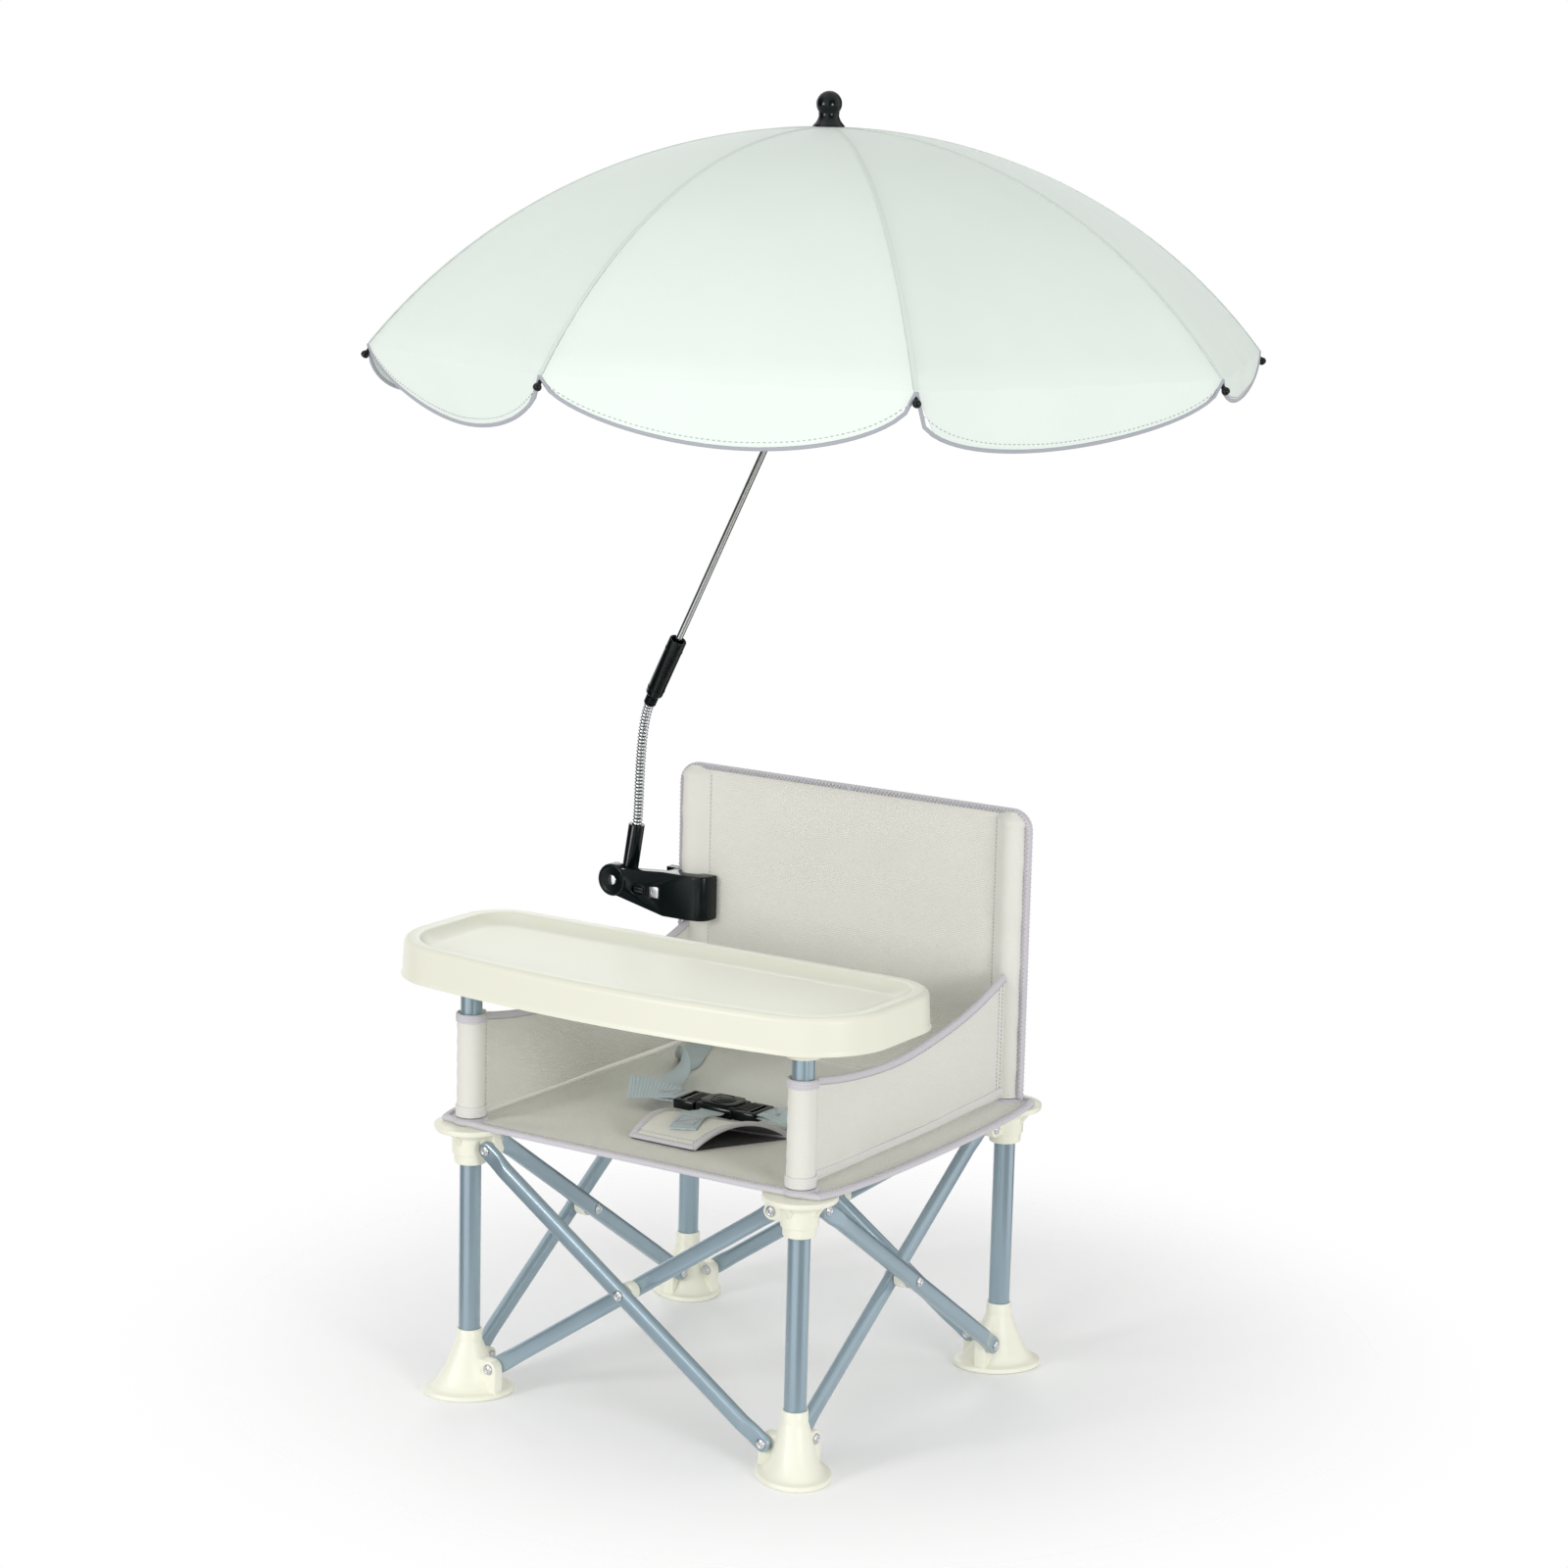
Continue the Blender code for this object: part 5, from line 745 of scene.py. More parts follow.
def tape(mesh_data, path, outs, ups, half_wide, half_tall, paint=0):
    """A folded binding tape along an edge: a flattened oval whose long side lies along outs."""
    rings = [oval(point, out, up, half_wide, half_tall, 0.72) for point, out, up in zip(path, outs, ups)]
    skin(mesh_data, rings, paint=paint)


def dressed_copy(name, node_name, paint, edge=0.0006, sharp=30.0, segments=2, outer=None):
    """A merged copy of a frame node with its hard edges rounded, more so on level edges beyond an outer x."""
    mesh_data = bmesh.new()
    mesh_data.from_mesh(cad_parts[node_name].data)
    bmesh.ops.remove_doubles(mesh_data, verts=mesh_data.verts, dist=0.000002)
    everything = {"verts": mesh_data.verts, "edges": mesh_data.edges}
    bmesh.ops.dissolve_limit(mesh_data, angle_limit=math.radians(0.6), delimit={"NORMAL"}, **everything)
    bmesh.ops.translate(mesh_data, verts=mesh_data.verts, vec=-PLACE)
    for layer in list(mesh_data.loops.layers.uv.values()):
        mesh_data.loops.layers.uv.remove(layer)
    for face in mesh_data.faces:
        face.material_index = 0
    if outer:
        far, width = outer
        rims = [rim for rim in mesh_data.edges if all(vertex.co.x > far for vertex in rim.verts)]
        rims = [rim for rim in rims if abs(rim.verts[0].co.z - rim.verts[1].co.z) < 0.0005]
        rims = [rim for rim in rims if len(rim.link_faces) == 2 and rim.calc_face_angle(0.0) > 1.0]
        bmesh.ops.bevel(
            mesh_data, geom=rims, offset=width, segments=4, affect="EDGES", profile=0.5, clamp_overlap=True
        )
    made = make_piece(name, mesh_data, paint)
    rounding = made.modifiers.new("moulded_edge", "BEVEL")
    rounding.width = edge
    rounding.segments = segments
    rounding.limit_method = "ANGLE"
    rounding.angle_limit = math.radians(sharp)
    settle(made)
    made.data.shade_smooth()
    made.data.set_sharp_from_angle(angle=math.radians(35.0))
    return made


def stitches(name, lines, pitch=None):
    """Rows of stitches along lines of points."""
    size = sizes()
    given = {"Pitch": pitch or size.stitch_pitch, "Length": size.stitch_length, "Thread": size.thread}
    return run_tree(name, lines, "stitch", "thread", **given)


def soft_rest(made, body, part, nodes=()):
    """A soft piece that rides with its corner of the frame; a seat, back or arm piece gets a mesh of its own.
    """
    attach(made, body, nodes)
    if part == "seat":
        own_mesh(made)
    elif part == "back":
        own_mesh(made)
    elif part == "arm":
        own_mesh(made)
    return made


# Frame: uprights, bars, rivets, hubs, feet


def make_uprights():
    for name, corner in CORNERS.items():
        top = FRONT_TUBE_TOP if "front" in name else REAR_TUBE_TOP
        mesh_data = bmesh.new()
        collar(mesh_data, tube_section(TUBE_BORE, TUBE_RADIUS, TUBE_FOOT, top), 0.0006, 3, corner, sides=44)
        add_piece(f"tube_{name}", mesh_data, "tube", f"leg_{name}", [f"upright_{name}"])


def bar_frame(side, which):
    """Foot pivot, hub pivot, outward way and offset of one scissor bar."""
    start, end = SIDES[side]
    first, second = CORNERS[start], CORNERS[end]
    run = (second - first).normalized()
    out = run.cross(UP)
    if which == "outer":
        top = first + run * EAR_REACH + UP * HUB_PIVOT
        low = second - run * EAR_REACH + UP * FOOT_PIVOT
        return low, top, out, out * BAR_OFFSET
    low = first + run * EAR_REACH + UP * FOOT_PIVOT
    top = second - run * EAR_REACH + UP * HUB_PIVOT
    return low, top, -out, -out * BAR_OFFSET


def make_bar(side, which):
    """A flat-oval tube, pressed flat and rounded at each riveted end."""
    low, top, away, shift = bar_frame(side, which)
    way = (top - low).normalized()
    reach = (top - low).length
    tall = way.cross(away).normalized()
    stations = [-BAR_END * math.cos(math.radians(angle)) for angle in (0, 12, 25, 40, 55, 72)]
    stations += [0.004, 0.009, 0.012, 0.015, 0.018, 0.021, 0.024, 0.027, 0.05]
    middle = [reach * share for share in (0.25, 0.35, 0.45, 0.5, 0.55, 0.65, 0.75)]
    stations = stations + middle + [reach - value for value in reversed(stations)]
    rings = []
    for place in stations:
        beyond = max(0.0, -place, place - reach)
        height = math.sqrt(max(BAR_HALF_TALL**2 - (beyond * BAR_HALF_TALL / BAR_END) ** 2, 0.0009**2))
        flat = 1 - smooth_step((min(place, reach - place) - 0.009) / 0.018)
        outer = BAR_FULL_DEPTH - (BAR_FULL_DEPTH - BAR_FLAT_DEPTH) * flat
        height *= 1 + 0.07 * flat
        middle_depth, half_depth = (outer - BAR_INNER_DEPTH) / 2, (outer + BAR_INNER_DEPTH) / 2
        rounding = min(0.0044 - 0.0016 * flat, half_depth * 0.96, height * 0.96)
        ring = []
        for quarter, (a, b) in enumerate(((1, 1), (-1, 1), (-1, -1), (1, -1))):
            centre = (a * (half_depth - rounding), b * (height - rounding))
            for depth, lift in arc(centre, rounding, 90 * quarter, 90 * quarter + 90, 5):
                ring.append(low + shift + way * place + away * (middle_depth + depth) + tall * lift)
        rings.append(ring)
    mesh_data = bmesh.new()
    skin(mesh_data, rings)
    body = f"{side}_bar_{which}"
    add_piece(f"strut_{body}", mesh_data, "tube", body, [body])
    return body, low, top, away


def make_bars():
    """Both bars of each scissor with their rivets' heads, and the spacer between them."""
    rivet = sizes().rivet
    for side in SIDES:
        for which in ("outer", "inner"):
            body, low, top, away = make_bar(side, which)
            spots = [(pivot, BAR_OFFSET + BAR_FLAT_DEPTH, EAR_HALF + 0.0001) for pivot in (low, top)]
            if which == "outer":
                spots.append(((low + top) / 2, BAR_OFFSET + BAR_FULL_DEPTH, BAR_OFFSET + BAR_FULL_DEPTH))
            heads, ways = [], []
            for middle, outside, inside in spots:
                heads += [[middle + away * outside], [middle - away * inside]]
                ways += [away, -away]
            made = run_tree(f"rivets_{body}", heads, "head", "rivet", ways, Radius=rivet, Height=rivet * 0.42)
            nodes = [f"{side}_crossing_rivet"] if which == "outer" else []
            attach(made, body, nodes)
        low, top, away = bar_frame(side, "outer")[:3]
        mesh_data = bmesh.new()
        section = tube_section(0.0029, 0.0080, -EAR_HALF, EAR_HALF)
        collar(mesh_data, section, 0.0009, 3, (low + top) / 2, away, 28)
        spacer = [f"{side}_spacer"]
        add_piece(f"washer_{side}", mesh_data, "cream", f"{side}_bar_inner", spacer)


def ear_ways(name):
    """The two ways from a corner along the frame's sides."""
    corner = CORNERS[name]
    return Vector((-math.copysign(1, corner.x), 0, 0)), Vector((0, -math.copysign(1, corner.y), 0))


def add_ear(mesh_data, corner, facing, outline):
    """A pivot ear: an outline of (height, reach) points, as thick as its bar needs."""
    side = UP.cross(facing)
    points = [corner + facing * reach + UP * height - side * EAR_HALF for height, reach in outline]
    slab(mesh_data, points, side * (2 * EAR_HALF), 0.0011, 3)


def make_hubs():
    """Sliding hubs: a flared flange under the seat, a collar on the tube and two ears."""
    for name, corner in CORNERS.items():
        mesh_data = bmesh.new()
        section = [
            (0.0106, 0.2090), (0.0140, 0.2090), (0.0144, 0.2175), (0.0160, 0.2175), (0.0164, 0.2325),
            (0.0225, 0.2380), (0.0315, 0.2395), (0.0320, 0.2443), (0.0106, 0.2445),
        ]
        collar(mesh_data, section, 0.0013, 4, corner, sides=56)
        for facing in ear_ways(name):
            outline = [(HUB_PIVOT - EAR_ROUND, 0.0140)]
            outline += arc((HUB_PIVOT, EAR_REACH), EAR_ROUND, 180.0, 90.0, 10)
            outline += [(0.2405, 0.0275), (0.2405, 0.0140)]
            add_ear(mesh_data, corner, facing, outline)
            side = UP.cross(facing)
            for way in (-1, 1):
                start = corner - facing * 0.0150 + side * (way * 0.0009) + UP * 0.2250
                rib = [start, start - facing * 0.0100 + UP * 0.0135, start + UP * 0.0150]
                slab(mesh_data, [point - side * 0.0009 for point in rib], side * 0.0018, 0.0003, 1)
        add_piece(f"sliding_hub_{name}", mesh_data, "cream", f"hub_{name}", [f"hub_{name}"])


# Half length, half width and height of the bell foot's levels, from its sole up and into its bore
BELL = (
    (0.0392, 0.0312, 0.0), (0.0399, 0.0319, 0.0008), (0.0399, 0.0319, 0.0028), (0.0388, 0.0308, 0.0042),
    (0.0345, 0.0265, 0.0052), (0.0326, 0.0246, 0.0066), (0.0296, 0.0222, 0.0105), (0.0258, 0.0199, 0.0158),
    (0.0222, 0.0178, 0.0220), (0.0190, 0.0160, 0.0290), (0.0158, 0.0143, 0.0365), (0.0132, 0.0128, 0.0430),
    (0.0123, 0.0122, 0.0455), (0.0116, 0.0116, 0.0466), (0.0113, 0.0113, 0.0480), (0.0112, 0.0112, 0.0572),
    (0.0106, 0.0106, 0.0580), (0.0097, 0.0097, 0.0580), (0.0097, 0.0097, 0.0500),
)


def make_feet():
    """Oval bell feet with a sole lip, a neck round the tube and two ears."""
    for name, corner in CORNERS.items():
        long_way = Vector((math.copysign(1, corner.x), math.copysign(1, corner.y), 0)).normalized()
        wide_way = UP.cross(long_way)
        mesh_data = bmesh.new()
        rings = []
        for long_half, wide_half, height in BELL:
            rings.append(oval(corner + UP * height, long_way, wide_way, long_half, wide_half, sides=52))
        skin(mesh_data, rings)
        for facing in ear_ways(name):
            top = FOOT_PIVOT + EAR_ROUND
            outline = [(0.0030, 0.0085), (top + 0.001, 0.0085), (top, 0.0200)]
            outline += arc((FOOT_PIVOT, EAR_REACH), EAR_ROUND, 0.0, 90.0, 10)
            outline += [(0.0030, EAR_REACH + EAR_ROUND)]
            add_ear(mesh_data, corner, facing, outline)
        add_piece(f"bell_foot_{name}", mesh_data, "cream", f"leg_{name}", [f"foot_{name}"])


# Tray


def tray_outline(inset, height):
    """The tray's outline at a height, drawn in by an inset; its front bulges and its corners are round."""
    half = TRAY_HALF - inset
    back, front = TRAY_BACK - inset, TRAY_FRONT + inset
    points = []
    for (x, y), full, start in (
        ((half, back), 0.048, 0.0),
        ((-half, back), 0.048, 90.0),
        ((-half, front), 0.060, 180.0),
        ((half, front), 0.060, 270.0),
    ):
        radius = max(full - inset, 0.006)
        centre = (x - math.copysign(radius, x), y + (radius if start >= 180.0 else -radius))
        points += arc(centre, radius, start, start + 90.0, 14)
        if start in (0.0, 180.0):
            run = 2 * abs(centre[0])
            sign = 1 if start == 180.0 else -1
            points += [(centre[0] + sign * run * step / 24, y) for step in range(1, 24)]
    ring = []
    for x, y in points:
        forward = (back - y) / (back - front)
        bulge = TRAY_BULGE * (1 - (x / TRAY_HALF) ** 2) * forward
        ring.append(Vector((x, y - bulge, height)))
    return ring


def make_tray():
    """The tray: a rolled rim, a sunken floor, a drafted skirt, ribs under it and two sockets."""
    floor, wall = TRAY_FLOOR, TRAY_WALL
    profile = [
        (0.0262, floor), (0.0175, TRAY_RIM - 0.0006), (0.0140, TRAY_RIM), (0.0060, TRAY_RIM),
        (0.0026, TRAY_RIM - 0.0034), (0.0012, TRAY_SKIRT + 0.0030), (0.0, TRAY_SKIRT), (wall, TRAY_SKIRT),
        (0.0045, TRAY_RIM - 0.0060), (0.0085, TRAY_RIM - wall), (0.0128, TRAY_RIM - wall),
        (0.0250, floor - wall),
    ]
    upper = soften(profile[:7], 0.0050, 5)
    lower = soften(profile[6:], 0.0018, 2)
    levels = [(0.0620, floor + 0.0001), (0.0400, floor), (0.0300, floor)] + upper[1:] + lower[1:]
    levels += [(0.0300, floor - wall), (0.0620, floor - wall)]
    mesh_data = bmesh.new()
    skin(mesh_data, [tray_outline(inset, height) for inset, height in levels])
    rib_top, rib_low = floor - wall + 0.0004, floor - wall - 0.0022
    for x in (-0.12, -0.06, 0.0, 0.06, 0.12):
        corners = ((-0.085, rib_top), (-0.195, rib_top), (-0.195, rib_low), (-0.085, rib_low))
        slab(mesh_data, [Vector((x - 0.0009, y, z)) for y, z in corners], ALONG_X * 0.0018, 0.0003, 1)
    left, right = CORNERS["front_left"], CORNERS["front_right"]
    root = floor - 0.0012
    collar(mesh_data, tube_section(SOCKET_BORE, SOCKET_RADIUS, SOCKET_FOOT, root), 0.0008, 3, left, sides=44)
    for corner in (left, right):
        lathe(mesh_data, [(0.0145, 0.3862), (0.0148, 0.3866), (0.0148, root)], corner, sides=44)
    foot = right + UP * SOCKET_FOOT
    outer = circle(foot, SOCKET_RADIUS, ALONG_X, ALONG_Y, 34, -137.0, 274.0)
    inner = circle(foot, SOCKET_BORE, ALONG_X, ALONG_Y, 34, 104.0, -208.0)
    slab(mesh_data, outer + inner, UP * 0.0254, 0.0006, 2)
    add_piece("feeding_tray", mesh_data, "tray", "tray", ["tray"], 44.0)


# Seat


def seat_sag(x, y):
    flat = 0.1352
    return 0.008 * smooth_step((flat - abs(x)) / flat) * smooth_step((flat - abs(y)) / flat)


def seat_ripple(x, y):
    """Small pulls in the cloth that run from the posts and fade towards the middle."""
    lift = 0.0
    for corner in CORNERS.values():
        dx, dy = x - corner.x, y - corner.y
        gap = math.hypot(dx, dy)
        fade = math.exp(-(((gap - 0.060) / 0.038) ** 2))
        lift += 0.0007 * fade * math.sin(9 * math.atan2(dy, dx) + 1.3)
    lift += 0.0004 * math.sin(41 * x + 17 * y) * smooth_step((0.15 - abs(x)) / 0.08)
    return lift


def seat_point(u, v):
    half_width = 0.1990 + 0.0080 * (1 - v * v)
    x = half_width * u * math.sqrt(1 - 0.06 * v**8)
    y = 0.1840 * v * math.sqrt(1 - 0.06 * u**8)
    return x, y


def seat_top(x, y):
    return SEAT_UNDERSIDE + CLOTH - seat_sag(x, y)


def make_seat_collars():
    """A reinforced ring of binding where each tube passes through the seat."""
    for name, corner in CORNERS.items():
        mesh_data = bmesh.new()
        section = [(0.0100, 0.2447), (0.0150, 0.2447), (0.0162, 0.2478), (0.0140, 0.2506), (0.0100, 0.2506)]
        collar(mesh_data, section, 0.0012, 4, corner, sides=40)
        add_piece(f"seat_collar_{name}", mesh_data, "binding", f"hub_{name}")


def seat_border(sign):
    """The outline of one half of the seat, and its outward ways."""
    border = [(-1.0, sign * step / 24) for step in range(25)]
    border += [(-1 + 2 * step / 60, sign) for step in range(1, 60)]
    border += [(1.0, sign * (1 - step / 24)) for step in range(25)]
    path = [Vector((*seat_point(u, v), SEAT_UNDERSIDE + 0.0022)) for u, v in border]
    outs = []
    for index, point in enumerate(path):
        tangent = tangent_at(path, index)
        out = Vector((tangent.y, -tangent.x, 0.0)).normalized()
        outs.append(out if out.dot(point) > 0 else -out)
    return path, outs


def make_seat():
    """The sling seat in two lapped halves, with bound edges and a row of stitches."""
    width = sizes().binding
    make_seat_collars()
    for half, start, sign, body in (("front", -1.0, -1, "hub_front_left"), ("rear", 0.0, 1, "hub_rear_left")):

        def cell(down, across):
            u, v = (2 * across - 1) * 0.985, (start + down) * 0.985
            x, y = seat_point(u, v)
            height = seat_top(x, y) + seat_ripple(x, y) * smooth_step((1 - abs(u)) / 0.12)
            return Vector((x, y, height)), Vector((x, y, height - CLOTH)), (x, y)

        made = grid_piece(f"seat_cloth_{half}", 36, 72, cell, "cloth")
        soft_rest(made, body, "seat", ["seat_panel"])
        path, outs = seat_border(sign)
        mesh_data = bmesh.new()
        inset = [point - out * (width / 2 - 0.0018) for point, out in zip(path, outs)]
        tape(mesh_data, inset, outs, [UP] * len(path), width / 2, 0.0026)
        soft_rest(make_piece(f"seat_binding_{half}", mesh_data, "binding"), body, "seat")
        line = [point - out * (width - 0.0030) + UP * 0.0025 for point, out in zip(path, outs)]
        soft_rest(stitches(f"seat_stitches_{half}", [line]), body, "seat")


# Back and arms


def teardrop(centre, inward, height, radius, reach):
    """A sleeve's section: round the tube, then drawn to a flat seam on the panel's side."""
    side = UP.cross(inward)
    spots = arc((0.0, 0.0), radius, 62, 298, 24)
    tail = TAIL_SHARES + tuple((along, -across) for along, across in reversed(TAIL_SHARES))
    spots += [(reach * along, radius * across) for along, across in tail]
    return [centre + inward * along + side * across + UP * height for along, across in spots]


def back_bulge(x, z):
    """The back panel hollows a little to the rear between its tubes."""
    across = 1 - (x / 0.150) ** 2
    rise = smooth_step((z - PANEL_BOTTOM) / 0.10)
    pulls = 0.0006 * math.sin(38 * z + 3) * smooth_step((abs(x) - 0.085) / 0.05)
    return 0.0042 * max(across, 0.0) * rise + pulls * max(0.0, min(1.0, (0.150 - abs(x)) / 0.01))


def back_edge():
    """Points of the back's outline from the left foot of its sleeve over the top to the right."""
    side, corner = BACK_SIDE, BACK_ROUND
    tall, wide = BACK_TOP - corner - PANEL_BOTTOM, side - corner
    points = [(-side, PANEL_BOTTOM + tall * step / 40) for step in range(40)]
    points += arc((-wide, BACK_TOP - corner), corner, 180.0, 90.0, 8)
    points += [(-wide + 2 * wide * step / 60, BACK_TOP) for step in range(1, 60)]
    points += arc((wide, BACK_TOP - corner), corner, 90.0, 0.0, 8)
    points += [(side, PANEL_BOTTOM + tall * (1 - step / 40)) for step in range(1, 41)]
    return points


def edge_ways(path):
    """Outward ways of a line of points in the back's plane."""
    outs = []
    middle = Vector((0.0, POST, (PANEL_BOTTOM + BACK_TOP) / 2))
    for index, point in enumerate(path):
        tangent = tangent_at(path, index)
        out = Vector((-tangent.z, 0.0, tangent.x)).normalized()
        outs.append(out if out.dot(point - middle) > 0 else -out)
    return outs


def sleeve_limit(height):
    """How far a rear sleeve may stand out from its tube's middle; less round the back's top corner."""
    rise = max(0.0, height - (BACK_TOP - BACK_ROUND))
    return BACK_SIDE - BACK_ROUND - POST + math.sqrt(BACK_ROUND**2 - rise**2) - 0.0006


def make_back_sleeve(half, sign, body):
    """A sleeve on a rear tube, drawn in at its top to the back's round corner."""
    corner, inward = CORNERS[f"rear_{half}"], Vector((-sign, 0.0, 0.0))
    below = BACK_TOP - BACK_ROUND
    heights = [PANEL_BOTTOM + (below - PANEL_BOTTOM) * step / 28 for step in range(29)]
    heights += [below + BACK_ROUND * share for share in (0.2, 0.38, 0.54, 0.68, 0.79, 0.88, 0.935)]
    rings = []
    for step, height in enumerate(heights):
        wobble = 0.00035 * math.sin(5.1 * step) + 0.00025 * math.sin(2.3 * step + 1)
        near_top = smooth_step((height - BACK_TOP + 0.010) / 0.010)
        radius = (SLEEVE + wobble) * (1 - 0.58 * near_top)
        ring = teardrop(corner, inward, height, radius, SEAM_REACH)
        if near_top:
            share = min(SLEEVE, sleeve_limit(height)) / radius
            for point in ring:
                if (point.x - corner.x) * sign > 0:
                    point.x = corner.x + (point.x - corner.x) * share
        rings.append(ring)
    mesh_data = bmesh.new()
    skin(mesh_data, rings)
    sleeve = make_piece(f"back_sleeve_{half}", mesh_data, "sleeve", 60.0)
    return soft_rest(sleeve, body, "back")


def zigzag_line(outline, outs, face):
    """A zigzag thread along an outline, on one face of its piping."""
    line = []
    for point, following, out in zip(outline, outline[1:], outs):
        steps = max(1, round((following - point).length / 0.0022))
        for step in range(steps):
            swing = 0.0019 if len(line) % 2 else -0.0019
            spot = point.lerp(following, step / steps)
            line.append(spot - out * (PIPING_INSET - swing) + ALONG_Y * (face * 0.0042))
    return line


def make_back():
    """The backrest: two halves of mesh cloth, a sleeve on each rear tube and a piped, zigzagged hem."""
    edge_x = POST - SEAM_REACH + 0.0012
    for half, sign, body in (("left", -1, "leg_rear_left"), ("right", 1, "leg_rear_right")):

        def cell(up, across):
            x, z = sign * edge_x * across, PANEL_BOTTOM + (BACK_TOP - 0.0015 - PANEL_BOTTOM) * up
            y = POST + back_bulge(x, z)
            return Vector((x, y - 0.0017, z)), Vector((x, y + 0.0017, z)), (x, z)

        panel = grid_piece(f"back_cloth_{half}", 44, 36, cell, "cloth")
        sleeve = make_back_sleeve(half, sign, body)
        soft_rest(panel, body, "back", ["back_panel"])
        outline = [Vector((x, POST, z)) for x, z in back_edge() if x * sign >= -0.0001]
        outs = edge_ways(outline)
        mesh_data = bmesh.new()
        inset = [point - out * PIPING_INSET for point, out in zip(outline, outs)]
        tape(mesh_data, inset, outs, [ALONG_Y] * len(inset), 0.0026, 0.0040)
        soft_rest(make_piece(f"back_piping_{half}", mesh_data, "binding"), body, "back")
        zigzag = [zigzag_line(outline, outs, face) for face in (-1, 1)]
        thread = run_tree(f"back_zigzag_{half}", zigzag, "rod", "thread", Radius=0.00042, Sides=5.0)
        soft_rest(thread, body, "back")
        seam = []
        for shift in (0.0004, 0.0034):
            x = sign * (POST - SEAM_REACH + 0.0002 + shift)
            for face in (-1, 1):
                y = POST + face * (0.0022 + shift * 0.28)
                seam.append([Vector((x, y, PANEL_BOTTOM + SEAM_TOP * step / 50)) for step in range(51)])
        soft_rest(stitches(f"back_seams_{half}", seam), body, "back")


def arm_top(share):
    """Height of an arm's dipping top, from the front tube to the back's sleeve."""
    line = ARM_FRONT_TOP + (ARM_REAR_TOP - ARM_FRONT_TOP) * share
    middle = (ARM_FRONT_TOP + ARM_REAR_TOP) / 2
    return line - (middle - ARM_DIP_TOP) * 4 * share * (1 - share)


def arm_point(side, share, level):
    """A point in the middle of an arm panel: share runs from its front seam to the back's sleeve."""
    front, rear = -POST + SEAM_REACH - 0.0012, POST - SLEEVE + 0.0006
    y = front + (rear - front) * share
    whole = (y + POST) / (POST - SLEEVE + POST)
    top = arm_top(whole)
    z = PANEL_BOTTOM + (top - PANEL_BOTTOM) * level
    bulge = 0.0034 * math.sin(math.pi * share) * math.sin(math.pi * min(level, 0.92))
    bulge += 0.0006 * math.sin(44 * y + 9 * level) * math.sin(math.pi * share)
    return Vector((side * (POST + bulge), y, z))


# How far the cuff and the foot band stand off a sleeve, and their heights over its top and its foot
CUFF = (
    (0.0004, -0.0076), (0.0011, -0.0072), (0.0013, -0.0040), (0.0011, -0.0006), (0.0004, 0.0002),
    (-0.0010, 0.0), (-0.0010, -0.0070),
)
FOOT_BAND = (
    (0.0003, 0.0002), (0.0010, 0.0004), (0.0012, 0.0050), (0.0010, 0.0096), (0.0003, 0.0098),
    (-0.0010, 0.0090), (-0.0010, 0.0010),
)


def make_arm_binding(name, side, half, line_at, path, ups, thick):
    """The bound top edge, the band at the arm's foot and, at the front, the cuff round the sleeve."""
    half_width = sizes().binding / 2
    rings = []
    for point, up, half_thick in zip(path, ups, thick):
        rings.append(oval(point - up * 0.0026, ALONG_X, up, half_thick, half_width, 0.7))
    mesh_data = bmesh.new()
    skin(mesh_data, rings)
    if half == "front":
        rings = []
        for grow, lift in CUFF:
            height = ARM_FRONT_TOP + lift
            ring = teardrop(CORNERS[f"front_{name}"], ALONG_Y, height, SLEEVE + grow, SEAM_REACH + grow)
            for point in ring:
                point.z -= 0.19 * max(0.0, point.y + POST)
            rings.append(ring)
        skin(mesh_data, rings, loop=True)
    outside = [point + ALONG_X * (side * 0.0012) for point in line_at(0.052)]
    tape(mesh_data, outside, [ALONG_X] * 41, [UP] * 41, 0.0011, 0.0050, paint=1)
    return make_piece(f"arm_binding_{name}_{half}", mesh_data, ["binding", "band"])


def make_arm_half(name, side, half, low, body):
    """One half of an arm: its cloth, its bindings and its rows of stitches."""

    def cell(level, along):
        point = arm_point(side, low + along / 2, level)
        out = ALONG_X * (side * CLOTH / 2)
        return point + out, point - out, (point.y, point.z)

    def line_at(level):
        return [arm_point(side, low + step / 80, level) for step in range(41)]

    panel = grid_piece(f"arm_cloth_{name}_{half}", 18, 30, cell, "cloth")
    soft_rest(panel, body, "arm", [f"arm_panel_{name}"])
    path = line_at(1.0)
    ups, thick = [], []
    for index, point in enumerate(path):
        tangent = tangent_at(path, index)
        ups.append((UP - tangent * UP.dot(tangent)).normalized())
        thick.append(0.0026 + 0.0010 * smooth_step((0.034 - abs(point.y + POST)) / 0.012))
    soft_rest(make_arm_binding(name, side, half, line_at, path, ups, thick), body, "arm")
    rows = []
    for face in (-1, 1):
        row = []
        for point, up, half_thick in zip(path, ups, thick):
            row.append(point - up * (sizes().binding - 0.0020) + ALONG_X * (face * (half_thick + 0.0001)))
        rows.append(row)
    for level in (0.028, 0.090):
        rows.append([point + ALONG_X * (side * 0.0020) for point in line_at(level)])
    if half == "rear":
        x = side * (POST + CLOTH / 2 + 0.0006)
        for shift in (0.004, 0.010):
            y = POST - SLEEVE - shift
            tall = arm_top((y + POST) / (2 * POST - SLEEVE)) - 0.008 - PANEL_BOTTOM
            rows.append([Vector((x, y, PANEL_BOTTOM + tall * step / 30)) for step in range(31)])
    soft_rest(stitches(f"arm_stitches_{name}_{half}", rows), body, "arm")


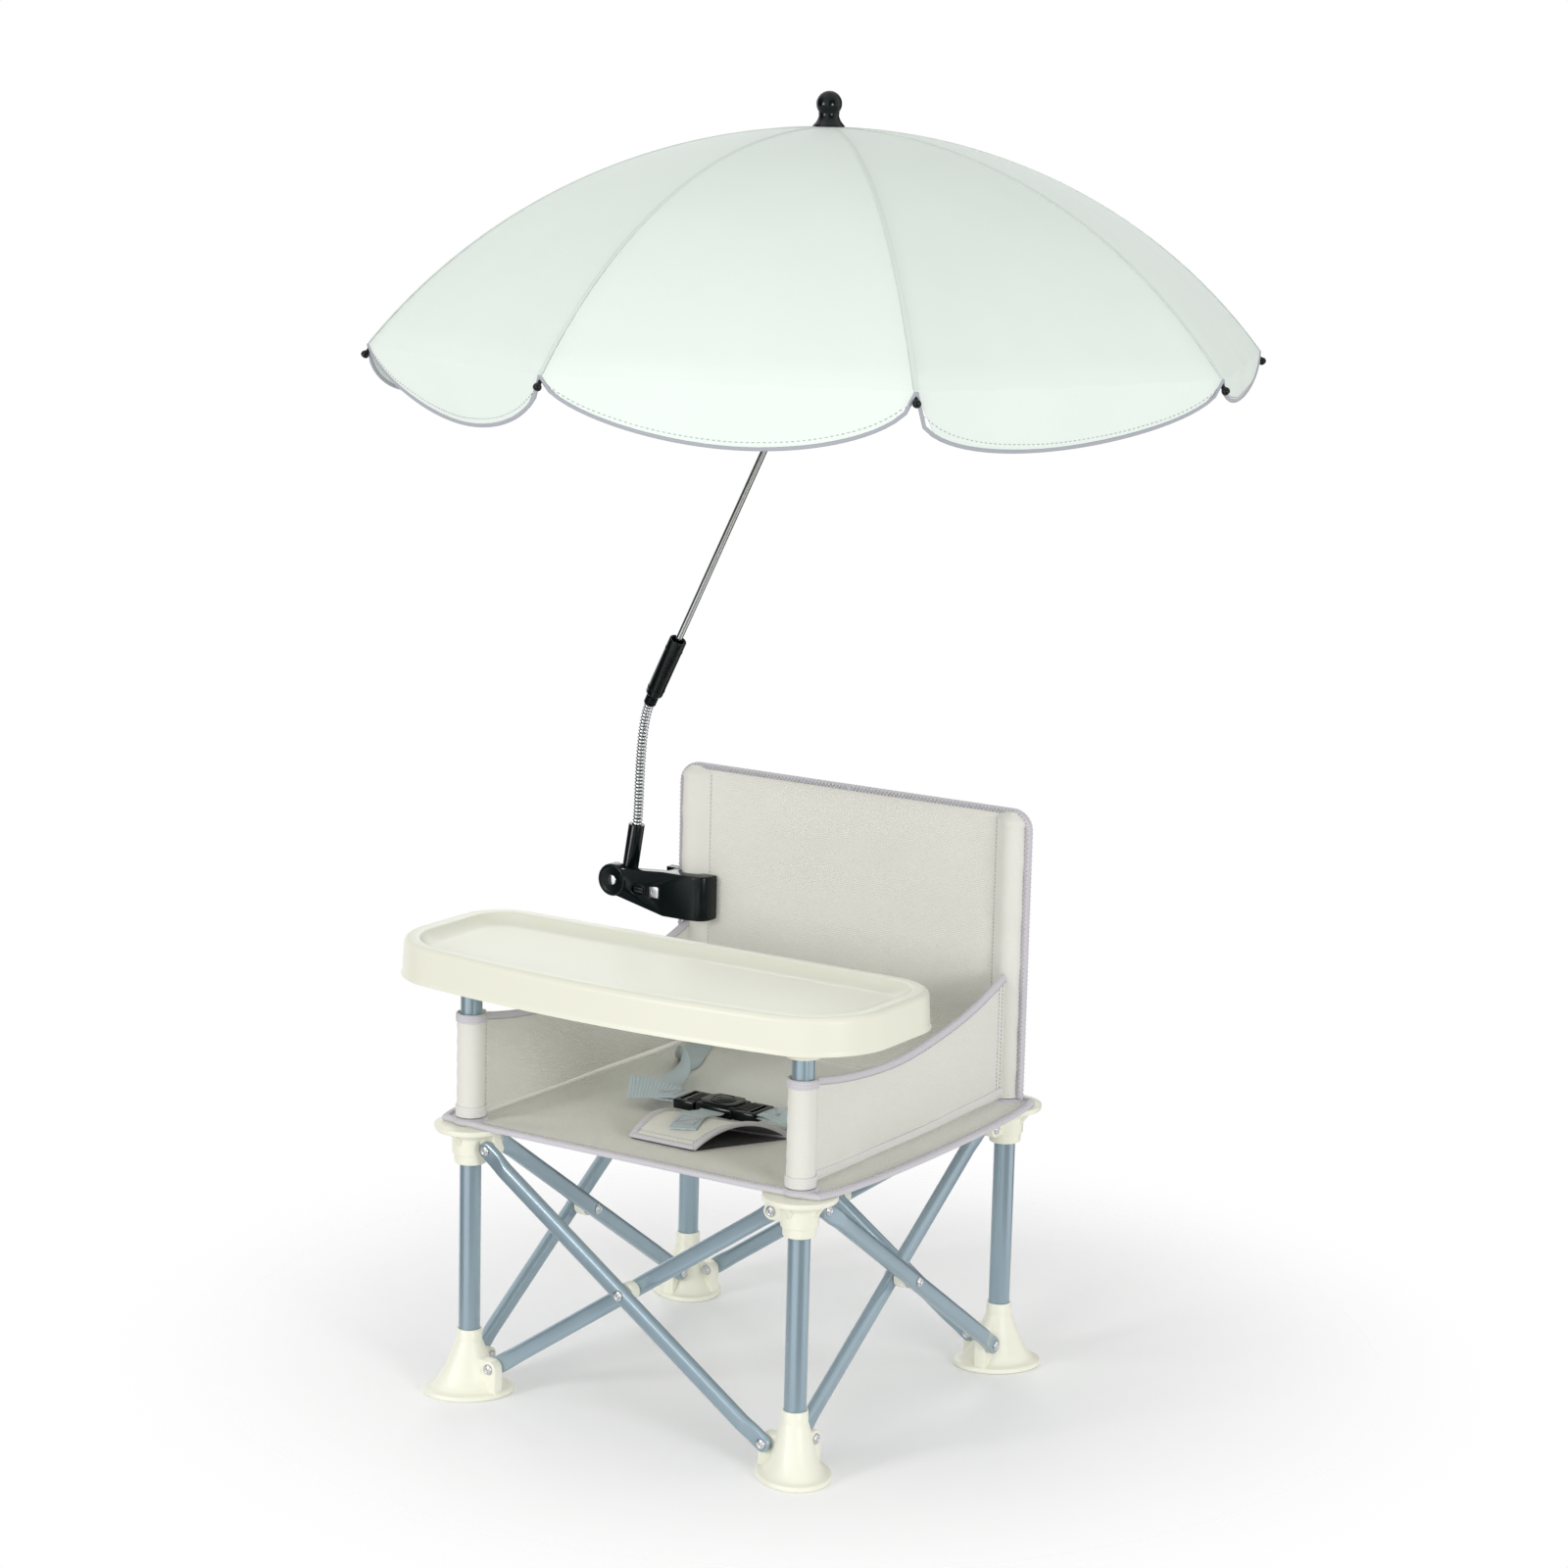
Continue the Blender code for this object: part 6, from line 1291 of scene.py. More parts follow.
def make_arm_sleeve(name, side):
    """The sleeve on a front tube, with a band round its foot and a seam of two rows."""
    corner = CORNERS[f"front_{name}"]
    rings = []
    for step in range(19):
        height = PANEL_BOTTOM + (ARM_FRONT_TOP - 0.001 - PANEL_BOTTOM) * step / 18
        radius = SLEEVE + 0.0003 * math.sin(4.1 * step + side)
        rings.append(teardrop(corner, ALONG_Y, height, radius, SEAM_REACH))
    mesh_data = bmesh.new()
    skin(mesh_data, rings)
    rings = []
    for grow, lift in FOOT_BAND:
        rings.append(teardrop(corner, ALONG_Y, PANEL_BOTTOM + lift, SLEEVE + grow, SEAM_REACH + grow))
    skin(mesh_data, rings, loop=True, paint=1)
    sleeve = make_piece(f"arm_sleeve_{name}", mesh_data, ["sleeve", "band"], 60.0)
    soft_rest(sleeve, f"hub_front_{name}", "arm")
    seam = []
    for shift in (0.0006, 0.0036):
        y = -POST + SEAM_REACH - shift
        for face in (-1, 1):
            x = side * POST + face * (0.0024 + shift * 0.4)
            seam.append([Vector((x, y, PANEL_BOTTOM + 0.084 * step / 24)) for step in range(25)])
    soft_rest(stitches(f"arm_seams_{name}", seam), f"hub_front_{name}", "arm")


def make_arms():
    """The side panels: cloth in two halves, a sleeve on the front tube, a bound and dipping top edge."""
    for name, side in (("left", -1), ("right", 1)):
        make_arm_half(name, side, "front", 0.0, f"hub_front_{name}")
        make_arm_half(name, side, "rear", 0.5, f"hub_rear_{name}")
        make_arm_sleeve(name, side)


# Harness


def on_seat(x, y, lift):
    """The middle of a strap that lies on the seat, or is lifted off it."""
    return Vector((x, y, seat_top(x, y) + STRAP_THICK / 2 + 0.0009 + lift))


def waist_route(side):
    """A waist strap's points, from the seat's rear corner to its clip."""
    points = []
    for across, along, rise in WAIST_ROUTE:
        points.append(on_seat(side * POST * across, POST * along, STRAP_THICK * rise))
    for reach in (0.0240, 0.0060, 0.0):
        points.append(Vector((side * (CLIP_END + reach), BUCKLE.y, BUCKLE.z)))
    return points


def draw_up(made):
    """Gives a strap a mesh of its own."""
    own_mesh(made)


def crossed_box(left, right, near, far):
    """A box of stitches with one diagonal."""
    return ((left, near), (right, near), (right, far), (left, far), (left, near), (right, far))


def twisted(path, first, last, side):
    """A strap's points and the ways of its width, with half a turn over the middle of its run."""
    wides, lifted = [], []
    for index, point in enumerate(path):
        wide = first.lerp(last, index / (len(path) - 1)).normalized()
        tangent = tangent_at(path, index)
        wide = (wide - tangent * wide.dot(tangent)).normalized()
        turn = math.pi * smooth_step((index - 13) / 19)
        wides.append(Matrix.Rotation(turn * side, 3, tangent) @ wide)
        lifted.append(point + UP * (0.0085 * math.sin(turn)))
    return lifted, wides


def make_waist_tail(name, side):
    """The end that the clip holds: a loop round its bar, a loose tail and a box of stitches."""
    body = f"buckle_clip_{name}"
    tail = [Vector((side * (CLIP_END + x), BUCKLE.y + y, BUCKLE.z + z)) for x, y, z in WAIST_TAIL]
    tail = smooth_path(tail, 8)
    tilts = [TAIL_TILT * smooth_step(index / (len(tail) - 1)) for index in range(len(tail))]
    mesh_data = bmesh.new()
    ribbon(mesh_data, tail, [ALONG_Y + UP * tilt for tilt in tilts], STRAP_HALF * 0.97, STRAP_THICK / 2)
    loop = []
    for step in range(13):
        angle = math.radians(-90 + 180 * step / 12)
        reach = CLIP_END - 0.0018 * math.cos(angle)
        loop.append(Vector((side * reach, BUCKLE.y, BUCKLE.z + 0.0011 + 0.0016 * math.sin(angle))))
    ribbon(mesh_data, loop, [ALONG_Y] * len(loop), STRAP_HALF * 0.97, STRAP_THICK / 2)
    piece = add_piece(f"waist_tail_{name}", mesh_data, "webbing", body)
    corners = crossed_box(-0.009, 0.009, 0.019, 0.005)
    box = [Vector((side * (CLIP_END + x), BUCKLE.y + y, BUCKLE.z + 0.0055)) for y, x in corners]
    return piece, attach(stitches(f"waist_stitches_{name}", [box], 0.0030), body)


def make_waist_strap(name, side):
    """A waist strap: a twisted run over the seat, its end at the clip, and the tail that the clip holds."""
    route = waist_route(side)
    points, wides = twisted(smooth_path(route, 12), ALONG_X * -side, ALONG_Y, side)
    joint = 36
    pieces = []
    for label, body, piece in (
        ("run", f"hub_rear_{name}", slice(0, joint + 1)),
        ("end", GUARD_BODY, slice(joint, len(points))),
    ):
        mesh_data = bmesh.new()
        ribbon(mesh_data, points[piece], wides[piece], STRAP_HALF, STRAP_THICK / 2)
        pieces.append(add_piece(f"waist_{label}_{name}", mesh_data, "webbing", body))
    run, end = pieces
    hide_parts(f"waist_strap_{name}")
    draw = Vector((-FOLD_DRAW, FOLD_DRAW, 0.0)) if side < 0 else Vector((0.0, FOLD_DRAW, 0.0))
    if side < 0:
        draw.x -= (1 - FOLD_KEEP["strap_end"]) * (route[3].x + CLIP_END)
    draw_up(run)
    tail, sewn = make_waist_tail(name, side)
    if side > 0:
        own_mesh(end)
    else:
        for made in (end, tail, sewn):
            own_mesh(made)


def make_crotch_strap():
    """The strap from the buckle down to the middle of the guard's front, where it is sewn."""
    start = BUCKLE.y - 0.017 - 0.0003
    route = [Vector((0.0, start, BUCKLE.z)), Vector((0.0, start - 0.006, BUCKLE.z))]
    for across, along in CROTCH_ROUTE:
        route.append(guard_spot(GUARD_MIDDLE[0] * across, along) + UP * (CLOTH + 1.5 * STRAP_THICK))
    path = smooth_path(route, 10)
    mesh_data = bmesh.new()
    ribbon(mesh_data, path, [ALONG_X] * len(path), STRAP_HALF, STRAP_THICK / 2)
    strap = add_piece("crotch_webbing", mesh_data, "webbing", GUARD_BODY, ["crotch_strap"])
    box = []
    for x, along in crossed_box(-0.009, 0.009, -0.50, -0.18):
        box.append(guard_spot(GUARD_MIDDLE[0] * 0.80 + x, along) + UP * (CLOTH + 2.1 * STRAP_THICK))
    attach(stitches("crotch_stitches", [box], 0.0030), GUARD_BODY)


def make_straps():
    """The two waist straps, and the crotch strap that runs to the guard."""
    for name, side in (("left", -1), ("right", 1)):
        make_waist_strap(name, side)
    make_crotch_strap()


def guard_spot(x, v):
    """The guard's underside: an arch from a foot at the seat's front to one at the buckle."""
    y = GUARD_MIDDLE[1] + GUARD_HALF_DEPTH * v
    return Vector((x, y, seat_top(x, y) + 0.0006 + GUARD_RISE * (1 - v * v)))


def guard_point(u, v):
    """A point under the guard, which is open at its sides, wider at the rear and curls a little."""
    curl = 0.0034 * (1 - v * v) * max(0.0, u) ** 3
    return guard_spot(GUARD_MIDDLE[0] + GUARD_HALF_WIDTH * u + GUARD_SKEW * v * (u + 1) / 2, v) + UP * curl


def edge_to_edge(count, reach=1.0):
    """Even shares from -reach to reach."""
    return [reach * (2 * step / count - 1) for step in range(count + 1)]


def make_guard():
    """The arched cloth tongue in front of the buckle, with a black lining and bound edges."""
    layers = (("cloth", 0.0012, 0.0017, "cloth"), ("lining", 0.0, 0.0011, "black_cloth"))
    for label, low, thick, paint in layers:

        def cell(along, across):
            point = guard_point(2 * across - 1, 2 * along - 1)
            return point + UP * (low + thick), point + UP * low, (point.x, point.y)

        made = grid_piece(f"guard_{label}", 28, 32, cell, paint)
        nodes = ["crotch_guard"] if label == "cloth" else []
        attach(made, GUARD_BODY, nodes)

    # A black sheet laid on the seat under the guard's arch, where the inside of the arch shows black.
    def base_cell(along, across):
        x, y = guard_point(0.96 * (2 * across - 1), 0.93 * (2 * along - 1)).xy
        height = seat_top(x, y)
        return Vector((x, y, height + 0.0011)), Vector((x, y, height + 0.0002)), (x, y)

    attach(grid_piece("guard_floor_black", 16, 16, base_cell, "black_cloth"), GUARD_BODY)
    for name, line, across in (
        ("left", [(-0.985, v) for v in edge_to_edge(40)], ALONG_X),
        ("right", [(0.985, v) for v in edge_to_edge(40)], ALONG_X),
        ("front", [(u, -0.97) for u in edge_to_edge(30)], ALONG_Y),
        ("rear", [(u, 0.97) for u in edge_to_edge(30)], ALONG_Y),
    ):
        path = [guard_point(u, v) + UP * 0.0019 for u, v in line]
        square = across if across is ALONG_Y else -across
        ups = [tangent_at(path, index).cross(square).normalized() for index in range(len(path))]
        mesh_data = bmesh.new()
        tape(mesh_data, path, [across] * len(path), ups, 0.0030, 0.0020)
        add_piece(f"guard_binding_{name}", mesh_data, "binding", GUARD_BODY)
    rows = [[guard_point(u, v) + UP * 0.0032 for v in edge_to_edge(40, 0.9)] for u in (-0.86, 0.86)]
    rows.append([guard_point(u, -0.86) + UP * 0.0032 for u in edge_to_edge(30, 0.9)])
    attach(stitches("guard_stitches", rows, 0.0032), GUARD_BODY)


def make_buckle():
    """The centre-release buckle: a moulded body with a round button, and two pronged clips."""
    body = dressed_copy("buckle_shell", "buckle_body", "black", 0.0008, 40.0)
    attach(body, GUARD_BODY, ["buckle_body"])
    mesh_data = bmesh.new()
    corners = ((-0.0185, -0.0080), (-0.0130, -0.0150), (0.0130, -0.0150), (0.0185, -0.0080))
    corners += tuple((-x, -y) for x, y in corners)
    slab(mesh_data, [BUCKLE + Vector((x, y, 0.0050)) for x, y in corners], UP * 0.0021, 0.0016, 4)
    add_piece("buckle_crown", mesh_data, "black", GUARD_BODY)
    top = BUCKLE + UP * 0.0072
    mesh_data = bmesh.new()
    lip = [(0.0118, -0.0010), (0.0118, 0.0004), (0.0108, 0.0010), (0.0100, 0.0010), (0.0094, 0.0002)]
    lathe(mesh_data, lip, top, sides=40)
    turns = [math.radians(angle) for angle in range(0, 91, 10)]
    dome = [(0.0088 * math.cos(turn), 0.0002 + 0.0021 * math.sin(turn)) for turn in turns]
    lathe(mesh_data, [(0.0088, -0.0008)] + dome, top, sides=40)
    add_piece("buckle_button", mesh_data, "black", GUARD_BODY)
    for name, way in (("left", -1), ("right", 1)):
        holder = f"buckle_clip_{name}"
        attach(dressed_copy(f"clip_{name}", holder, "black", 0.0006, 40.0), holder, [holder])
        mesh_data = bmesh.new()
        for index in range(4):
            x = way * (0.0225 + index * 0.0026)
            section = ((-0.0120, 0.0042), (0.0120, 0.0042), (0.0114, 0.0052), (-0.0114, 0.0052))
            outline = [Vector((x, BUCKLE.y + y, BUCKLE.z + z)) for y, z in section]
            slab(mesh_data, outline, ALONG_X * 0.0011, 0.0002, 1)
        add_piece(f"clip_grip_{name}", mesh_data, "black", holder)


# Clamp and neck


def make_clamp_nut():
    """The square nut in the plate's pocket, with a dimple where its screw ends."""
    mesh_data = bmesh.new()
    corners = [NUT + Vector((x, 0.0, z)) * 0.0054 for x, z in ((-1, -1), (1, -1), (1, 1), (-1, 1))]
    slab(mesh_data, corners, ALONG_Y * 0.0032, 0.0008, 3)
    dimple = [(0.0031, 0.0004), (0.0030, -0.0004), (0.0025, -0.0004), (0.0023, 0.0003), (0.0005, 0.0002)]
    lathe(mesh_data, dimple, NUT, ALONG_Y, 28)
    add_piece("square_nut", mesh_data, "rivet", "leg_rear_left", ["clamp_nut"])


# Radius, depth and share of the grip's dips for the hand knob's levels
KNOB_LEVELS = (
    (0.0098, 0.0, 0.0), (0.0112, 0.0004, 0.3), (0.0124, 0.0016, 1.0), (0.0128, 0.0030, 1.0),
    (0.0128, 0.0125, 1.0), (0.0124, 0.0142, 1.0), (0.0112, 0.0155, 0.4), (0.0095, 0.0160, 0.0),
    (0.0080, 0.0157, 0.0), (0.0070, 0.0146, 0.0), (0.0030, 0.0144, 0.0),
)


def make_clamp_knob():
    """The eight-lobed hand knob behind the rear jaw, with its screw."""
    mesh_data = bmesh.new()
    screw = [(0.0024, -0.0420)]
    for turn in range(34):
        screw += [(0.0025, -0.0415 + turn * 0.0012), (0.0021, -0.0409 + turn * 0.0012)]
    lathe(mesh_data, screw + [(0.0025, 0.0)], KNOB_SEAT, ALONG_Y, 20, paint=1)
    rings = []
    for radius, depth, grip in KNOB_LEVELS:
        ring = []
        for step in range(96):
            angle = 2 * math.pi * step / 96
            reach = radius - 0.0012 * grip * (0.5 - 0.5 * math.cos(8 * angle)) ** 2
            ring.append(KNOB_SEAT + Vector((reach * math.sin(angle), depth, reach * math.cos(angle))))
        rings.append(ring)
    skin(mesh_data, rings)
    add_piece("clamp_hand_knob", mesh_data, ["black", "steel"], "clamp_knob", ["clamp_knob"])


def make_clamp_trim():
    """What shows on the plate's face: the slot with its ribs, two raised rims and the disc's boss."""
    mesh_data = bmesh.new()
    around = arc((0.0033, 0.0), 0.0044, -90.0, 90.0, 8) + arc((-0.0033, 0.0), 0.0044, 90.0, 270.0, 8)
    slab(mesh_data, [SLOT + Vector((x, 0.0016, z)) for x, z in around], ALONG_Y * 0.0064, 0.0003, 1)
    # Two ribs inside the slot, in a lighter grey plastic than the plate.
    for shift, half in ((-0.0021, 0.0006), (0.0006, 0.0011)):
        corners = ((-0.0050, -half), (0.0050, -half), (0.0050, half), (-0.0050, half))
        rib = [SLOT + Vector((x, -0.0004, shift + z)) for x, z in corners]
        slab(mesh_data, rib, ALONG_Y * 0.0024, 0.0003, 2, paint=1)
    pocket = Vector((NUT.x, SLOT.y, NUT.z))
    lip = ((0.0, -0.0016), (0.0, -0.0022), (0.0007, -0.0024), (0.0014, -0.0022), (0.0017, -0.0014))
    for centre, wide, tall, power in ((SLOT, 0.0079, 0.0047, 1.0), (pocket, 0.0060, 0.0060, 0.55)):
        rings = []
        for grow, depth in lip:
            rings.append(oval(centre + ALONG_Y * depth, ALONG_X, UP, wide + grow, tall + grow, power, 40))
        skin(mesh_data, rings, caps=False)
    boss = [
        (0.0052, -0.0002), (0.0052, -0.0007), (0.0108, -0.0007), (0.0118, -0.0014), (0.0142, -0.0014),
        (0.0152, -0.0006), (0.0153, 0.0030),
    ]
    lathe(mesh_data, soften(boss, 0.0004, 3), TILT_PIVOT, ALONG_Y, 56)
    add_piece("clamp_trim", mesh_data, ["black", "slot_rib"], "leg_rear_left")


def make_clamp():
    """The clamp: a plate with a slot and a square nut, a jaw, a ribbed knob and a bright pivot pin."""
    plate = dressed_copy("clamp_plate", "clamp_arm", "black", 0.0008, 34.0, 3, (-0.1700, 0.0042))
    attach(plate, "leg_rear_left", ["clamp_arm"])
    jaw = dressed_copy("clamp_rear_jaw", "clamp_jaw", "black", 0.0010, 34.0, 3)
    attach(jaw, "clamp_jaw", ["clamp_jaw"])
    make_clamp_nut()
    make_clamp_knob()
    make_clamp_trim()
    turns = [math.radians(angle) for angle in range(90, -1, -15)]
    head = [(0.0048 * math.cos(turn), -0.0003 - 0.0013 * math.sin(turn)) for turn in turns]
    stem = [(0.0030, -0.0003), (0.0030, 0.0267), (0.0048, 0.0267), (0.0045, 0.0276), (0.0030, 0.0280)]
    mesh_data = bmesh.new()
    lathe(mesh_data, head + stem, TILT_PIVOT, ALONG_Y, 28)
    add_piece("pivot_rivet", mesh_data, "steel", "leg_rear_left", ["tilt_pivot_pin"])


def neck_path(steps):
    """The neck's bend, from the socket's mouth to the foot of the coupling sleeve."""
    foot, top = Vector((-0.2400, 0.1643, 0.4000)), Vector((-0.2328, 0.1643, 0.4455))
    start_way = (top - foot).normalized()
    start = top + start_way * 0.0003
    end = SLEEVE_MOUTH - SHAFT_WAY * 0.0763
    first, second = start + start_way * 0.018, end - SHAFT_WAY * 0.029
    points = []
    for step in range(steps + 1):
        t = step / steps
        s = 1 - t
        points.append(start * s**3 + first * (3 * s**2 * t) + second * (3 * s * t**2) + end * t**3)
    return points


def make_neck():
    """The bendable neck: a socket, a coiled steel hose and the coupling sleeve with its ferrule."""
    body = "parasol_neck"
    socket = dressed_copy("neck_socket", "tilt_socket", "black", 0.0008, 34.0)
    attach(socket, body, ["tilt_socket"])
    path = neck_path(80)
    # The core under the coils is black plastic, as painted shade in the gaps between the turns.
    core = run_tree("neck_shade_core", [path], "rod", "black", Radius=0.0036, Sides=18.0)
    attach(core, body, ["gooseneck"])
    turns = float(sizes().neck_coils)
    coils = run_tree("neck_coils", [path[1:-1]], "coil", "steel", Count=turns, Radius=0.0050, Wire=0.00135)
    attach(coils, body)
    sleeve = dressed_copy("coupling_grip", "coupling_sleeve", "black", 0.0005, 34.0)
    attach(sleeve, body, ["coupling_sleeve"])
    base = SLEEVE_MOUTH - SHAFT_WAY * 0.076
    mesh_data = bmesh.new()
    for places, bore, radius, sides in (
        ((0.0012, 0.0040, 0.0068), 0.0050, 0.0059, 32),
        ((0.0180, 0.0640), 0.0080, 0.0085, 40),
    ):
        for place in places:
            section = tube_section(bore, radius, place, place + 0.0016)
            collar(mesh_data, section, 0.0003, 2, base, SHAFT_WAY, sides)
    add_piece("coupling_rings", mesh_data, "black", body)
    start = SLEEVE_MOUTH - SHAFT_WAY * 0.040
    mesh_data = bmesh.new()
    section = [(0.0053, 0.0), (0.0053, 0.030), (0.0037, 0.030), (0.0037, 0.0)]
    collar(mesh_data, section, 0.0003, 2, start, SHAFT_WAY, 32)
    add_piece("friction_bush", mesh_data, "black", "parasol_bush", ["sleeve_bush"])


# Parasol


RIB_DEPTH = CANOPY_CLOTH + 0.0012 + 0.0014
RIB_START = 0.0115
STRUT_DEPTH = CANOPY_CLOTH + 0.0024 + 0.0014 + 0.0011 + 0.0009
STRUT_START, STRUT_END, STRUT_FOOT = 0.0079, 0.175, 0.969
VALANCE_LEVELS = (0.06, 0.18, 0.34, 0.52, 0.70, 0.86, 1.0)
RIB_TIP = (
    (0.0005, -0.0070), (0.0017, -0.0066), (0.0019, -0.0010), (0.0021, 0.0016), (0.0017, 0.0040),
    (0.0020, 0.0054), (0.0031, 0.0066), (0.0036, 0.0082), (0.0034, 0.0098), (0.0024, 0.0110),
    (0.0008, 0.0115),
)
RUNNER = (
    (0.0035, 0.9562), (0.0060, 0.9562), (0.0063, 0.9580), (0.0052, 0.9600), (0.0052, 0.9650),
    (0.0065, 0.9662), (0.0065, 0.9720), (0.0054, 0.9735), (0.0052, 0.9800), (0.0046, 0.9818),
    (0.0035, 0.9818),
)
# Radius and height over the foot of the finial's flared skirt, and the ball over it
FINIAL_BASE, FINIAL_BALL = 1.0986, 0.0112
FINIAL_SKIRT = (
    (0.0002, 0.0), (0.0136, 0.0), (0.0140, 0.0006), (0.0137, 0.0016), (0.0118, 0.0036), (0.0100, 0.0062),
    (0.0088, 0.0092),
)


def canopy_spot(radius, angle, height):
    return CANOPY_MIDDLE + Vector((radius * math.cos(angle), radius * math.sin(angle), height))


def dome_height(radius):
    return CANOPY_APEX - (CANOPY_CURVE - math.sqrt(CANOPY_CURVE**2 - radius**2))


def rib_angle(index):
    return CANOPY_TURN + 2 * math.pi * index / 8


def cloth_point(panel, share, out, level, depth=0.0):
    """A point of the canopy cloth: out from the middle, level down the valance, depth under its face."""
    between = 4 * share * (1 - share)
    angle = rib_angle(panel + share)
    warped = share ** (math.log(0.5) / math.log(SCALLOP_LOW[panel % 8]))
    hanging = (4 * warped * (1 - warped)) ** 0.50
    drop = 0.050 * SCALLOP_DEPTH[panel % 8] * level * hanging
    reach = out * (1 - 0.075 * between * (out / CANOPY_REACH))
    height = dome_height(out) - drop
    pull = 0.0011 * math.sin(panel * 2.1 + 30 * share) * between * (out / CANOPY_REACH) ** 3
    slope = out / CANOPY_CURVE
    if level == 0.0:
        height += pull - depth * math.sqrt(1 - slope**2)
        reach -= depth * slope
    else:
        flare = 0.0022 * math.sin(math.pi * level) * math.sin(14 * share + panel)
        reach += flare * between - depth
        height += pull * (1 - level)
    return canopy_spot(reach, angle, height)


def make_canopy_cloth():
    """The eight panels drawn between the ribs with their scalloped valance; also returns the cloth's area."""
    levels = [(0.004 + 0.391 * step / 26, 0.0) for step in range(27)]
    levels += [(CANOPY_REACH, level) for level in VALANCE_LEVELS]
    rings = []
    for depth, order in ((0.0, levels), (CANOPY_CLOTH, list(reversed(levels)))):
        for out, level in order:
            ring = []
            for column in range(8 * 18):
                panel, part = divmod(column, 18)
                ring.append(cloth_point(panel, part / 18, out, level, depth) + UP * 0.0004)
            rings.append(ring)
    mesh_data = bmesh.new()
    skin(mesh_data, rings, loop=True)
    layer = mesh_data.loops.layers.uv["cloth"]
    for face in mesh_data.faces:
        for corner in face.loops:
            spot = corner.vert.co - CANOPY_MIDDLE
            corner[layer].uv = (spot.x, spot.y + (1.1 - spot.z) * 0.4)
    bmesh.ops.remove_doubles(mesh_data, verts=mesh_data.verts, dist=0.00001)
    area = sum(face.calc_area() for face in mesh_data.faces) / 2
    cloth = make_piece("canopy_cloth", mesh_data, "canopy", 50.0)
    return attach(cloth, "parasol_canopy", ["canopy"]), round(area, 4)


def make_canopy():
    """The canopy: cloth, seams over the ribs, piping along the scallops and a row of stitches."""
    cloth, area = make_canopy_cloth()
    mesh_data = bmesh.new()
    for index in range(8):
        angle = rib_angle(index)
        tangent = Vector((-math.sin(angle), math.cos(angle), 0.0))
        path = [cloth_point(index, 0.0, 0.013 + 0.3815 * step / 33, 0.0) + UP * 0.0006 for step in range(34)]
        ribbon(mesh_data, path, [tangent] * len(path), 0.0019, 0.0004)
    seams = add_piece("canopy_seams", mesh_data, "seam", "parasol_canopy")
    edges, rows = [], []
    middle = CANOPY_CLOTH / 2
    for panel in range(8):
        edges.append([cloth_point(panel, step / 40, CANOPY_REACH, 1.0, middle) for step in range(41)])
        row = []
        for step in range(1, 40):
            level = 1.0 - 0.10 / max(0.35, (4 * step / 40 * (1 - step / 40)) ** 0.55)
            row.append(cloth_point(panel, step / 40, CANOPY_REACH, level, -0.0002))
        rows.append(row)
    hem = run_tree("canopy_hem", edges, "rod", "hem", Radius=sizes().hem, Sides=10.0)
    attach(hem, "parasol_canopy")
    sewn = attach(stitches("canopy_hem_stitches", rows, 0.0045), "parasol_canopy")


def under_cloth(radius, angle, depth):
    """A point at a depth under the canopy's dome, square to it."""
    slope = radius / CANOPY_CURVE
    drop = math.sqrt(1 - slope**2)
    return canopy_spot(radius - depth * slope, angle, dome_height(radius) - depth * drop)


def rib_line(index, steps=26):
    points = []
    for step in range(steps + 1):
        radius = RIB_START + (CANOPY_REACH - RIB_START) * step / steps
        points.append(under_cloth(radius, rib_angle(index), RIB_DEPTH))
    return points


def wire_ring(radius, height):
    """The ring that the ribs or the stretchers hang on."""
    return [canopy_spot(radius, 2 * math.pi * step / 24, height) for step in range(25)]


def make_ribs():
    """Steel ribs with black ball tips, stretchers with their clips, and the rings that hold them."""
    lines = [rib_line(index) for index in range(8)]
    ring = wire_ring(RIB_START, lines[0][0].z)
    ribs = run_tree("parasol_ribs", lines + [ring], "rod", "steel", Radius=sizes().rib, Sides=10.0)
    attach(ribs, "parasol_canopy", ["ribs"])
    mesh_data = bmesh.new()
    for line in lines:
        lathe(mesh_data, RIB_TIP, line[-1], (line[-1] - line[-2]).normalized(), 18)
    add_piece("rib_tips", mesh_data, "black", "parasol_canopy")
    struts = []
    mesh_data = bmesh.new()
    for index in range(8):
        angle = rib_angle(index)
        start = canopy_spot(STRUT_START, angle, STRUT_FOOT)
        end = under_cloth(STRUT_END, angle, STRUT_DEPTH)
        struts.append([start.lerp(end, step / 6) for step in range(7)])
        eye = [(0.0006, -0.006), (0.0018, -0.005), (0.0019, 0.001), (0.0012, 0.0025)]
        lathe(mesh_data, eye, end, (end - start).normalized(), 14)
        heading = Vector((math.cos(angle), math.sin(angle), -0.34)).normalized()
        clip = [(0.0010, -0.0050), (0.0020, -0.0044), (0.0020, 0.0044), (0.0010, 0.0050)]
        lathe(mesh_data, clip, lines[index][11], heading, 14)
    runs = struts + [wire_ring(STRUT_START, STRUT_FOOT)]
    made = run_tree("parasol_stretchers", runs, "rod", "steel", Radius=0.0011, Sides=8.0)
    attach(made, "parasol_canopy", ["stretchers"])
    add_piece("stretcher_clips", mesh_data, "steel", "parasol_canopy")


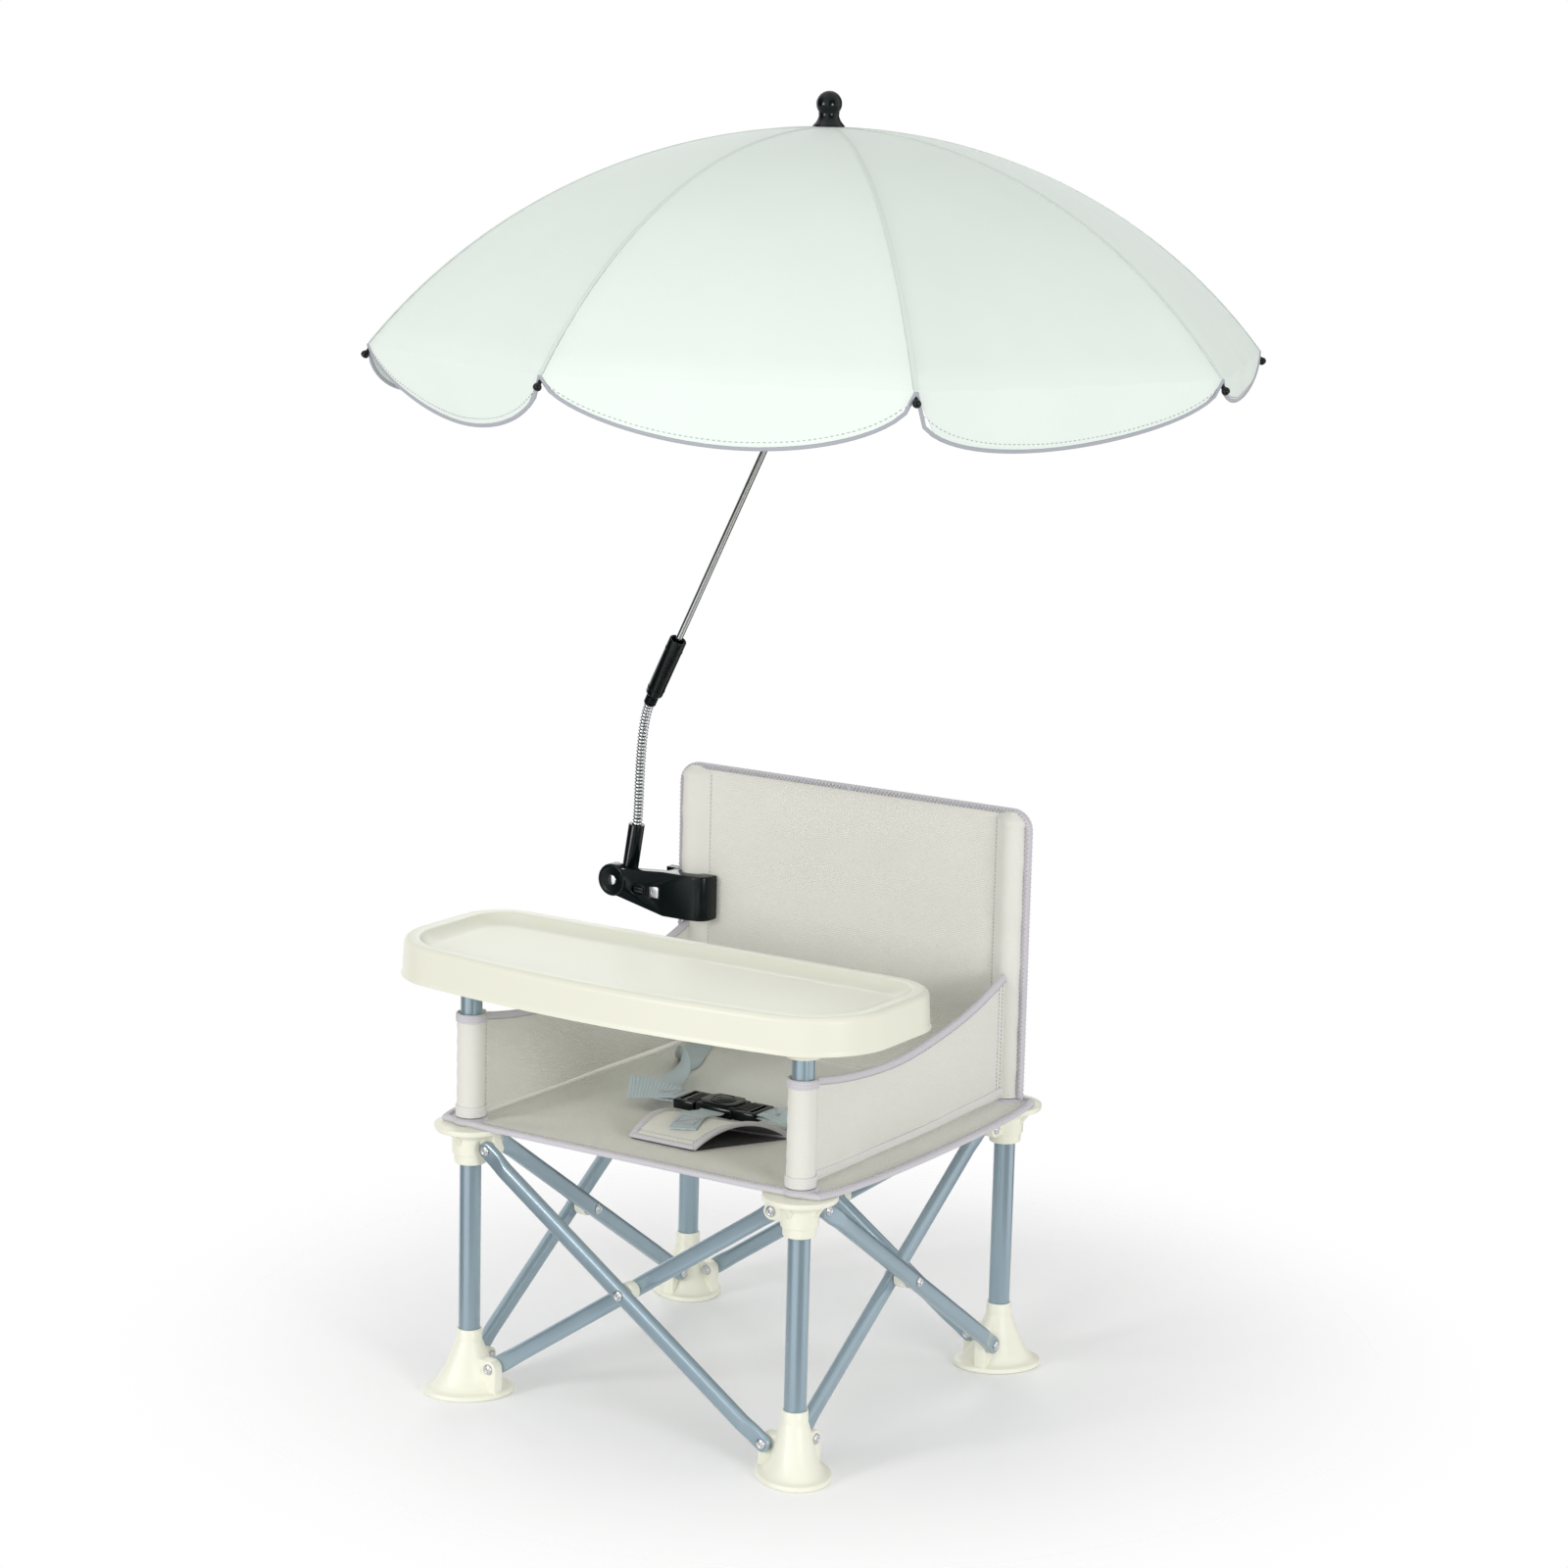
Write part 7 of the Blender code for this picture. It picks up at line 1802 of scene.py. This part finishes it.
def make_shaft():
    """The lower shaft with its knuckle, the forked upper rod and the pin that joins them."""
    start = SLEEVE_MOUTH - SHAFT_WAY * 0.0557
    reach = (KNUCKLE - start).length
    profile = [
        (0.0026, 0.0), (0.0033, 0.0008), (0.0033, reach - 0.0100), (0.0040, reach - 0.0090),
        (0.0040, reach - 0.0050), (0.0030, reach - 0.0040),
    ]
    mesh_data = bmesh.new()
    lathe(mesh_data, profile, start, SHAFT_WAY, 32)
    axis = UP.cross(Vector((SHAFT_WAY.x, SHAFT_WAY.y, 0.0)).normalized())
    disc = [(0.0001, -0.0035), (0.0070, -0.0035), (0.0070, 0.0035), (0.0001, 0.0035)]
    lathe(mesh_data, soften(disc, 0.0008, 3), KNUCKLE, axis, 32)
    add_piece("lower_shaft", mesh_data, "steel", "parasol_shaft", ["parasol_shaft"])
    fork = dressed_copy("upper_fork", "upper_rod", "steel", 0.0004, 34.0)
    attach(fork, "parasol_canopy", ["upper_rod"])
    head = [(0.0001, -0.0079), (0.0018, -0.0077), (0.0031, -0.0066), (0.0031, -0.0063), (0.0016, -0.0063)]
    mesh_data = bmesh.new()
    lathe(mesh_data, head + [(radius, -height) for radius, height in reversed(head)], KNUCKLE, axis, 24)
    add_piece("knuckle_rivet", mesh_data, "rivet", "parasol_canopy", ["knuckle_pin"])


def make_crown():
    """The runner, the ball finial and the round patch of cloth under it."""
    mesh_data = bmesh.new()
    collar(mesh_data, list(RUNNER), 0.0005, 2, CANOPY_MIDDLE, sides=32)
    add_piece("sliding_runner", mesh_data, "black", "parasol_canopy", ["runner"])
    centre = FINIAL_BASE + 0.0310 - FINIAL_BALL
    profile = [(radius, FINIAL_BASE + height) for radius, height in FINIAL_SKIRT]
    for degrees in range(-36, 91, 9):
        angle = math.radians(degrees)
        profile.append((FINIAL_BALL * math.cos(angle), centre + FINIAL_BALL * math.sin(angle)))
    mesh_data = bmesh.new()
    lathe(mesh_data, profile, CANOPY_MIDDLE, sides=44)
    add_piece("ball_finial", mesh_data, "black", "parasol_canopy", ["finial"], 55.0)
    patch = [(0.0040, 1.0976), (0.0135, 1.0972), (0.0158, 1.0966)]
    patch += [(0.0156, 1.0972), (0.0135, 1.0980), (0.0040, 1.0984)]
    mesh_data = bmesh.new()
    lathe(mesh_data, patch, CANOPY_MIDDLE + UP * 0.0010, sides=48, loop=True)
    add_piece("crown_patch", mesh_data, "seam", "parasol_canopy")


# Stage


def eased(tree, value, low, high, **targets):
    """A value taken from one range to another with a smooth step."""
    inputs = {"Value": value, "From Min": low, "From Max": high, **targets}
    return node(tree, "ShaderNodeMapRange", inputs, interpolation_type="SMOOTHSTEP").outputs["Result"]


def make_floor():
    """A pale floor that keeps the soft shadow and fades into the white surround."""
    mesh_data = bmesh.new()
    bmesh.ops.create_circle(mesh_data, cap_ends=True, radius=3.2, segments=96)
    mesh = bpy.data.meshes.new("floor")
    mesh_data.to_mesh(mesh)
    mesh_data.free()
    paint = bpy.data.materials.new("pale_floor")
    paint.use_nodes = True
    tree = paint.node_tree
    tree.nodes.clear()
    where = node(tree, "ShaderNodeTexCoord").outputs["Object"]
    far = node(tree, "ShaderNodeVectorMath", {0: where}, operation="LENGTH").outputs["Value"]
    fade = eased(tree, far, 0.26, 0.66)
    diffuse = node(tree, "ShaderNodeBsdfDiffuse", {"Color": (1.0, 1.0, 1.0, 1.0)})
    clear = node(tree, "ShaderNodeBsdfTransparent")
    mixed = node(tree, "ShaderNodeMixShader", {0: fade, 1: diffuse.outputs[0], 2: clear.outputs[0]})
    node(tree, "ShaderNodeOutputMaterial", {"Surface": mixed.outputs[0]})
    mesh.materials.append(paint)
    floor = put("floor", mesh)
    floor.location.z = -0.0004


def make_world():
    """A white surround; what lights and mirrors in the object has two dim bands, as a studio has."""
    world = bpy.data.worlds.new("white_surround")
    bpy.context.scene.world = world
    world.use_nodes = True
    tree = world.node_tree
    tree.nodes.clear()
    path = node(tree, "ShaderNodeLightPath").outputs
    seen = arithmetic(tree, "MAXIMUM", path["Is Camera Ray"], path["Is Transmission Ray"])
    way = node(tree, "ShaderNodeTexCoord").outputs["Generated"]
    split = node(tree, "ShaderNodeSeparateXYZ", {0: way}).outputs
    turn = arithmetic(tree, "ARCTAN2", split["Y"], split["X"])
    wave = arithmetic(tree, "SINE", arithmetic(tree, "MULTIPLY", turn, 3.0))
    banded = eased(tree, wave, -0.35, 0.35, **{"To Min": 0.06, "To Max": 1.2})
    rise = {"Value": split["Z"], "From Min": 0.35, "From Max": 0.8}
    level = node(tree, "ShaderNodeMapRange", rise).outputs[0]
    mirrored = node(tree, "ShaderNodeMix", {0: level, 2: banded, 3: 1.0}, data_type="FLOAT").outputs[0]
    glossy = {0: path["Is Glossy Ray"], 2: 0.68, 3: mirrored}
    strength = node(tree, "ShaderNodeMix", glossy, data_type="FLOAT").outputs[0]
    plain = node(tree, "ShaderNodeBackground", {"Color": (1.0, 1.0, 1.0, 1.0), "Strength": 1.0})
    soft = node(tree, "ShaderNodeBackground", {"Color": (1.0, 1.0, 1.0, 1.0), "Strength": strength})
    mixed = node(tree, "ShaderNodeMixShader", {0: seen, 1: soft.outputs[0], 2: plain.outputs[0]})
    node(tree, "ShaderNodeOutputWorld", {"Surface": mixed.outputs[0]})


def add_lamp(name, place, target, width, power):
    lamp = bpy.data.lights.new(name, "AREA")
    lamp.shape = "DISK"
    lamp.size = width
    lamp.energy = power
    made = put(name, lamp)
    made.location = place
    made.rotation_euler = (Vector(target) - Vector(place)).to_track_quat("-Z", "Y").to_euler()


def make_camera():
    """The camera at the photograph's viewing angle."""
    azimuth, tilt, roll = math.radians(32.70), math.radians(11.306), math.radians(1.333)
    back = Vector((math.sin(azimuth) * math.cos(tilt), -math.cos(azimuth) * math.cos(tilt), math.sin(tilt)))
    right = Vector((math.cos(azimuth), math.sin(azimuth), 0.0))
    up = back.cross(right)
    right_rolled = right * math.cos(roll) + up * math.sin(roll)
    up_rolled = up * math.cos(roll) - right * math.sin(roll)
    lens = bpy.data.cameras.new("photo_camera")
    lens.lens = 87.76
    lens.sensor_width = 36.0
    lens.sensor_fit = "HORIZONTAL"
    lens.clip_start = 0.05
    camera = put("photo_camera", lens)
    turn = Matrix((right_rolled, up_rolled, back)).transposed()
    camera.matrix_world = Matrix.Translation((1.7828, -2.8237, 1.1884)) @ turn.to_4x4()
    bpy.context.scene.camera = camera


# Operators


class FEEDINGCHAIR_OT_stage(Operator):
    """Camera, pale floor, white surround and soft lamps"""

    bl_idname = "feedingchair.stage"
    bl_label = "Stage"

    def execute(self, context):
        make_camera()
        make_floor()
        make_world()
        add_lamp("key", (-0.9, -2.7, 1.0), (0.0, 0.0, 0.38), 0.7, 23.0)
        add_lamp("fill", (2.9, -1.4, 0.8), (0.0, 0.0, 0.4), 0.8, 30.0)
        add_lamp("top", (-0.8, -0.9, 3.4), (0.0, 0.0, 0.6), 1.5, 2.5)
        add_lamp("rim", (-1.6, 2.4, 1.7), (0.0, 0.0, 0.5), 1.4, 12.0)
        context.scene.view_settings.view_transform = "Standard"
        return {"FINISHED"}


class FEEDINGCHAIR_OT_tubes(Operator):
    """Uprights, scissor bars, spacers and rivets of the folding frame"""

    bl_idname = "feedingchair.tubes"
    bl_label = "Frame tubes"

    def execute(self, context):
        make_uprights()
        make_bars()
        return {"FINISHED"}


class FEEDINGCHAIR_OT_fittings(Operator):
    """Cream sliding hubs and bell feet"""

    bl_idname = "feedingchair.fittings"
    bl_label = "Hubs and feet"

    def execute(self, context):
        make_hubs()
        make_feet()
        return {"FINISHED"}


class FEEDINGCHAIR_OT_tray(Operator):
    """Feeding tray with its two sockets"""

    bl_idname = "feedingchair.tray"
    bl_label = "Tray"

    def execute(self, context):
        make_tray()
        return {"FINISHED"}


class FEEDINGCHAIR_OT_seat(Operator):
    """Sling seat with its binding"""

    bl_idname = "feedingchair.seat"
    bl_label = "Seat"

    def execute(self, context):
        make_seat()
        return {"FINISHED"}


class FEEDINGCHAIR_OT_back(Operator):
    """Backrest panel, sleeves and hem"""

    bl_idname = "feedingchair.back"
    bl_label = "Back"

    def execute(self, context):
        make_back()
        return {"FINISHED"}


class FEEDINGCHAIR_OT_arms(Operator):
    """Side panels with their bound top edges"""

    bl_idname = "feedingchair.arms"
    bl_label = "Arms"

    def execute(self, context):
        make_arms()
        return {"FINISHED"}


class FEEDINGCHAIR_OT_harness(Operator):
    """Straps, crotch guard and buckle"""

    bl_idname = "feedingchair.harness"
    bl_label = "Harness"

    def execute(self, context):
        make_straps()
        make_guard()
        make_buckle()
        return {"FINISHED"}


class FEEDINGCHAIR_OT_clamp(Operator):
    """Parasol clamp with its knob, nut and pivot"""

    bl_idname = "feedingchair.clamp"
    bl_label = "Clamp"

    def execute(self, context):
        make_clamp()
        return {"FINISHED"}


class FEEDINGCHAIR_OT_neck(Operator):
    """Bendable neck, its socket and the coupling sleeve"""

    bl_idname = "feedingchair.neck"
    bl_label = "Neck"

    def execute(self, context):
        make_neck()
        return {"FINISHED"}


class FEEDINGCHAIR_OT_parasol(Operator):
    """Shaft, ribs, runner and finial of the parasol"""

    bl_idname = "feedingchair.parasol"
    bl_label = "Parasol frame"

    def execute(self, context):
        make_shaft()
        make_crown()
        make_ribs()
        return {"FINISHED"}


class FEEDINGCHAIR_OT_canopy(Operator):
    """Canopy cloth with its valance, seams and piping"""

    bl_idname = "feedingchair.canopy"
    bl_label = "Canopy"

    def execute(self, context):
        make_canopy()
        return {"FINISHED"}


STEPS = (
    FEEDINGCHAIR_OT_stage,
    FEEDINGCHAIR_OT_tubes,
    FEEDINGCHAIR_OT_fittings,
    FEEDINGCHAIR_OT_tray,
    FEEDINGCHAIR_OT_seat,
    FEEDINGCHAIR_OT_back,
    FEEDINGCHAIR_OT_arms,
    FEEDINGCHAIR_OT_harness,
    FEEDINGCHAIR_OT_clamp,
    FEEDINGCHAIR_OT_neck,
    FEEDINGCHAIR_OT_parasol,
    FEEDINGCHAIR_OT_canopy,
)


class FEEDINGCHAIR_PT_panel(Panel):
    """Steps, sizes and colours of the feeding chair"""

    bl_idname = "FEEDINGCHAIR_PT_panel"
    bl_label = "Feeding Chair"
    bl_space_type = "VIEW_3D"
    bl_region_type = "UI"
    bl_category = "Feeding Chair"

    def draw(self, context):
        layout = self.layout
        for step in STEPS:
            layout.operator(step.bl_idname)
        for title, group in (("Sizes", sizes()), ("Colours", colours())):
            box = layout.box()
            box.label(text=title)
            for name in group.__annotations__:
                box.prop(group, name)


CLASSES = (FeedingChairSizes, FeedingChairColours, *STEPS, FEEDINGCHAIR_PT_panel)


def register():
    for item in CLASSES:
        bpy.utils.register_class(item)
    bpy.types.Scene.feeding_chair_sizes = PointerProperty(type=FeedingChairSizes)
    bpy.types.Scene.feeding_chair_colours = PointerProperty(type=FeedingChairColours)


def unregister():
    del bpy.types.Scene.feeding_chair_colours
    del bpy.types.Scene.feeding_chair_sizes
    for item in reversed(CLASSES):
        bpy.utils.unregister_class(item)


def main():
    register()
    for step in STEPS:
        group, name = step.bl_idname.split(".")
        getattr(getattr(bpy.ops, group), name)()
    bpy.context.view_layer.update()


if __name__ == "__main__":
    main()
